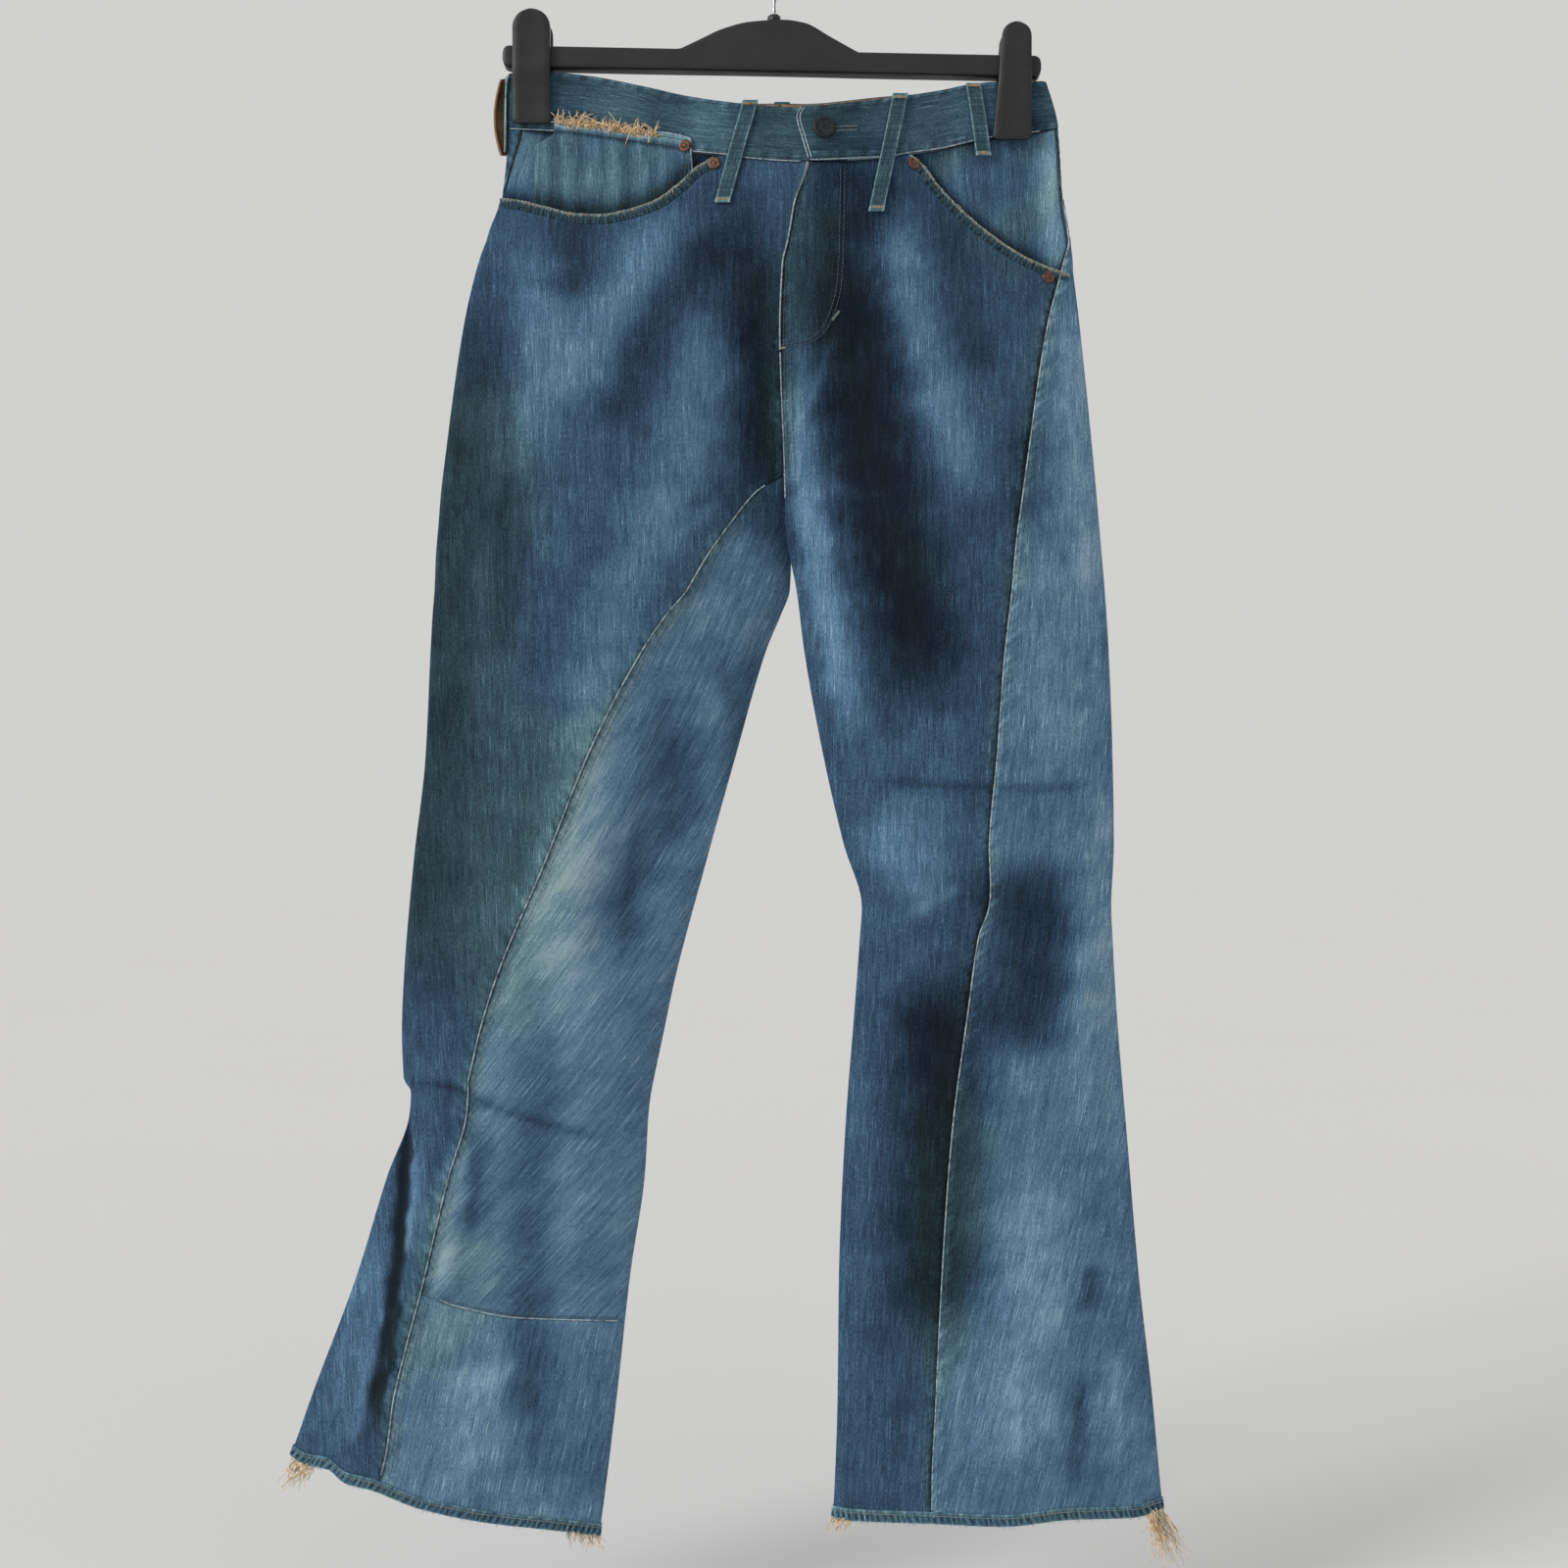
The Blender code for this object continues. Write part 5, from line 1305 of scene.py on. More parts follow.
@dataclass
class Yarn:
    """Round strands laid along paths: seams' worn rolls, stitches or frayed thread."""

    name: str
    radius: float
    sides: int = 1
    strands: list = field(default_factory=list)

    def lay(self, points: Grid, taper: Sequence[float] | None = None) -> None:
        """Add one strand along points in metres. Taper scales its radius at each point."""
        self.strands.append((points, taper if taper is not None else [1.0] * len(points)))

    def build(self, finish: Material, slot: str, replaces: Sequence[str] = ()) -> Object:
        """Make the strands into one piece.

        Args:
            finish: its material.
            slot: not used.
            replaces: nodes that it stands for.

        Returns:
            The piece.
        """
        curve = bpy.data.curves.new(self.name, "CURVE")
        curve.dimensions = "3D"
        curve.bevel_depth = self.radius * MM
        curve.bevel_resolution = self.sides
        curve.use_fill_caps = True
        for points, taper in self.strands:
            line = curve.splines.new("POLY")
            line.points.add(len(points) - 1)
            line.points.foreach_set("co", np.column_stack([points, np.ones(len(points))]).ravel())
            line.points.foreach_set("radius", np.asarray(taper, float))
        drawn = bpy.data.objects.new(self.name, curve)
        bpy.context.scene.collection.objects.link(drawn)
        mesh = bpy.data.meshes.new_from_object(drawn.evaluated_get(bpy.context.evaluated_depsgraph_get()))
        bpy.data.objects.remove(drawn)
        mesh.name = self.name
        mesh.shade_smooth()
        made = bpy.data.objects.new(self.name, mesh)
        bpy.context.scene.collection.objects.link(made)
        made.data.materials.clear()
        return dress(made, [finish], replaces)


@dataclass(frozen=True)
class StitchKind:
    """Pitch, stitch length and height of a sewn line, in millimetres."""

    pitch: float = 3.3
    length: float = 2.5
    height: float = 0.28
    uneven: float = 0.12


def sew(yarn: Yarn, path: Grid, kind: StitchKind, seed: int = 1) -> None:
    """Sew a line of stitches along a path that lies on the cloth.

    Args:
        yarn: the thread that gets the stitches.
        path: points in metres on the cloth's face.
        kind: how long and how far apart the stitches are.
        seed: makes their small unevenness the same each time.
    """
    draw = np.random.default_rng(seed)
    points = resample(path, 1.0)
    length = lengths_along(points)
    up = Vector((0, -1, 0)) if points[:, 1].mean() < 0 else Vector((0, 1, 0))
    for at in np.arange(0, length[-1] - kind.length * MM, kind.pitch * MM):
        long = kind.length * (1 + draw.uniform(-kind.uneven, kind.uneven)) * MM
        stops = at + np.array([0.0, 0.2, 0.5, 0.8, 1.0]) * long
        line = np.stack([np.interp(stops, length, points[:, i]) for i in range(3)], 1)
        arch = np.array([-0.5, 0.7, 1.0, 0.7, -0.5]) * kind.height * MM
        line = line + arch[:, None] * np.array(up)
        yarn.lay(line, [0.8, 1.0, 1.0, 1.0, 0.8])


def fuzz_edge(fuzz: Yarn, edge: Grid, count: int, length: float, seed: int) -> None:
    """Short broken threads along an edge.

    Args:
        fuzz: the yarn that gets them.
        edge: the edge's points in metres.
        count: how many there are.
        length: the longest, in millimetres.
        seed: makes them the same each time.
    """
    draw = np.random.default_rng(seed)
    for at in np.sort(draw.uniform(2, len(edge) - 3, count)):
        i = int(at)
        root = mix(edge[i], edge[i + 1], at - i)
        long = length * draw.uniform(0.25, 1.0) ** 2 + 0.5
        sway = draw.normal(0, 0.4, 3) * (1, 0.5, 0.3)
        tip = root + np.array([sway[0], sway[1], -1.0 + sway[2]]) * long * MM
        bend = draw.normal(0, 0.22, 3) * long * MM * (1, 0.4, 0.2)
        fuzz.lay(np.array([root + (0, 0, 0.4 * MM), mix(root, tip, 0.5) + bend, tip]), [1.2, 1.0, 0.5])


def wave_noise(along: Grid, seed: int, pitch: float) -> Grid:
    """A smooth uneven wave from -1 to 1 along a length in millimetres."""
    draw = np.random.default_rng(seed)
    total = np.zeros(np.shape(along))
    for octave in range(4):
        length = pitch * (0.6 + 0.37 * octave)
        total += np.sin(along * 2 * math.pi / length + draw.uniform(0, 6.3)) / (1.5 + octave)
    return np.clip(total / 1.4, -1, 1)


def washed_and_shaded(x: Grid, drop: Grid, face: Grid, base: float) -> tuple[Grid, Grid]:
    """Wash and tint at places as seen; the wash includes painted shade and highlight of the folds and
    creases.

    Args:
        x: places across.
        drop: places down.
        face: true on the front.
        base: wash where nothing else acts.

    Returns:
        The wash and the tint.
    """
    bent = x + 3.0 * wave_noise(drop, 15, 70) + 1.5 * wave_noise(drop + 0.6 * x, 16, 31)
    # Fade strokes that also paint highlight and shade on the folds, and the creases' heights as painted shade
    # and highlight
    light = read_strokes(bent, drop, face, WASH_AND_SHADE, WASH_AND_SHADE_POWER) * WASH_AND_SHADE_SHARE
    crease_shade = read_strokes(x, drop, face, CREASES) * CREASE_SHADE
    return base + light + crease_shade, read_strokes(x, drop, face, TINT)


@dataclass
class LegPanel:
    """One cut panel of a leg, from a top line to a foot line and from seam to seam."""

    name: str
    leg: Leg
    face: Face
    top: Callable[[Grid, Grid], Grid]
    foot: Callable[[Grid, Grid], Grid]
    columns: int
    rows: int
    lean: tuple[float, float]
    flat: tuple[float, float]
    replaces: tuple[str, ...]
    felled: float = 0.0
    base: float = 0.47
    passes_fold: str | None = None
    has_level: bool = False

    def drops(self, x: Grid, turn: Grid, share: Grid) -> Grid:
        """Drops of the rows. Those below a level no longer follow the top line.

        Args:
            x: places across.
            turn: their angles.
            share: the rows' shares of the way down.

        Returns:
            One drop for each place.
        """
        top = self.top(x, turn)
        foot = self.foot(x, turn)
        if not self.has_level:
            return mix(top, foot, share)
        split = (LEVEL_DROP - PANEL_START) / (HEM_DROP - PANEL_START)
        upper = mix(top, LEVEL_DROP, np.clip(share / split, 0, 1))
        lower = mix(LEVEL_DROP, foot, np.clip((share - split) / (1 - split), 0, 1))
        return np.where(share < split, upper, lower)

    def turns(self, drop: Grid) -> Grid:
        """Angles of the columns between the panel's two seams."""
        side = self.leg.read("side", drop) / 100
        inseam = np.where(drop <= CROTCH_DROP, 0.0, self.leg.read("inseam", drop) / 100)
        on_front = self.face is Face.FRONT
        start = turn_of(inseam) if on_front else turn_of(side)
        end = turn_of(side) if on_front else turn_of(inseam) + 2 * math.pi
        return mix(start, end, np.linspace(0, 1, self.columns)[None, :])

    def place(self) -> ClothGrid:
        """Work out where the panel's cloth lies.

        Returns:
            Its places, weave, wash and tint.
        """
        leg = self.leg
        share = np.linspace(0, 1, self.rows)[:, None]
        drop = mix(PANEL_START, HEM_DROP, share) + np.zeros((1, self.columns))
        for _ in range(ROUNDS):
            turn = self.turns(drop)
            x = skin(leg, turn, drop, Detail.FORM)[..., 0] / MM
            drop = self.drops(x, turn, share)
        turn = self.turns(drop)
        shift = np.zeros_like(drop)
        if self.face is Face.FRONT:
            slide = np.clip(1 - np.arange(self.columns) / (self.columns * FLY_SHARE), 0, 1)[None, :]
            reach = FLY_UNDERLAP * smoothstep((FLY_END - drop) / 20) if leg is RIGHT else fly_pull(drop)
            shift = reach * slide
        points = skin(leg, turn, drop, Detail.FINE, shift)
        from_start = lengths_along(points, 1) / MM
        from_end = from_start[:, -1:] - from_start
        outward = leg_normals(leg, turn, drop)
        ridge, pucker = self.seam_relief(from_start, from_end, drop)
        points = points + (ridge + pucker)[..., None] * MM * outward
        on_front = np.sin(turn) >= 0
        x = (points[..., 0] / MM - SIGHT_X) / (1 + points[..., 1] / MM / SIGHT_DISTANCE) + SIGHT_X
        wash, tint = washed_and_shaded(x, drop, on_front, self.base)
        near = np.minimum(from_start, from_end)
        # Worn lighter near the seams; the puckers' heights are painted in as highlight on their crests and
        # shade in their hollows
        near_seam = 0.10 * np.exp(-(near / 6.0) ** 2) * (wave_noise(drop, 4, 34) * 0.6 + 0.5)
        wash = wash + pucker * 0.45 + near_seam
        # A thin painted shadow along the seams
        if self.has_level and not self.felled:
            wash = wash - 0.34 * np.exp(-((near - 1.2) / 1.7) ** 2)
        tint = tint + 0.5 * np.exp(-(near / 12.0) ** 2)
        across = x
        if self.passes_fold is not None:
            across = np.where(on_front, x, 2 * leg.read(self.passes_fold, drop) - x)
        low, high = (math.tan(math.radians(angle)) for angle in self.lean)
        level = np.clip((drop - LEAN_START) / (LEAN_END - LEAN_START), 0, 1) * (LEAN_END - LEAN_START)
        slant = level * low + (high - low) * level * level / (2 * (LEAN_END - LEAN_START))
        slant = slant + np.clip(drop - LEAN_END, 0, None) * high
        flat = np.stack([(across + slant) * MM, drop * MM], -1)
        return ClothGrid(points, flat, wash, tint, outward)

    def seam_relief(self, from_start: Grid, from_end: Grid, drop: Grid) -> tuple[Grid, Grid]:
        """Height of the folded seam allowance and of the puckers beside it.

        Args:
            from_start: distance from the first seam.
            from_end: distance from the last seam.
            drop: how far down.

        Returns:
            The allowance's height and the puckers' height, in millimetres.
        """
        ridge = np.zeros_like(from_start)
        if self.felled:
            ridge = self.felled * smoothstep((ALLOWANCE - from_start) / 3.0)
            ridge = ridge + self.felled * smoothstep((ALLOWANCE - from_end) / 3.0)
        pucker = np.zeros_like(from_start)
        for distance, seed in ((from_start, 11), (from_end, 23)):
            fade = np.exp(-(distance / PUCKER_REACH) ** 2)
            pucker = pucker + PUCKER_HEIGHT * wave_noise(drop + distance * 0.8, seed, PUCKER_PITCH) * fade
        return ridge, pucker

    def build(self, wardrobe: Wardrobe) -> Object:
        cloth = self.place()
        made = lay_cloth(self.name, cloth, cloth.outward, PLY)
        dress(made, [wardrobe.denim, wardrobe.reverse], self.replaces)
        cloth.area()
        return made


def hem_foot(leg: Leg, rise: float = 0.0) -> Callable[[Grid, Grid], Grid]:
    """Foot line of a leg. The back's hem is a little higher than the front's."""
    def line(x: Grid, turn: Grid) -> Grid:
        """Drop of the hem."""
        return edge_drop(leg.hem, x) - BACK_HEM_RISE * np.clip(-np.sin(turn), 0, 1) - rise
    return line


def front_top(leg: Leg) -> Callable[[Grid, Grid], Grid]:
    """Top line of a front: the waist seam by the fly, then the pocket mouth out to the side seam.

    Args:
        leg: the side of the garment.

    Returns:
        A function that gives the line's drop.
    """
    mouth, inner_x = (RIGHT_MOUTH, -34) if leg is RIGHT else (LEFT_MOUTH, 102)

    def line(x: Grid, turn: Grid) -> Grid:
        """Drop of the top line."""
        by_fly = x > inner_x if leg is RIGHT else x < inner_x
        return np.where(by_fly, edge_drop(BAND_SEAM, x), edge_drop(mouth, x)) + 0.4
    return line


def back_rise(x: Grid, reach: float = 1.4) -> Grid:
    """How much higher the waist's back is than its front, round its crest."""
    return BACK_TOP_RISE * smoothstep(reach - np.abs(x - CREST_X) / CREST_WIDTH)


def back_seam(x: Grid) -> Grid:
    """Waist seam on the back."""
    return edge_drop(BAND_SEAM, x) - back_rise(x, 1.0)


class Legs:
    """The panels of both legs, their hems and their seams."""

    def panels(self) -> list[LegPanel]:
        """The cut panels, with their sizes.

        Returns:
            One panel for each cut of the legs and the yokes.
        """
        yoke_foot = lambda x, turn: edge_drop(YOKE_SEAM, x) - 0.3
        yoke_top = lambda x, turn: np.where(np.sin(turn) < 0, back_seam(x), edge_drop(BAND_SEAM, x))
        back_top = lambda x, turn: edge_drop(YOKE_SEAM, x)
        seam_above = lambda x, turn: edge_drop(HEM_PANEL_SEAM, x) - 0.3
        seam_below = lambda x, turn: edge_drop(HEM_PANEL_SEAM, x)
        return [
            LegPanel("front_cloth_right", RIGHT, Face.FRONT, front_top(RIGHT), hem_foot(RIGHT, 1.0), 110, 290,
                     (0, -3), (0.36, 1.08), ("front_panel_right",), felled=0.75, base=0.46,
                     passes_fold="outer", has_level=True),
            LegPanel("front_cloth_left", LEFT, Face.FRONT, front_top(LEFT), hem_foot(LEFT, 1.0), 100, 290,
                     (0, 3), (0.30, 1.08), ("front_panel_left",), felled=0.0, base=0.44,
                     passes_fold="inner", has_level=True),
            LegPanel("back_cloth_right", RIGHT, Face.BACK, back_top, seam_above, 80, 216,
                     (20, 44), (0.36, 0.90), ("back_panel_right",), base=0.68, passes_fold="inner",
                     has_level=True),
            LegPanel("back_cloth_left", LEFT, Face.BACK, back_top, hem_foot(LEFT, 1.0), 86, 256,
                     (2, 14), (0.40, 1.04), ("back_panel_left",), felled=0.75, base=0.61,
                     passes_fold="outer", has_level=True),
            LegPanel("hem_cloth_right", RIGHT, Face.BACK, seam_below, hem_foot(RIGHT, 1.0), 80, 56,
                     (12, 12), (0.34, 0.18), ("hem_panel_right",), base=0.68, passes_fold="inner"),
            LegPanel("yoke_cloth_right", RIGHT, Face.BACK, yoke_top, yoke_foot, 90, 22,
                     (0, 0), (0.24, 0.06), ("yoke_right",), base=0.46),
            LegPanel("yoke_cloth_left", LEFT, Face.BACK, yoke_top, yoke_foot, 90, 22,
                     (0, 0), (0.24, 0.06), ("yoke_left",), base=0.46),
        ]

    def seam_path(self, leg: Leg, column: str, start: float, end: float, lift: float,
                  shift: float = 0.0) -> Grid:
        """A side seam or an inseam, as points in metres.

        Args:
            leg: the side of the garment.
            column: which seam.
            start: its first drop.
            end: its last drop.
            lift: how far out of the face.
            shift: how far towards the front along the face, in hundredths of the flat width.

        Returns:
            Its points.
        """
        drop = np.linspace(start, end, int((end - start) / 4))[None, :]
        turn = turn_of((leg.read(column, drop) + shift) / 100)
        return (skin(leg, turn, drop) + lift * MM * leg_normals(leg, turn, drop))[0]

    def build(self, wardrobe: Wardrobe) -> None:
        """Make the panels, the hems and the worn seams.

        Args:
            wardrobe: the finishes.
        """
        for panel in self.panels():
            panel.build(wardrobe)
        rolls = Yarn("seam_rolls", 0.60, 2)
        thread = Yarn("seam_stitches", THREAD_RADIUS, 1)
        ends = {RIGHT: (1177.0, 1200.0), LEFT: (1202.0, 1204.0)}
        for leg in (RIGHT, LEFT):
            inseam_end, side_end = ends[leg]
            lift = 0.75 if leg is RIGHT else 0.3
            rolls.lay(self.seam_path(leg, "inseam", CROTCH_DROP + 12, inseam_end, lift))
            rolls.lay(self.seam_path(leg, "side", 206.0, side_end, 0.5))
            for seed, shift in ((3, -1.6), (5, -3.0)):
                if leg is RIGHT:
                    path = self.seam_path(leg, "inseam", CROTCH_DROP + 16, inseam_end, 0.85, shift)
                    sew(thread, path, StitchKind(), seed)
            path = self.seam_path(leg, "side", 210.0, side_end, 0.55, 1.6 if leg is LEFT else -1.6)
            sew(thread, path, StitchKind(), 9)
        x = np.linspace(-256.0, -119.0, 70)
        rolls.lay(on_panel(RIGHT, x, edge_drop(HEM_PANEL_SEAM, x) - 0.4, 0.1))
        sew(thread, on_panel(RIGHT, x, edge_drop(HEM_PANEL_SEAM, x) - 3.0, 0.2), StitchKind(), 12)
        rolls.build(wardrobe.seam, "denim")
        thread.build(wardrobe.tonal, "thread")
        self.hems(wardrobe)

    def hems(self, wardrobe: Wardrobe) -> None:
        """The turned and roped hems, with their worn edges and chain stitches.

        Args:
            wardrobe: the finishes.
        """
        chain = Yarn("hem_stitches", 0.30, 1)
        fuzz = Yarn("hem_fuzz", 0.13, 0)
        for leg in (RIGHT, LEFT):
            columns = 520
            outside = np.linspace(HEM_HEIGHT, 0.6, 7)
            inside = np.linspace(0.8, HEM_HEIGHT, 5)
            height = np.concatenate([outside, [0.15, 0.0, 0.25], inside])
            out = np.concatenate([np.full(7, 0.95), [0.6, -0.6, -1.7], np.full(5, -2.3)])
            turn = np.linspace(0, 2 * math.pi, columns)[None, :] + np.zeros((len(height), 1))
            drop = np.full(turn.shape, HEM_DROP)
            for _ in range(EDGE_ROUNDS):
                x = skin(leg, turn, drop, Detail.FORM)[..., 0] / MM
                drop = hem_foot(leg)(x, turn) - height[:, None]
            points = skin(leg, turn, drop)
            outward = leg_normals(leg, turn, drop)
            around = lengths_along(points[5])[None, :] / MM
            twist = around + height[:, None] * 0.35 + 1.6 * wave_noise(around, 6, 37)
            rope = np.sin(twist * 2 * math.pi / ROPE_PITCH)
            rope = rope * (0.62 + 0.38 * wave_noise(around, 8, 23))
            body = np.clip(1 - np.abs(height[:, None] - HEM_HEIGHT * 0.42) / (HEM_HEIGHT * 0.6), 0, 1)
            lift = out[:, None] + np.where(out[:, None] > 0, 0.42 * rope * body, 0)
            points = points + lift[..., None] * MM * outward
            lower = np.clip(1 - height[:, None] / 2.2, 0, 1)
            upper = np.exp(-((height[:, None] - HEM_HEIGHT + 0.6) / 1.3) ** 2)
            worn = 0.6 + 0.4 * wave_noise(around, 12, 19)
            wash = 0.46 + 0.34 * rope * body + 0.44 * lower * worn + 0.34 * upper * worn
            tint = 0.60 + 0.4 * wave_noise(around, 13, 120) + np.zeros_like(wash)
            flat = np.stack([around * MM + np.zeros_like(height)[:, None],
                             -height[:, None] * MM + 0 * around], -1)
            cloth = ClothGrid(points, flat, wash, tint)
            facing = outward * np.where(out > -1, 1.0, -1.0)[:, None, None]
            made = lay_cloth(f"hem_turn_{leg.name}", cloth, facing, 0.0, Closing.SIDES, 80)
            add_wall(made, 0.25, -1.0)
            dress(made, [wardrobe.hem_denim])
            line = points[2] + outward[2] * 0.15 * MM
            front = turn[0] < math.pi
            sew(chain, line[front], StitchKind(3.0, 2.6, 0.3), 31)
            sew(chain, line[~front], StitchKind(3.0, 2.6, 0.3), 32)
            fuzz_edge(fuzz, points[9], 640, 3.2, 41)
        chain.build(wardrobe.pale, "thread")
        fuzz.build(wardrobe.fuzz, "thread")


@dataclass
class Waistband:
    """The folded strip round the waist, lapped left over right, with its seam line and stitches."""

    under_x: float = 56.0
    columns: int = 460

    def section(self, height: float) -> tuple[Grid, Grid]:
        """Section of the folded strip: shares of its height down, and places through its wall.

        Args:
            height: height of the strip, in millimetres.

        Returns:
            The shares and the places, from 0 on the outer face to 1 on the inner one.
        """
        radius = 0.5 * BAND_WALL / height
        turn = np.linspace(0, math.pi, 7)
        face = np.linspace(1 - radius, radius, 14)
        top_share = radius - radius * np.sin(turn)
        through = (1 - np.cos(turn)) / 2
        back = np.linspace(radius, 1 - radius, 8)
        foot_share = 1 - radius + radius * np.sin(turn)
        share = np.concatenate([face, top_share[1:-1], back, foot_share[1:-1], face[:1]])
        place = np.concatenate([np.zeros(14), through[1:-1], np.ones(8), through[::-1][1:-1], [0.0]])
        return share, place

    def build(self, wardrobe: Wardrobe) -> None:
        """Make the waistband and what is sewn along it.

        Args:
            wardrobe: the finishes.
        """
        share, through = self.section(44.0)
        share = share[:, None]
        drop = np.full((len(share), self.columns), 140.0)
        even = np.linspace(0, 1, self.columns)[None, :]
        for _ in range(ROUNDS):
            start = band_turn(edge_drop(LEFT_END, drop[:, :1]), drop[:, :1])
            end = band_turn(self.under_x, drop[:, -1:]) - 2 * math.pi
            turn = mix(start, end, even)
            x = band_skin(turn, drop)[..., 0] / MM
            back = np.sin(turn) < 0
            rise = back_rise(x) - BACK_TOP_FALL * smoothstep((1 - np.abs(trunk_place(x, drop))) / 0.1)
            top = edge_drop(BAND_TOP, x) - np.where(back, rise, 0)
            low = np.where(back, back_seam(x), edge_drop(BAND_SEAM, x))
            drop = mix(top, low, share)
        over = np.arange(self.columns)[None, :] < self.columns // 2
        lift = np.where(over & ~back, LAP_LIFT * smoothstep((100 - x) / 40), 0.0) + BAND_PROUD
        outward = band_normals(turn, drop)
        points = band_skin(turn, drop)
        around = lengths_along(points[7])[None, :] / MM
        on_face = (through < 0.3)[:, None]
        near_foot = np.exp(-((share - 0.93) / 0.06) ** 2)
        near_top = np.exp(-((share - 0.05) / 0.05) ** 2)
        pucker = wave_noise(around + share * 20, 21, 15) * (near_foot + near_top) * 0.22
        waves = wave_noise(around, 22, 90) * np.sin(share * math.pi) * 0.35
        lift = lift - through[:, None] * BAND_WALL + np.where(on_face, pucker + waves, 0)
        points = points + lift[..., None] * MM * outward
        # The puckers' heights are painted in as highlight and shade; the top and foot are worn lighter
        wash = 0.37 + pucker * 0.9 + 0.14 * near_top + 0.10 * near_foot + 0.10 * wave_noise(around, 24, 120)
        wash = wash + 0.10 * np.sin(share * math.pi)
        wash = np.where(through[:, None] > 0.6, 0.62, wash)
        tint = 0.70 + 0.40 * wave_noise(around + share * 30, 25, 200) + 0 * wash
        flat = np.stack([share * 0.044 + 0 * around, around * MM + 0 * share], -1)
        cloth = ClothGrid(points[:, ::-1], flat[:, ::-1], wash[:, ::-1], tint[:, ::-1])
        made = lay_cloth("waistband_cloth", cloth, (0, -1, 0), 0.0, Closing.SOLID, 70)
        dress(made, [wardrobe.denim], ("waistband",))
        self.trim(wardrobe)

    def lift_at(self, x: Grid) -> Grid:
        """How far the strip's outer face stands off on the front."""
        return LAP_LIFT * smoothstep((100 - x) / 40) * (x > 20) + BAND_PROUD

    def trim(self, wardrobe: Wardrobe) -> None:
        """The worn lines, the stitches, the buttonhole and the tape that shows inside the back.

        Args:
            wardrobe: the finishes.
        """
        rolls = Yarn("waist_rolls", 0.5, 2)
        thread = Yarn("waist_stitches", 0.24, 1)
        for low, high in ((-202.0, 20.0), (27.0, 203.0)):
            x = np.linspace(low, high, 90)
            seam = edge_drop(BAND_SEAM, x)
            rolls.lay(on_band(x, seam + 0.1, self.lift_at(x) + 0.05))
            sew(thread, on_band(x, seam - 2.6, self.lift_at(x) + 0.2), StitchKind(), 51)
            sew(thread, on_band(x, edge_drop(BAND_TOP, x) + 3.0, self.lift_at(x) + 0.2), StitchKind(), 52)
        drop = np.linspace(132.5, 170.5, 40)
        for inset, radius_lift in ((0.3, 0.2), (2.6, 0.35)):
            end_x = edge_drop(LEFT_END, drop) + inset
            rolls.lay(on_band(end_x, drop, BAND_PROUD + LAP_LIFT + radius_lift))
        rolls.build(wardrobe.edge, "denim")
        back_x = np.linspace(-190, 196, 160)
        sew(thread, on_band(back_x, back_seam(back_x) - 2.6, np.full(160, 0.9), Face.BACK), StitchKind(), 53)
        thread.build(wardrobe.tonal, "thread")
        self.buttonhole(wardrobe)
        self.tape(wardrobe)

    def buttonhole(self, wardrobe: Wardrobe) -> None:
        """The slit beside the button, whipped round with thread, with a dark strand in it as painted shade.

        Args:
            wardrobe: the finishes.
        """
        thread = Yarn("buttonhole_thread", 0.34, 1)
        slit_shade = Yarn("buttonhole_slit_shade", 0.7, 1)
        lift = BAND_PROUD + LAP_LIFT
        x = np.linspace(46.5, 62.5, 34)
        middle = 148.6 - 0.05 * (x - 46)
        for at, centre in zip(x, middle):
            for side in (-1.0, 1.0):
                ends = centre + side * np.array([0.5, 2.2])
                thread.lay(on_band(np.full(2, at), ends, np.full(2, lift + 0.15)))
        # A dark strand sunk into the slit is painted shade in the opening
        slit_shade.lay(on_band(x, middle, np.full(len(x), lift - 0.35)))
        thread.build(wardrobe.tonal, "thread")
        slit_shade.build(wardrobe.dark_metal, "denim")

    def tape(self, wardrobe: Wardrobe) -> None:
        """The brown edge that shows inside the back of the waist.

        Args:
            wardrobe: the finishes.
        """
        x = np.linspace(-30, 92, 90)
        share = np.linspace(0, 1, 8)[:, None]
        rise = back_rise(x) - BACK_TOP_FALL
        drop = edge_drop(BAND_TOP, x)[None, :] - rise + 0.6 + 10.5 * share
        lift = np.full(drop.shape, BAND_PROUD - BAND_WALL - 0.35)
        lift[0] += 1.4
        points = on_band(x[None, :] + 0 * drop, drop, lift, Face.BACK)
        flat = flat_places(points)
        cloth = ClothGrid(points, flat, np.full(drop.shape, 0.5), np.zeros(drop.shape))
        made = lay_cloth("waist_tape", cloth, (0, -1, 0), 0.0)
        add_wall(made, 0.4, 1.0)
        dress(made, [wardrobe.tape])


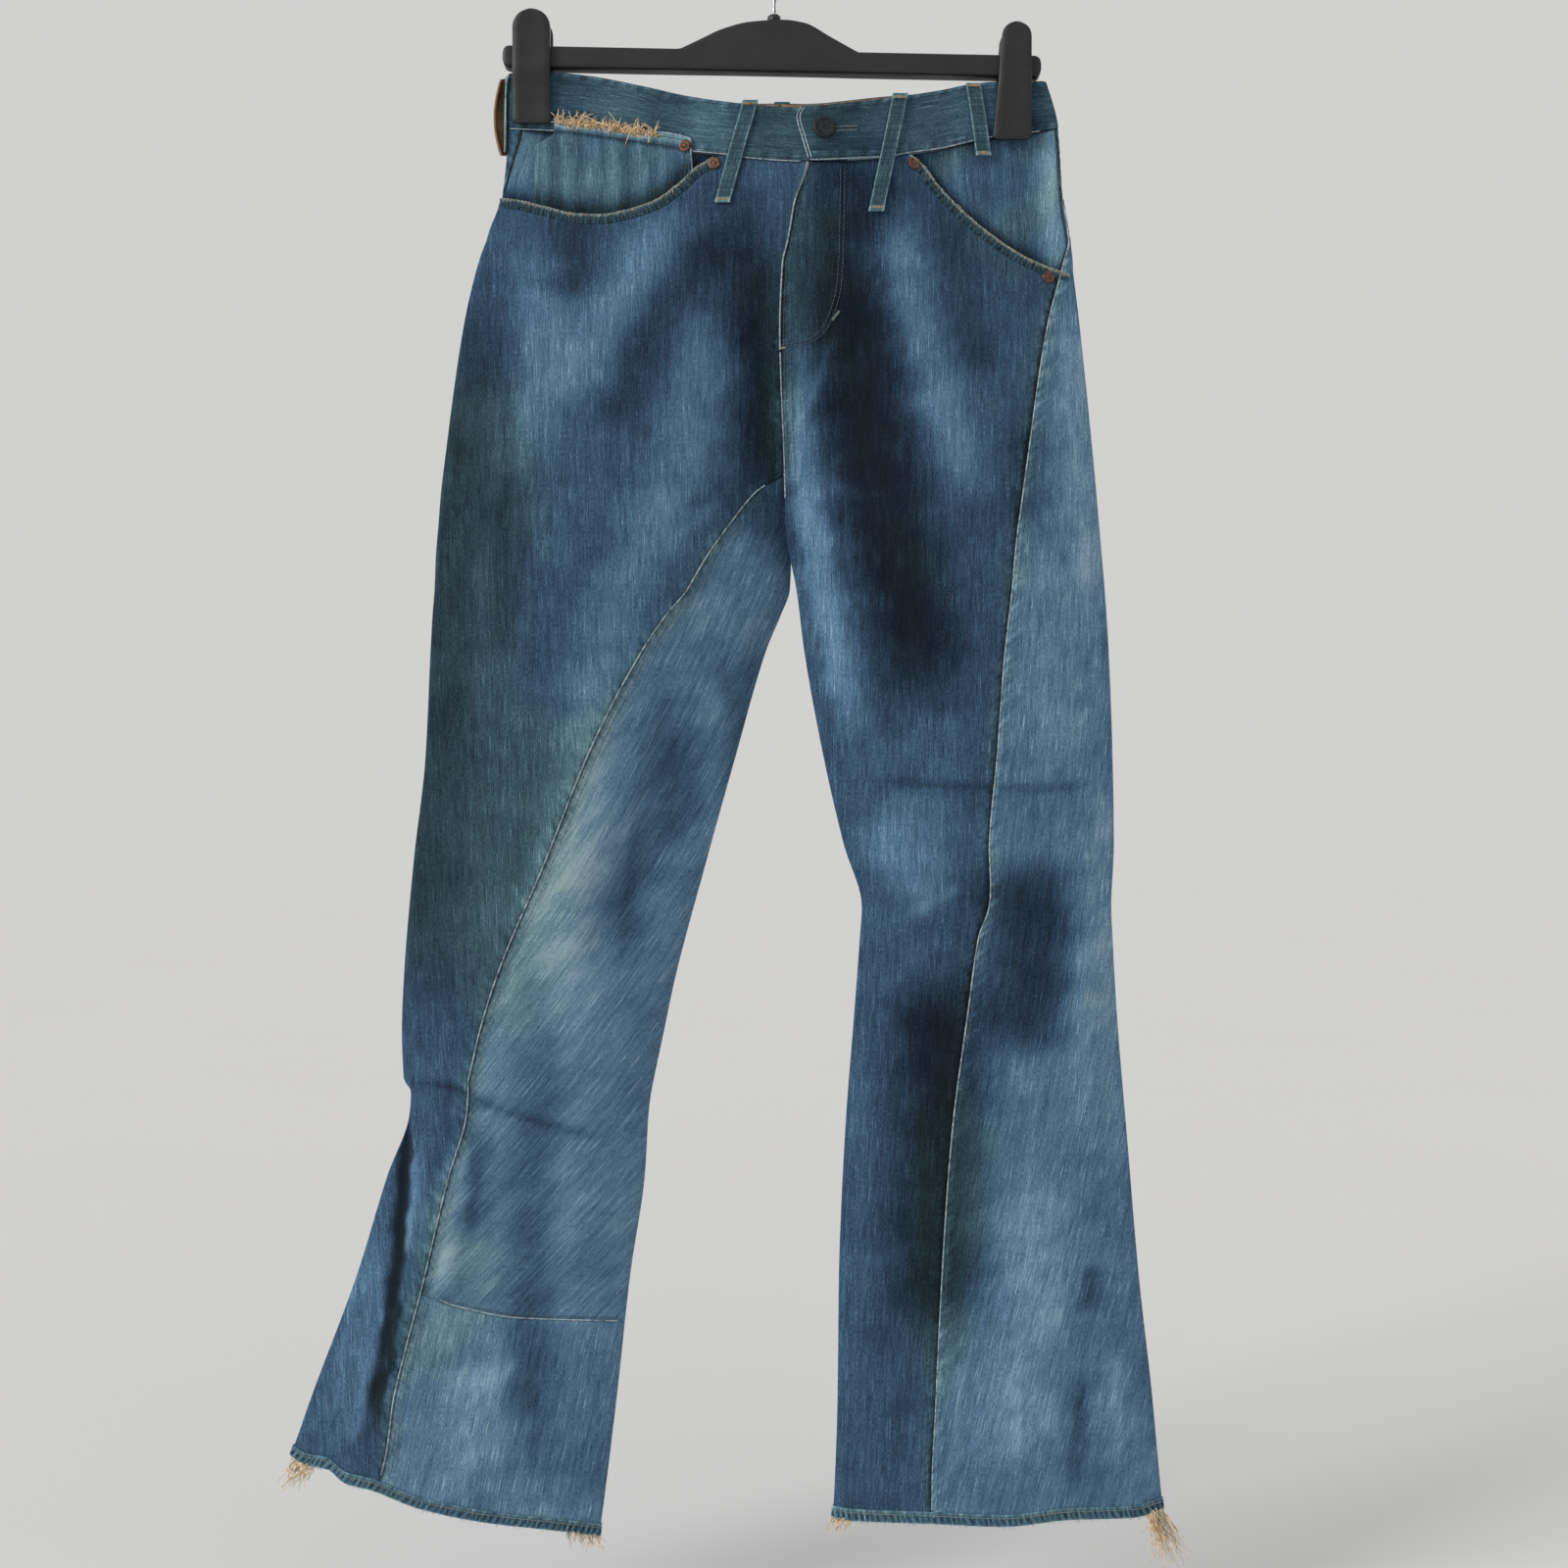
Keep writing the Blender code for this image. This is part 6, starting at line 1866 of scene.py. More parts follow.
@dataclass
class Pockets:
    """Facings, coin pocket, mouths' bindings and back pockets."""

    draw_seed: int = 77
    fringe_count: int = 300
    back_top: float = 229.0
    back_foot: float = 354.0
    back_point: float = 16.0
    back_half_top: float = 64.0
    back_half_foot: float = 54.0

    def patch(self, name: str, x: Grid, drop: Grid, deep: Grid, wall: float, wash: Grid, tint: Grid,
              face: Face, replaces: Sequence[str], wardrobe: Wardrobe, size: tuple[float, float]) -> Object:
        """A piece of cloth that lies on the trunk, or under its face.

        Args:
            name: the piece's name.
            x: places across, as seen.
            drop: places down, as seen.
            deep: how far its face is below the trunk's.
            wall: its thickness.
            wash: how light it is.
            tint: how green it is.
            face: front or back.
            replaces: the nodes that it stands for.
            wardrobe: the finishes.
            size: not used.

        Returns:
            The piece.
        """
        leg = RIGHT if np.mean(x) < 0 else LEFT
        turn = leg_turn(leg, x, drop, face)
        points = skin(leg, turn, drop, Detail.FOLDS) - deep[..., None] * MM * leg_normals(leg, turn, drop)
        cloth = ClothGrid(points, flat_places(points), wash, tint)
        made = lay_cloth(name, cloth, (0, -face.value, 0), wall)
        dress(made, [wardrobe.denim, wardrobe.reverse], replaces)
        return made

    def facings(self, wardrobe: Wardrobe) -> None:
        """The cloth that shows in the pocket mouths.

        Args:
            wardrobe: the finishes.
        """
        for leg, mouth, near_x, far_share in ((RIGHT, RIGHT_MOUTH, -30.0, 1.0),
                                              (LEFT, LEFT_MOUTH, 96.0, 0.985)):
            rows, columns = 40, 70
            down = np.linspace(0, 1, rows)[:, None]
            across = np.linspace(0, 1, columns)[None, :]
            drop = np.full((rows, columns), 180.0)
            for _ in range(ROUNDS):
                inner = leg.read("inner", drop)
                outer = leg.read("outer", drop)
                side = np.minimum(leg.read("side", drop) / 100 - 0.007, far_share)
                near = (near_x - inner) / (outer - inner)
                share = mix(near, side, 1 - (1 - across) ** 1.4)
                x = mix(inner, outer, share)
                reach = 18 * smoothstep((0.94 - share) / 0.1)
                low = np.maximum(edge_drop(mouth, x), edge_drop(BAND_SEAM, x)) + reach - 0.3
                drop = mix(edge_drop(BAND_SEAM, x) + 0.6, low, down)
            deep = 3.6 * smoothstep((1.0 - share) / 0.1)
            # Painted shadow in the cloth just under the mouth's edge, and a painted highlight towards the
            # side seam
            above = np.clip(edge_drop(mouth, x) - drop, 0, 60)
            wash = 0.52 - 0.36 * np.exp(-(above / 9.0) ** 2) + 0.10 * wave_noise(x, 61, 60)
            wash = wash + 0.16 * smoothstep((share - 0.86) / 0.1)
            tint = 0.4 + 0.4 * wave_noise(x + drop, 62, 90)
            size = (0.18, 0.075) if leg is RIGHT else (0.13, 0.12)
            self.patch(f"facing_cloth_{leg.name}", x, drop, deep, 1.2, wash, tint, Face.FRONT,
                       (f"pocket_facing_{leg.name}",), wardrobe, size)

    def coin_pocket(self, wardrobe: Wardrobe) -> None:
        """Small pocket with a torn top that lies over the foot of the waistband.

        Args:
            wardrobe: the finishes.
        """
        rows, columns = 60, 90
        down = np.linspace(0, 1, rows)[:, None]
        across = np.linspace(0, 1, columns)[None, :]
        drop = np.full((rows, columns), 170.0)
        for _ in range(EDGE_ROUNDS):
            left = -168 - 16 * smoothstep((drop - 150) / 12)
            x = mix(left, -63.0, across)
            low = np.maximum(edge_drop(RIGHT_MOUTH, x) + 9, 186.0)
            tear = 0.7 * wave_noise(x, 71, 9.0) * smoothstep((-84 - x) / 20)
            drop = mix(edge_drop(COIN_TOP, x) + tear, low, down ** 1.1)
        deep = mix(-COIN_PROUD, COIN_SUNK, self.coin_sink(x, drop))
        from_top = drop - edge_drop(COIN_TOP, x)
        deep = deep - 0.5 * smoothstep((9.0 - from_top) / 3.0) - 0.25 * wave_noise(x + 0.4 * drop, 72, 24)
        above = np.clip(edge_drop(RIGHT_MOUTH, x) - drop, 0, 60)
        torn = smoothstep((-88 - x) / 14) * (0.7 + 0.3 * wave_noise(x, 73, 12))
        # Painted shadow just above the pocket mouth and a painted shade line under the turned top; the torn
        # top, the band below it and the right edge are worn lighter
        wash = 0.60 + 0.10 * wave_noise(x * 1.3, 74, 40) - 0.46 * np.exp(-(above / 12.0) ** 2)
        wash = wash + 0.60 * np.exp(-((from_top - 2.0) / 4.5) ** 2) * torn
        wash = wash + 0.16 * smoothstep((8.0 - from_top) / 3.0)
        wash = wash - 0.20 * np.exp(-((from_top - 10.5) / 1.6) ** 2)
        wash = wash + 0.18 * np.exp(-((x + 64.5) / 1.4) ** 2)
        tint = 0.75 + 0.2 * wave_noise(x + drop, 75, 60)
        self.patch("coin_pocket_cloth", x, drop, deep, 1.2, wash, tint, Face.FRONT,
                   ("coin_pocket",), wardrobe, (0.125, 0.075))
        self.coin_trim(wardrobe)

    def coin_sink(self, x: Grid, drop: Grid) -> Grid:
        """How far the coin pocket has sunk, from 0 over the waistband to 1 in the pocket's mouth."""
        seam = edge_drop(BAND_SEAM, x)
        return smoothstep((drop - seam - 1) / np.clip(edge_drop(RIGHT_MOUTH, x) - seam - 4, 9, 24))

    def coin_point(self, x: Grid, from_top: Grid, lift: float) -> Grid:
        """Points on the coin pocket's turned top.

        Args:
            x: places across.
            from_top: how far below its top.
            lift: how far out, in millimetres.

        Returns:
            Points in metres.
        """
        drop = edge_drop(COIN_TOP, x) + from_top
        turn = leg_turn(RIGHT, x, drop)
        out = mix(COIN_PROUD + 0.5 + lift, -COIN_SUNK + 0.5 + lift, self.coin_sink(x, drop))
        return skin(RIGHT, turn, drop, Detail.FOLDS) + out[..., None] * MM * leg_normals(RIGHT, turn, drop)

    def coin_trim(self, wardrobe: Wardrobe) -> None:
        """Stitches, torn fringe and worn lines of the coin pocket.

        Args:
            wardrobe: the finishes.
        """
        thread = Yarn("coin_stitches", THREAD_RADIUS, 1)
        x = np.linspace(-164, -66, 60)
        sew(thread, self.coin_point(x, np.full(60, 9.5), 0.1), StitchKind(), 81)
        sew(thread, self.coin_point(x, np.full(60, 3.2), 0.1), StitchKind(), 82)
        for edge_x in (-65.5, -68.5):
            down = np.linspace(3, 33, 24)
            sew(thread, self.coin_point(np.full(24, edge_x), down, 0.1), StitchKind(), 83)
        thread.build(wardrobe.tonal, "thread")
        rolls = Yarn("coin_rolls", 0.45, 2)
        down = np.linspace(0, 40, 30)
        rolls.lay(self.coin_point(np.full(30, -63.2), down, -0.2))
        rolls.lay(self.coin_point(np.linspace(-92, -63.2, 20), np.full(20, 0.0), -0.3))
        rolls.build(wardrobe.edge, "denim")
        fringe = Yarn("coin_fringe", 0.38, 1)
        draw = np.random.default_rng(self.draw_seed)
        places = -167 + 78 * draw.beta(1.3, 1.25, self.fringe_count)
        roots = self.coin_point(places, draw.uniform(0.4, 5.2, self.fringe_count), 0.1)
        for at, root in zip(places, roots):
            clump = 0.5 + 0.5 * math.sin(at * 0.42 + 1.3)
            long = draw.uniform(1.4, 3.4 + 4.0 * clump) * MM
            angle = draw.uniform(-1.5, 1.5)
            heading = np.array([math.sin(angle), 0.0, math.cos(angle) * draw.choice([1.0, 1.0, 1.0, -0.5])])
            curl = draw.normal(0, 0.75, 3) * (1, 0.2, 1)
            out = np.array([0.0, -1.0, 0.0])
            steps = np.linspace(0, 1, 6)[:, None]
            line = root + heading * long * steps + curl * long * steps ** 2
            line = line + out * long * 0.55 * np.sin(steps * 2.6)
            fringe.lay(line, [1.0, 1.0, 0.95, 0.9, 0.75, 0.5])
        fringe.build(wardrobe.tan, "thread")

    def bindings(self, wardrobe: Wardrobe) -> None:
        """The turned edges of the pocket mouths, worn along the fold.

        Args:
            wardrobe: the finishes.
        """
        fuzz = Yarn("mouth_fuzz", 0.17, 0)
        thread = Yarn("mouth_stitches", THREAD_RADIUS, 1)
        for leg, mouth, low, high, width in ((RIGHT, RIGHT_MOUTH, -210.0, -46.0, 6.6),
                                             (LEFT, LEFT_MOUTH, 103.5, 226.0, 6.0)):
            count = 230
            x = np.linspace(low, high, count)
            drop = edge_drop(mouth, x)
            slope = np.gradient(drop, x)
            down_x = -slope / np.hypot(slope, 1)
            down_z = 1 / np.hypot(slope, 1)
            profile = [(-0.8, 0.0), (-0.9, 0.5), (-0.6, 0.95), (0.0, 1.15), (0.12, 1.0), (0.3, 0.85),
                       (0.5, 0.8), (0.7, 0.82), (0.86, 0.75), (0.96, 0.5), (1.0, 0.05)]
            down = np.array([row[0] for row in profile])[:, None]
            down = np.where(down < 0, down, down * width)
            out = np.array([row[1] for row in profile])[:, None]
            ripple = wave_noise(x * 1.4, 91, 7.0) * 0.16 * np.clip(down / width, 0, 1)
            at_x = x + down * down_x
            at_drop = drop + down * down_z
            points = on_panel(leg, at_x, at_drop, 0.0)
            turn = leg_turn(leg, at_x, at_drop)
            points = points + (out + ripple)[..., None] * MM * leg_normals(leg, turn, at_drop)
            fold = np.exp(-((down - 0.1) / 1.1) ** 2)
            worn = 0.62 + 0.38 * wave_noise(x, 92, 11)
            # The fold is worn lighter; the ripples' heights are painted in as highlight and shade
            wash = 0.34 + 0.60 * fold * worn + 0.10 * wave_noise(x, 90, 5) + 0.16 * ripple / 0.16
            tint = np.full(wash.shape, 0.95)
            cloth = ClothGrid(points, flat_places(points), wash, tint)
            made = lay_cloth(f"mouth_binding_{leg.name}", cloth, (0, -1, 0), 0.3, Closing.OPEN, 80)
            dress(made, [wardrobe.denim, wardrobe.reverse])
            line = on_panel(leg, x + 3.4 * down_x, drop + 3.4 * down_z, 1.0)
            sew(thread, line, StitchKind(2.9, 2.2, 0.35), 93)
            count_fuzz = 480 if leg is LEFT else 420
            fuzz_edge(fuzz, points[3] + np.array([0, -0.3 * MM, 0.3 * MM]), count_fuzz, 2.6, 94)
        thread.build(wardrobe.tonal, "thread")
        fuzz.build(wardrobe.binding, "thread")

    def back_pockets(self, wardrobe: Wardrobe) -> None:
        """Plain patch pockets on the backs, with two rows of stitches.

        Args:
            wardrobe: the finishes.
        """
        thread = Yarn("back_pocket_stitches", THREAD_RADIUS, 1)
        for name, middle in (("right", -104.0), ("left", 116.0)):
            rows, columns = 60, 60
            down = np.linspace(0, 1, rows)[:, None]
            across = np.linspace(-1, 1, columns)[None, :]
            x = middle + across * mix(self.back_half_top, self.back_half_foot, down)
            low = self.back_foot - self.back_point * np.abs(across)
            drop = mix(self.back_top + 0 * across, low, down)
            rim = np.minimum((1 - np.abs(across)) * 60, np.minimum(down, 1 - down) * 120)
            deep = -(1.75 + 0.3 * smoothstep((4 - rim) / 3)) + 0 * drop
            wash = 0.58 + 0.18 * np.exp(-(rim / 2.5) ** 2) + 0.08 * wave_noise(x + drop, 95, 50)
            tint = 0.3 + 0.3 * wave_noise(x - drop, 96, 120)
            self.patch(f"back_pocket_cloth_{name}", x, drop, deep, 1.3, wash, tint, Face.BACK,
                       (f"back_pocket_{name}",), wardrobe, (0.13, 0.13))
            leg = RIGHT if middle < 0 else LEFT
            for inset, seed in ((2.2, 97), (7.0, 98)):
                side = self.back_half_top - inset
                foot = self.back_half_foot - inset
                point = self.back_foot - inset
                shoulder = point - self.back_point
                corners = [(-side, self.back_top), (-foot, shoulder), (0.0, point), (foot, shoulder),
                           (side, self.back_top)]
                px = np.interp(np.linspace(0, 4, 120), range(5), [c[0] for c in corners]) + middle
                pz = np.interp(np.linspace(0, 4, 120), range(5), [c[1] for c in corners])
                sew(thread, on_panel(leg, px, pz, 2.3, Face.BACK), StitchKind(), seed)
            px = np.linspace(middle - 62, middle + 62, 60)
            pz = np.full(60, self.back_top + 10.0)
            sew(thread, on_panel(leg, px, pz, 2.3, Face.BACK), StitchKind(), 99)
        thread.build(wardrobe.pale, "thread")

    def build(self, wardrobe: Wardrobe) -> None:
        """Make every pocket.

        Args:
            wardrobe: the finishes.
        """
        self.facings(wardrobe)
        self.coin_pocket(wardrobe)
        self.bindings(wardrobe)
        self.back_pockets(wardrobe)


@dataclass(frozen=True)
class LoopPlace:
    """Where one belt loop is sewn."""

    name: str
    top: tuple[float, float]
    foot: tuple[float, float]
    face: Face
    extra: float


@dataclass
class BeltLoops:
    """The loops: narrow strips with raised, worn edges, tacked at both ends."""

    width: float = 12.0
    wall: float = 1.6
    seat: float = 0.35
    bow: float = 1.1
    places: tuple[LoopPlace, ...] = (
        LoopPlace("front_right", (-18.0, 126.0), (-39.5, 204.0), Face.FRONT, 0.0),
        LoopPlace("front_left", (96.0, 121.0), (77.5, 211.0), Face.FRONT, 0.6),
        LoopPlace("side_left", (152.0, 113.0), (160.0, 168.0), Face.FRONT, 0.0),
        LoopPlace("back", (CENTRE_BACK_X, 126.0), (CENTRE_BACK_X, 194.0), Face.BACK, 0.0),
    )

    def profile(self) -> Grid:
        """Section of a loop: places across as shares of the half width, and heights."""
        across = np.concatenate([np.linspace(-1, 1, 25), np.linspace(0.96, -0.96, 7)])
        top = np.abs(across[:25])
        edge = np.exp(-((top - 0.84) / 0.10) ** 2) * 0.38
        fall = smoothstep((1 - top) / 0.07)
        top_height = (self.wall * 0.72 + edge) * fall + self.wall * 0.35 * (1 - fall)
        height = np.concatenate([top_height, np.zeros(7)])
        return np.stack([across, height], 1)

    def build(self, wardrobe: Wardrobe) -> None:
        """Make the loops and their bar tacks.

        Args:
            wardrobe: the finishes.
        """
        tack = Yarn("loop_tacks", 0.3, 1)
        thread = Yarn("loop_stitches", 0.22, 1)
        profile = self.profile()
        for place in self.places:
            stations = 70
            down = np.linspace(0, 1, stations)[None, :]
            drop = mix(place.top[1], place.foot[1], down)
            middle = mix(place.top[0], place.foot[0], down)
            seam = edge_drop(BAND_SEAM, middle)
            on_band_share = smoothstep((seam + 6 - drop) / 5)
            proud = mix(self.seat, self.seat + BAND_PROUD, on_band_share)
            proud = proud + self.bow * np.sin(math.pi * down) ** 0.5 + place.extra
            proud = proud + 0.9 * smoothstep((down - 0.93) / 0.03) + 0.7 * smoothstep((0.06 - down) / 0.03)
            across = profile[:, :1] * self.width / 2
            x = middle + across
            at = drop + 0 * across
            lift = proud + profile[:, 1:] + 0 * x
            points = on_band(x, at, lift, place.face)
            edge = np.exp(-((np.abs(profile[:, :1]) - 0.88) / 0.09) ** 2)
            wear = 0.75 + 0.25 * wave_noise(drop, 101, 12)
            wash = 0.44 + 0.42 * edge * wear + 0.08 * wave_noise(drop * 2, 102, 9)
            wash = wash + 0.24 * smoothstep((down - 0.95) / 0.02) + 0.18 * smoothstep((0.05 - down) / 0.03)
            tint = np.full(wash.shape, 1.0)
            flat = np.stack([across * MM + 0 * down, drop * MM + 0 * across], -1)
            cloth = ClothGrid(points, flat, wash, tint).joined()
            made = lay_cloth(f"loop_{place.name}", cloth, (0, -place.face.value, 0), 0.0, Closing.SOLID, 60)
            dress(made, [wardrobe.denim], (f"belt_loop_{place.name}",))
            cloth.area() / 2
            self.tack_ends(tack, place)
            for side in (-0.62, 0.62):
                row = np.linspace(0.04, 0.96, 50)
                px = mix(place.top[0], place.foot[0], row) + side * self.width / 2
                pz = mix(place.top[1], place.foot[1], row)
                out = self.seat + BAND_PROUD + self.bow * np.sin(math.pi * row) ** 0.5
                out = out + place.extra + self.wall * 0.72
                out = out - BAND_PROUD * smoothstep((pz - edge_drop(BAND_SEAM, px) - 1) / 5)
                sew(thread, on_band(px, pz, out, place.face), StitchKind(2.8, 2.1, 0.2), 103)
        tack.build(wardrobe.tack, "thread")
        thread.build(wardrobe.tonal, "thread")
        self.side_loop(wardrobe)

    def tack_ends(self, tack: Yarn, place: LoopPlace) -> None:
        """Close rows of thread across both ends of a loop.

        Args:
            tack: the thread that gets them.
            place: where the loop is.
        """
        for share in (0.035, 0.965):
            centre_x = mix(place.top[0], place.foot[0], share)
            centre_drop = mix(place.top[1], place.foot[1], share)
            step = BAND_PROUD + 0.3 if share < 0.5 else 0.15
            out = self.seat + self.wall * 0.72 + 1.0 + place.extra + step
            for at in np.linspace(-0.74, 0.74, 15):
                px = np.full(2, centre_x + at * self.width / 2)
                pz = centre_drop + np.array([-0.9, 0.9])
                tack.lay(on_band(px, pz, np.full(2, out), place.face))

    def side_loop(self, wardrobe: Wardrobe) -> None:
        """The loop that is seen edge on at the right side.

        Args:
            wardrobe: the finishes.
        """
        profile = self.profile()
        stations = 40
        down = np.linspace(0, 1, stations)[None, :]
        drop = mix(107.0, 165.0, down)
        y = profile[:, :1] * 4.6 + 0 * down
        x = RIGHT.read("outer", drop) - BAND_PROUD - self.seat - 0.7 * np.sin(math.pi * down)
        points = along_sight(x - profile[:, 1:], y, drop + 0 * y)
        edge = np.exp(-((np.abs(profile[:, :1]) - 0.88) / 0.1) ** 2)
        wash = 0.5 + 0.45 * edge + 0 * drop
        tint = np.full(wash.shape, 1.1)
        flat = np.stack([profile[:, :1] * 0.0046 + 0 * down, drop * MM + 0 * y], -1)
        cloth = ClothGrid(points, flat, wash, tint).joined()
        made = lay_cloth("loop_side_right", cloth, (-1, 0, 0), 0.0, Closing.SOLID, 60)
        dress(made, [wardrobe.denim], ("belt_loop_side_right",))
        cloth.area() / 2


@dataclass
class Fly:
    """The lapped fly: its worn edge, curved stitching, tacks and the crotch seam below it."""

    def build(self, wardrobe: Wardrobe) -> None:
        """Make the fly's lines.

        Args:
            wardrobe: the finishes.
        """
        rolls = Yarn("fly_rolls", 0.62, 2)
        thread = Yarn("fly_stitches", THREAD_RADIUS, 1)
        drop = np.linspace(173.0, 316.0, 70)
        edge = LEFT.read("inner", drop) + fly_pull(drop)
        rolls.lay(on_panel(LEFT, edge + 0.4, drop, 0.1))
        below = np.linspace(318.0, 430.0, 50)
        rolls.lay(on_panel(LEFT, LEFT.read("inner", below) + 0.5, below, 0.15))
        rolls.build(wardrobe.edge, "denim")
        sew(thread, on_panel(LEFT, edge + 3.4, drop, 0.15), StitchKind(), 111)
        curve = [(54.0, 176.0), (53.0, 240.0), (51.0, 268.0), (46.0, 288.0), (38.0, 303.0), (26.0, 311.0),
                 (6.0, 314.0)]
        at = np.linspace(0, 6, 90)
        for shift in (0.0, 3.2):
            px = smooth_curve(at, range(7), [row[0] for row in curve]) - shift
            pz = smooth_curve(at, range(7), [row[1] for row in curve]) - shift * 0.4
            sew(thread, on_panel(LEFT, px, pz, 0.25), StitchKind(), 112)
        sew(thread, on_panel(LEFT, LEFT.read("inner", below) + 3.6, below, 0.2), StitchKind(), 113)
        sew(thread, on_panel(LEFT, LEFT.read("inner", below) + 8.4, below, 0.2), StitchKind(), 114)
        thread.build(wardrobe.tonal, "thread")
        tack = Yarn("fly_tacks", 0.3, 1)
        for centre_x, centre_drop, angle in ((4.5, 315.0, 0.15), (47.0, 290.0, 0.9)):
            step = np.linspace(-4.2, 4.2, 15)[:, None]
            half = np.array([[-0.9, 0.9]])
            px = centre_x + step * math.cos(angle) + half * math.sin(angle)
            pz = centre_drop - step * math.sin(angle) + half * math.cos(angle)
            for line in on_panel(LEFT, px, pz, 0.45):
                tack.lay(line)
        tack.build(wardrobe.pale, "thread")


@dataclass
class Metalwork:
    """The waist button and the pocket rivets, turned on a lathe."""

    button_place: tuple[float, float] = (37.5, 148.2)
    rivets: tuple[tuple[float, float, float], ...] = (
        (-67.5, 161.0, BAND_PROUD + 1.7), (-45.8, 173.6, 0.0), (107.2, 173.4, 0.0), (209.5, 260.8, 0.0))

    def turned(self, name: str, place: tuple[float, float], proud: float, profile: Rows,
               steps: int) -> Object:
        """Spin a profile round its axis and set it on the cloth.

        Args:
            name: the piece's name.
            place: x and drop of its axis.
            proud: how far its foot is off the waist's face.
            profile: radii and heights, from its foot to the middle of its top.
            steps: how many sides it has.

        Returns:
            The object.
        """
        shape = spin_profile(profile, steps)
        level = np.array([[place[1]]])
        turn = band_turn(np.array([[place[0]]]), level)
        axis = Vector(band_normals(turn, level)[0, 0])
        foot = Vector(band_skin(turn, level)[0, 0]) + axis * proud * MM
        turned = Vector((0, 0, 1)).rotation_difference(axis).to_matrix()
        bmesh.ops.rotate(shape, verts=shape.verts, matrix=turned)
        bmesh.ops.translate(shape, verts=shape.verts, vec=foot)
        return to_object(name, shape, True, 35.0)

    def build(self, wardrobe: Wardrobe) -> None:
        """Make the button and the rivets.

        Args:
            wardrobe: the finishes.
        """
        profile = [(0.0, 0.0), (3.2, 0.0), (3.2, 1.2), (7.6, 1.45), (8.35, 1.9), (8.5, 2.5), (8.3, 3.1),
                   (7.6, 3.6), (6.6, 3.75), (6.1, 3.6), (5.9, 3.3), (5.5, 3.2), (3.0, 3.3),
                   (1.0, 3.35), (0.0, 3.35)]
        button = self.turned("button", self.button_place, BAND_PROUD + BAND_WALL + 0.75, profile, 56)
        dress(button, [wardrobe.dark_metal], ("waist_button",))
        rivet = [(0.0, 0.0), (4.8, 0.0), (4.8, 0.35), (4.6, 0.8), (4.0, 1.15), (3.0, 1.2), (2.3, 1.0),
                 (1.8, 1.05), (1.5, 1.6), (0.9, 1.85), (0.0, 1.9)]
        for number, (x, drop, cloth) in enumerate(self.rivets, 1):
            made = self.turned(f"rivet_cap_{number}", (x, drop), cloth + 0.35, rivet, 36)
            dress(made, [wardrobe.copper], (f"rivet_{number}",))


@dataclass
class Patch:
    """Bare leather patch on the waistband's back. Its end bows out round the side loop."""

    route: tuple[tuple[float, float, float], ...] = (
        (-208.4, -4.5, 5.5), (-208.8, 0.0, 5.2), (-208.3, 4.6, 4.0), (-205.9, 7.0, 1.6), (-200, 6.6, 0.0),
        (-186, 6.3, 0.0), (-171, 6.5, 0.0), (-158, 6.9, 0.0), (-145, 7.6, 0.0))
    wall: float = 1.5

    def build(self, wardrobe: Wardrobe) -> None:
        """Make the patch.

        Args:
            wardrobe: the finishes.
        """
        stops = np.array(self.route)
        at = np.linspace(0, len(stops) - 1, 60)
        x, y, bow = (smooth_curve(at, range(len(stops)), stops[:, i])[None, :] for i in range(3))
        down = np.linspace(0, 1, 34)[:, None]
        drop = mix(109.0, 168.0, down) + 0 * x
        x = x - bow * np.sin(math.pi * down) ** 0.8
        y = y + 0 * down
        run = np.stack([np.gradient(x, axis=1), np.gradient(y, axis=1)], -1)
        run /= np.linalg.norm(run, axis=-1, keepdims=True)
        points = along_sight(x - run[..., 1] * self.wall / 2, y + run[..., 0] * self.wall / 2, drop)
        cloth = ClothGrid(points, flat_places(points), np.full(drop.shape, 0.5), np.zeros(drop.shape))
        made = lay_cloth("patch_leather_piece", cloth, (0, 1, 0), self.wall)
        soft = made.modifiers.new("edge", "BEVEL")
        soft.width = 0.3 * MM
        soft.segments = 2
        soft.limit_method = "ANGLE"
        dress(made, [wardrobe.leather, wardrobe.leather], ("leather_patch",))


@dataclass(frozen=True)
class Tuft:
    """One frayed corner of a hem."""

    name: str
    leg: Leg
    first: float
    last: float
    strands: int
    length: float
    lean: float
    spread: float
    seed: int


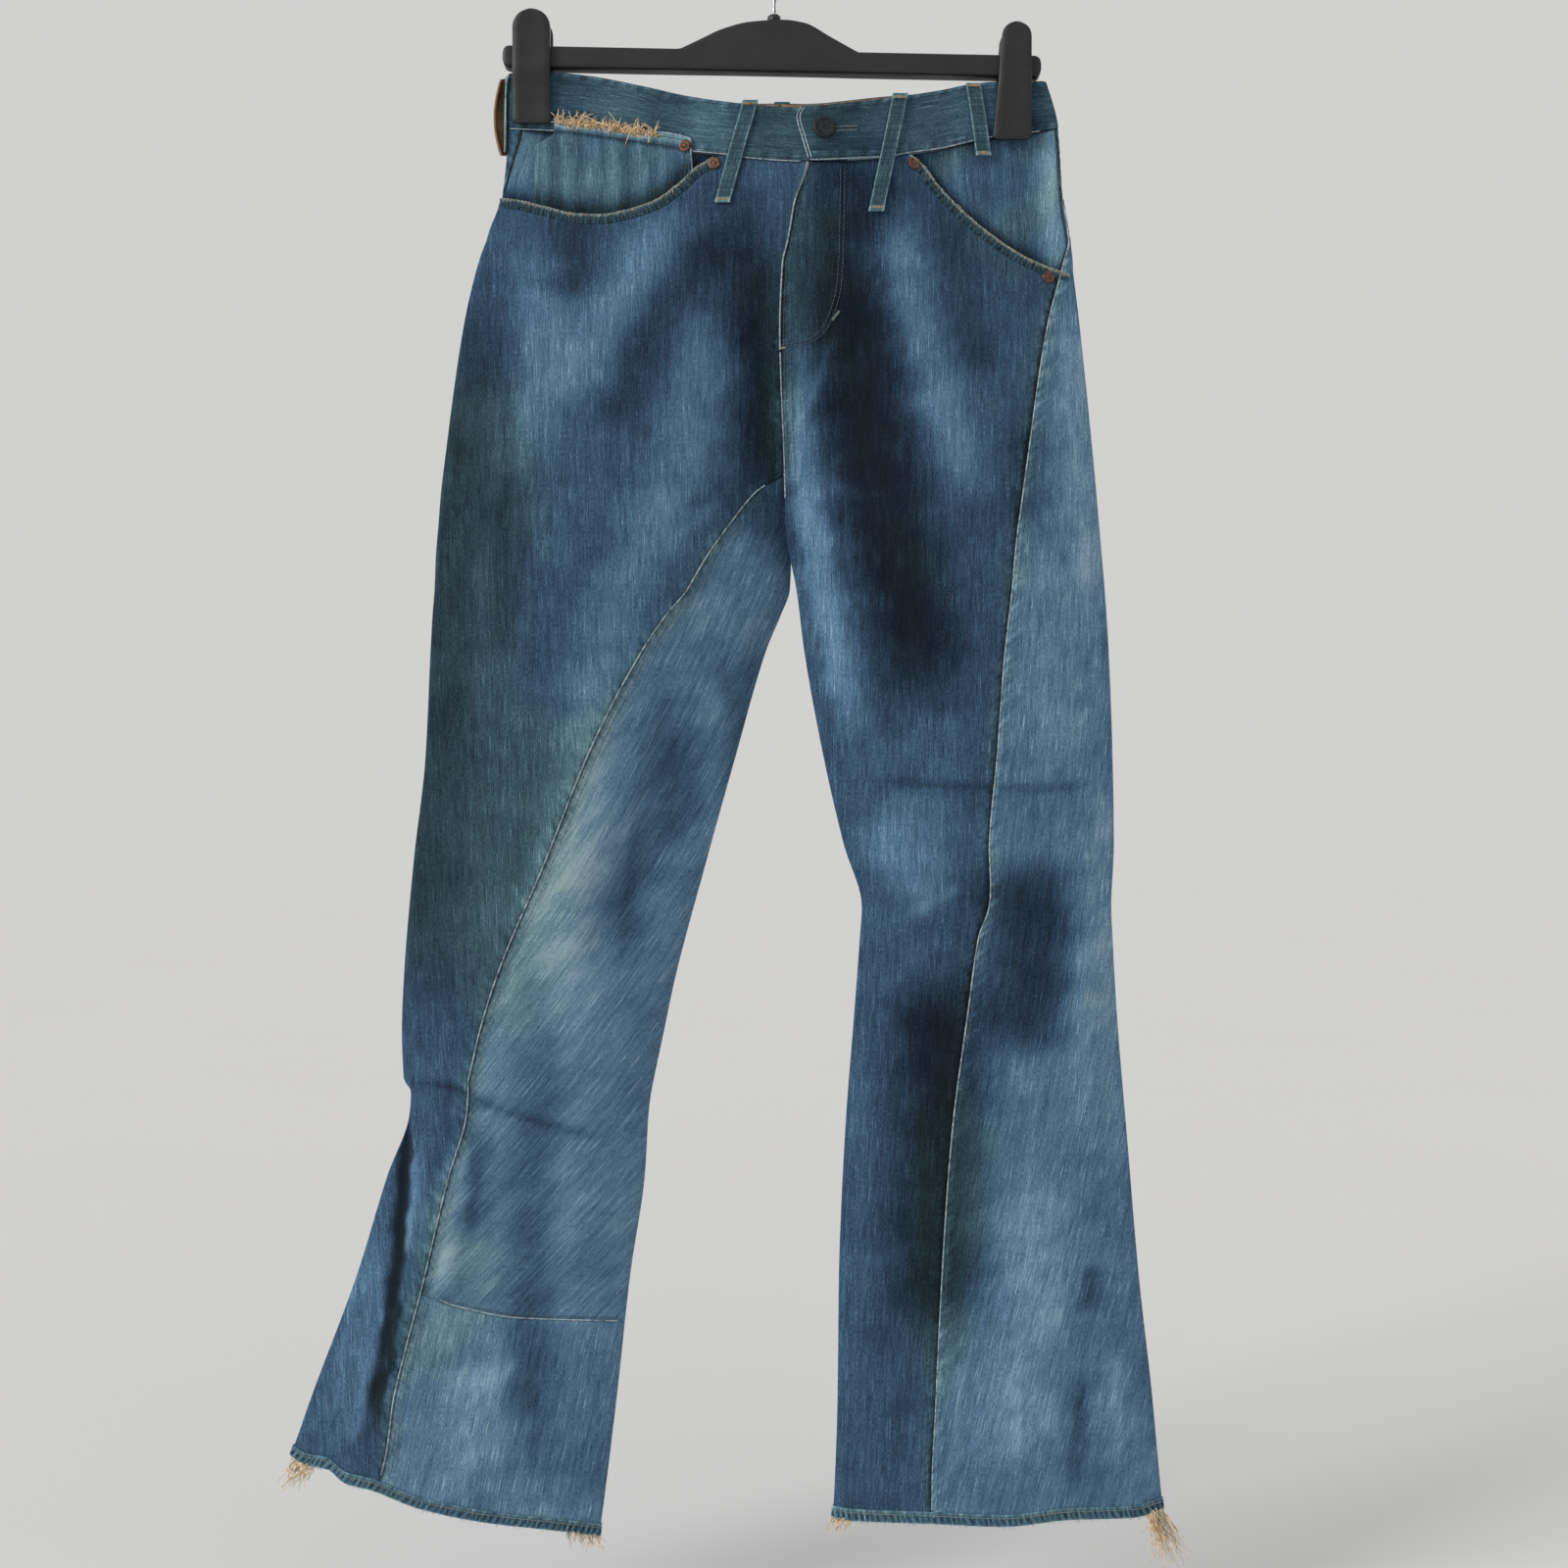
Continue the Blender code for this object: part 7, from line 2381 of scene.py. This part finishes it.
@dataclass
class Frays:
    """Frayed corners of the hems: tan core yarn with a few blue ends."""

    tufts: tuple[Tuft, ...] = (
        Tuft("fray_right_outer", RIGHT, 0.985, 0.91, 52, 21, -0.85, 0.8, 3),
        Tuft("fray_right_inner", RIGHT, 0.10, 0.005, 40, 12, 0.35, 0.9, 5),
        Tuft("fray_left_inner", LEFT, 0.004, 0.06, 34, 10, -0.8, 0.9, 7),
        Tuft("fray_left_outer", LEFT, 0.95, 0.995, 84, 38, 0.5, 0.42, 11),
    )

    def build(self, wardrobe: Wardrobe) -> None:
        """Make the tufts.

        Args:
            wardrobe: the finishes.
        """
        blue = Yarn("fray_blue_ends", 0.24, 1)
        for tuft in self.tufts:
            yarn = Yarn(f"{tuft.name}_yarn", 0.40, 1)
            draw = np.random.default_rng(tuft.seed)
            turn = turn_of(mix(tuft.first, tuft.last, draw.uniform(0, 1, tuft.strands)))
            drop = np.full(tuft.strands, HEM_DROP)
            for _ in range(EDGE_ROUNDS):
                x = skin(tuft.leg, turn, drop, Detail.FORM)[..., 0] / MM
                drop = edge_drop(tuft.leg.hem, x)
            roots = skin(tuft.leg, turn, drop - draw.uniform(0, 3.0, tuft.strands))
            roots = roots + draw.normal(0, 0.4, roots.shape) * MM
            for number, root in enumerate(roots):
                long = tuft.length * draw.uniform(0.35, 1.0) * MM
                lean = tuft.lean + draw.normal(0, 0.35) * tuft.spread
                steps = np.linspace(0, 1, 9)[:, None]
                heading = np.array([lean, draw.normal(-0.05, 0.12), -1.0])
                heading /= np.linalg.norm(heading)
                curl = draw.normal(0, 0.28, 3) * (1, 0.5, 0.4)
                twist = 0.05 * np.sin(steps * draw.uniform(5, 12) + draw.uniform(0, 6))
                line = root + heading * long * steps + curl * long * steps ** 2
                line = line + twist * long * np.array([[1.0, 0.6, 0.0]])
                line[:, 2] -= 0.22 * long * steps[:, 0] ** 2
                target = blue if number % 4 == 3 else yarn
                target.lay(line, np.linspace(1.15, 0.45, 9))
            yarn.build(wardrobe.tan, "thread", (tuft.name,))
        blue.build(wardrobe.fuzz, "thread")


@dataclass
class Hanger:
    """The moulded bar with its two clips and the wire hook."""

    bar_left: float = -207.0
    bar_right: float = 203.5
    bar_tilt: float = 0.0195
    bar_top: float = 85.2
    bar_bottom: float = 101.6
    bar_depth: float = 7.5
    corner: float = 5.0
    hump: tuple[tuple[float, float], ...] = (
        (-72, 0), (-54, 9), (-41, 15.5), (-18, 22), (8, 24), (23, 22), (43, 11.5), (64, 0))

    def bar(self, wardrobe: Wardrobe) -> None:
        """The bar with its raised middle and rounded ends, as sections along its length.

        Args:
            wardrobe: the finishes.
        """
        stations, columns = 190, 41
        even = np.linspace(0, 1, stations)[:, None]
        ease = even - 0.6 * np.sin(2 * math.pi * even) / (2 * math.pi)
        x = mix(self.bar_left, self.bar_right, ease)
        from_end = np.minimum(x - self.bar_left, self.bar_right - x)
        corner = 1 - np.sqrt(np.clip(1 - np.clip(1 - from_end / self.corner, 0, 1) ** 2, 0, 1))
        raised = edge_drop(self.hump, x) * (x > self.hump[0][0]) * (x < self.hump[-1][0])
        tilt = self.bar_tilt * (x - self.bar_left)
        top = self.bar_top - raised + tilt + self.corner * corner
        foot = self.bar_bottom + tilt - self.corner * corner
        turn = np.linspace(0, 2 * math.pi, columns)[None, :]
        up, out = squared(turn, 0.25)
        drop = (top + foot) / 2 - (foot - top) / 2 * up
        y = (self.bar_depth - 1.2 * corner) * out
        points = np.stack([x * MM + 0 * y, y * MM, -drop * MM], -1)
        cloth = ClothGrid(points, flat_places(points), np.zeros(y.shape), np.zeros(y.shape))
        made = lay_cloth("bar_moulding", cloth, (0, 1, 0), 0.0, Closing.SOLID, 40)
        dress(made, [wardrobe.plastic], ("hanger_bar",))

    def jaw(self, side: str, jaw: str, sign: float, left: tuple[float, float], right: tuple[float, float],
            top: float, foot: float, bite: float, wardrobe: Wardrobe) -> None:
        """One jaw of a clip: a rounded plate that bends in to the cloth.

        Args:
            side: right or left clip.
            jaw: front or back.
            sign: -1 for the front jaw, 1 for the back one.
            left: x of its left edge at the top and at the foot.
            right: x of its right edge at the top and at the foot.
            top: drop of its top.
            foot: drop of its foot.
            bite: depth of its inner face at the mouth.
            wardrobe: the finishes.
        """
        rows, columns = 96, 30
        radius = (right[0] - left[0]) / 2
        share = np.linspace(0, 1, rows)[:, None] ** 1.25
        drop = mix(top + 0.05, foot, share)
        low_share = np.clip((drop - top - radius) / (foot - top - radius), 0, 1)
        arc = np.sqrt(np.clip(1 - np.clip(1 - (drop - top) / radius, 0, None) ** 2, 0, 1))
        foot_round = np.sqrt(np.clip(1 - np.clip((drop - foot + 2.2) / 2.2, 0, None) ** 2, 0, 1))
        edge_left = mix(left[0], left[1], low_share)
        edge_right = mix(right[0], right[1], low_share)
        middle = (edge_left + edge_right) / 2
        half = (edge_right - edge_left) / 2 * arc - 2.2 * (1 - foot_round)
        stations = [(top, 7.8, 3.0), (top + 5, 7.8, 4.4), (top + 34, 7.8, 4.6), (top + 44, 7.8, 5.8),
                    (foot - 24, bite, 5.2), (foot - 12, bite, 4.2), (foot - 3, bite, 4.2),
                    (foot, bite + 0.8, 2.8)]
        inner = smooth_curve(drop, [row[0] for row in stations], [row[1] for row in stations])
        thick = smooth_curve(drop, [row[0] for row in stations], [row[2] for row in stations])
        turn = np.linspace(0, 2 * math.pi, columns)[None, :]
        across, depth = squared(turn, 0.32)
        x = middle + half * across
        rib = 0.35 * np.exp(-((np.abs(across) - 0.72) / 0.08) ** 2) * (depth > 0.5)
        y = inner + thick / 2 + (thick / 2 + rib) * depth
        points = np.stack([x * MM, sign * y * MM, -drop * MM + 0 * x], -1)
        cloth = ClothGrid(points, flat_places(points), np.zeros(x.shape), np.zeros(x.shape))
        made = lay_cloth(f"jaw_{side}_{jaw}", cloth, (0, sign, 0), 0.0, Closing.SOLID, 35)
        dress(made, [wardrobe.plastic], (f"clip_{side}_{jaw}",))

    def hook(self, wardrobe: Wardrobe) -> None:
        """The boss and the wire hook.

        Args:
            wardrobe: the finishes.
        """
        crown = self.bar_top + self.bar_tilt * (0 - self.bar_left) - float(edge_drop(self.hump, 0.0))
        foot = crown - 0.3
        rows = [(0.0, 0.0), (5.2, 0.0), (5.2, 2.6), (4.9, 3.6), (4.0, BOSS_HEIGHT), (0.0, BOSS_HEIGHT)]
        shape = spin_profile([(radius, height - foot) for radius, height in rows], 40)
        dress(to_object("hook_boss", shape, True, 35.0), [wardrobe.plastic], ("hanger_boss",))
        radius, centre, join, end = 20.5, 19.0, math.radians(-50), math.radians(215)
        neck_foot = foot - BOSS_HEIGHT - 0.3
        neck_top = 52.0
        reach = (radius * math.cos(join), -centre + radius * math.sin(join))
        heading = (-math.sin(join), math.cos(join))
        pull = 9.0
        points = [(0.0, -neck_foot), (0.0, -(neck_foot + neck_top) / 2)]
        for t in np.linspace(0, 1, 24)[:-1]:
            weights = ((1 - t) ** 3, 3 * t * (1 - t) ** 2, 3 * t * t * (1 - t), t ** 3)
            corners = [(0.0, -neck_top), (0.0, -neck_top + pull),
                       (reach[0] - heading[0] * pull, reach[1] - heading[1] * pull), reach]
            points.append(tuple(sum(w * c[i] for w, c in zip(weights, corners)) for i in range(2)))
        for angle in np.linspace(join, end, 90):
            points.append((radius * math.cos(angle), -centre + radius * math.sin(angle)))
        wire = Yarn("hook_wire", 1.5, 4)
        wire.lay(np.array([(x * MM, 0.0, z * MM) for x, z in points]))
        wire.build(wardrobe.steel, "steel", ("hanger_hook",))

    def build(self, wardrobe: Wardrobe) -> None:
        """Make the hanger.

        Args:
            wardrobe: the finishes.
        """
        self.bar(wardrobe)
        for jaw, sign, right_bite, left_bite in (("front", -1.0, 5.8, 6.9), ("back", 1.0, 7.7, 6.3)):
            self.jaw("right", jaw, sign, (-199.0, -199.0), (-170.2, -170.2), 59.0, 145.5, right_bite,
                     wardrobe)
            self.jaw("left", jaw, sign, (173.2, 166.6), (195.8, 195.8), 68.8, 158.0, left_bite, wardrobe)
        self.hook(wardrobe)


@dataclass
class Studio:
    """Floor, soft light and the camera at the photograph's angle."""

    floor_z: float = -1.30
    backdrop: tuple[float, float, float] = (0.64, 0.635, 0.63)

    def build(self) -> None:
        """Make the floor, the lights and the camera."""
        shape = bmesh.new()
        bmesh.ops.create_grid(shape, x_segments=8, y_segments=8, size=14.0)
        bmesh.ops.translate(shape, verts=shape.verts, vec=(0, 0, self.floor_z))
        floor = to_object("floor", shape)
        shader = Shader("pale_floor", 0.8)
        cloud = shader.noise(shader.object_place(), 1.5, 2.0, 0.5)
        shader.colour(shader.blend(cloud, (0.588, 0.585, 0.580, 1.0), (0.598, 0.595, 0.590, 1.0)))
        shader.surface.inputs["Specular IOR Level"].default_value = 0.0
        floor.data.materials.append(shader.material)
        world = bpy.data.worlds.new("soft_room")
        world.use_nodes = True
        world.node_tree.nodes["Background"].inputs[0].default_value = (*self.backdrop, 1.0)
        world.node_tree.nodes["Background"].inputs[1].default_value = 1.0
        bpy.context.scene.world = world
        self.lamp("window", (-0.80, -0.50, 0.42), 2.3, 0.45)
        self.lamp("behind", (0.50, 0.75, 0.45), 1.0, 0.8)
        self.camera()
        settings = bpy.context.scene.view_settings
        settings.view_transform = "Standard"
        settings.look = "None"

    def lamp(self, name: str, place: tuple[float, float, float], strength: float, spread: float) -> None:
        """A far, soft light.

        Args:
            name: its name.
            place: the direction that it comes from.
            strength: how bright it is.
            spread: how wide it is, as an angle.
        """
        light = bpy.data.lights.new(name, "SUN")
        light.energy = strength
        light.angle = spread
        made = bpy.data.objects.new(name, light)
        made.rotation_euler = Vector(place).to_track_quat("Z", "Y").to_euler()
        bpy.context.scene.collection.objects.link(made)

    def camera(self) -> None:
        """The camera, square on to the hanging plane."""
        lens = bpy.data.cameras.new("camera")
        lens.sensor_width = 36.0
        lens.lens = 36.0 * SIGHT_DISTANCE / 1200.0
        made = bpy.data.objects.new("camera", lens)
        made.location = (SIGHT_X * MM, -SIGHT_DISTANCE * MM, -SIGHT_DROP * MM)
        made.rotation_euler = (math.radians(90), 0, 0)
        bpy.context.scene.collection.objects.link(made)
        bpy.context.scene.camera = made


def main() -> None:
    """Build every piece in order."""
    logging.basicConfig(level=logging.INFO, format="%(name)s: %(message)s")
    wardrobe = Wardrobe()
    Studio().build()
    Legs().build(wardrobe)
    Waistband().build(wardrobe)
    Pockets().build(wardrobe)
    BeltLoops().build(wardrobe)
    Fly().build(wardrobe)
    Metalwork().build(wardrobe)
    Patch().build(wardrobe)
    Frays().build(wardrobe)
    Hanger().build(wardrobe)


if __name__ == "__main__":
    main()
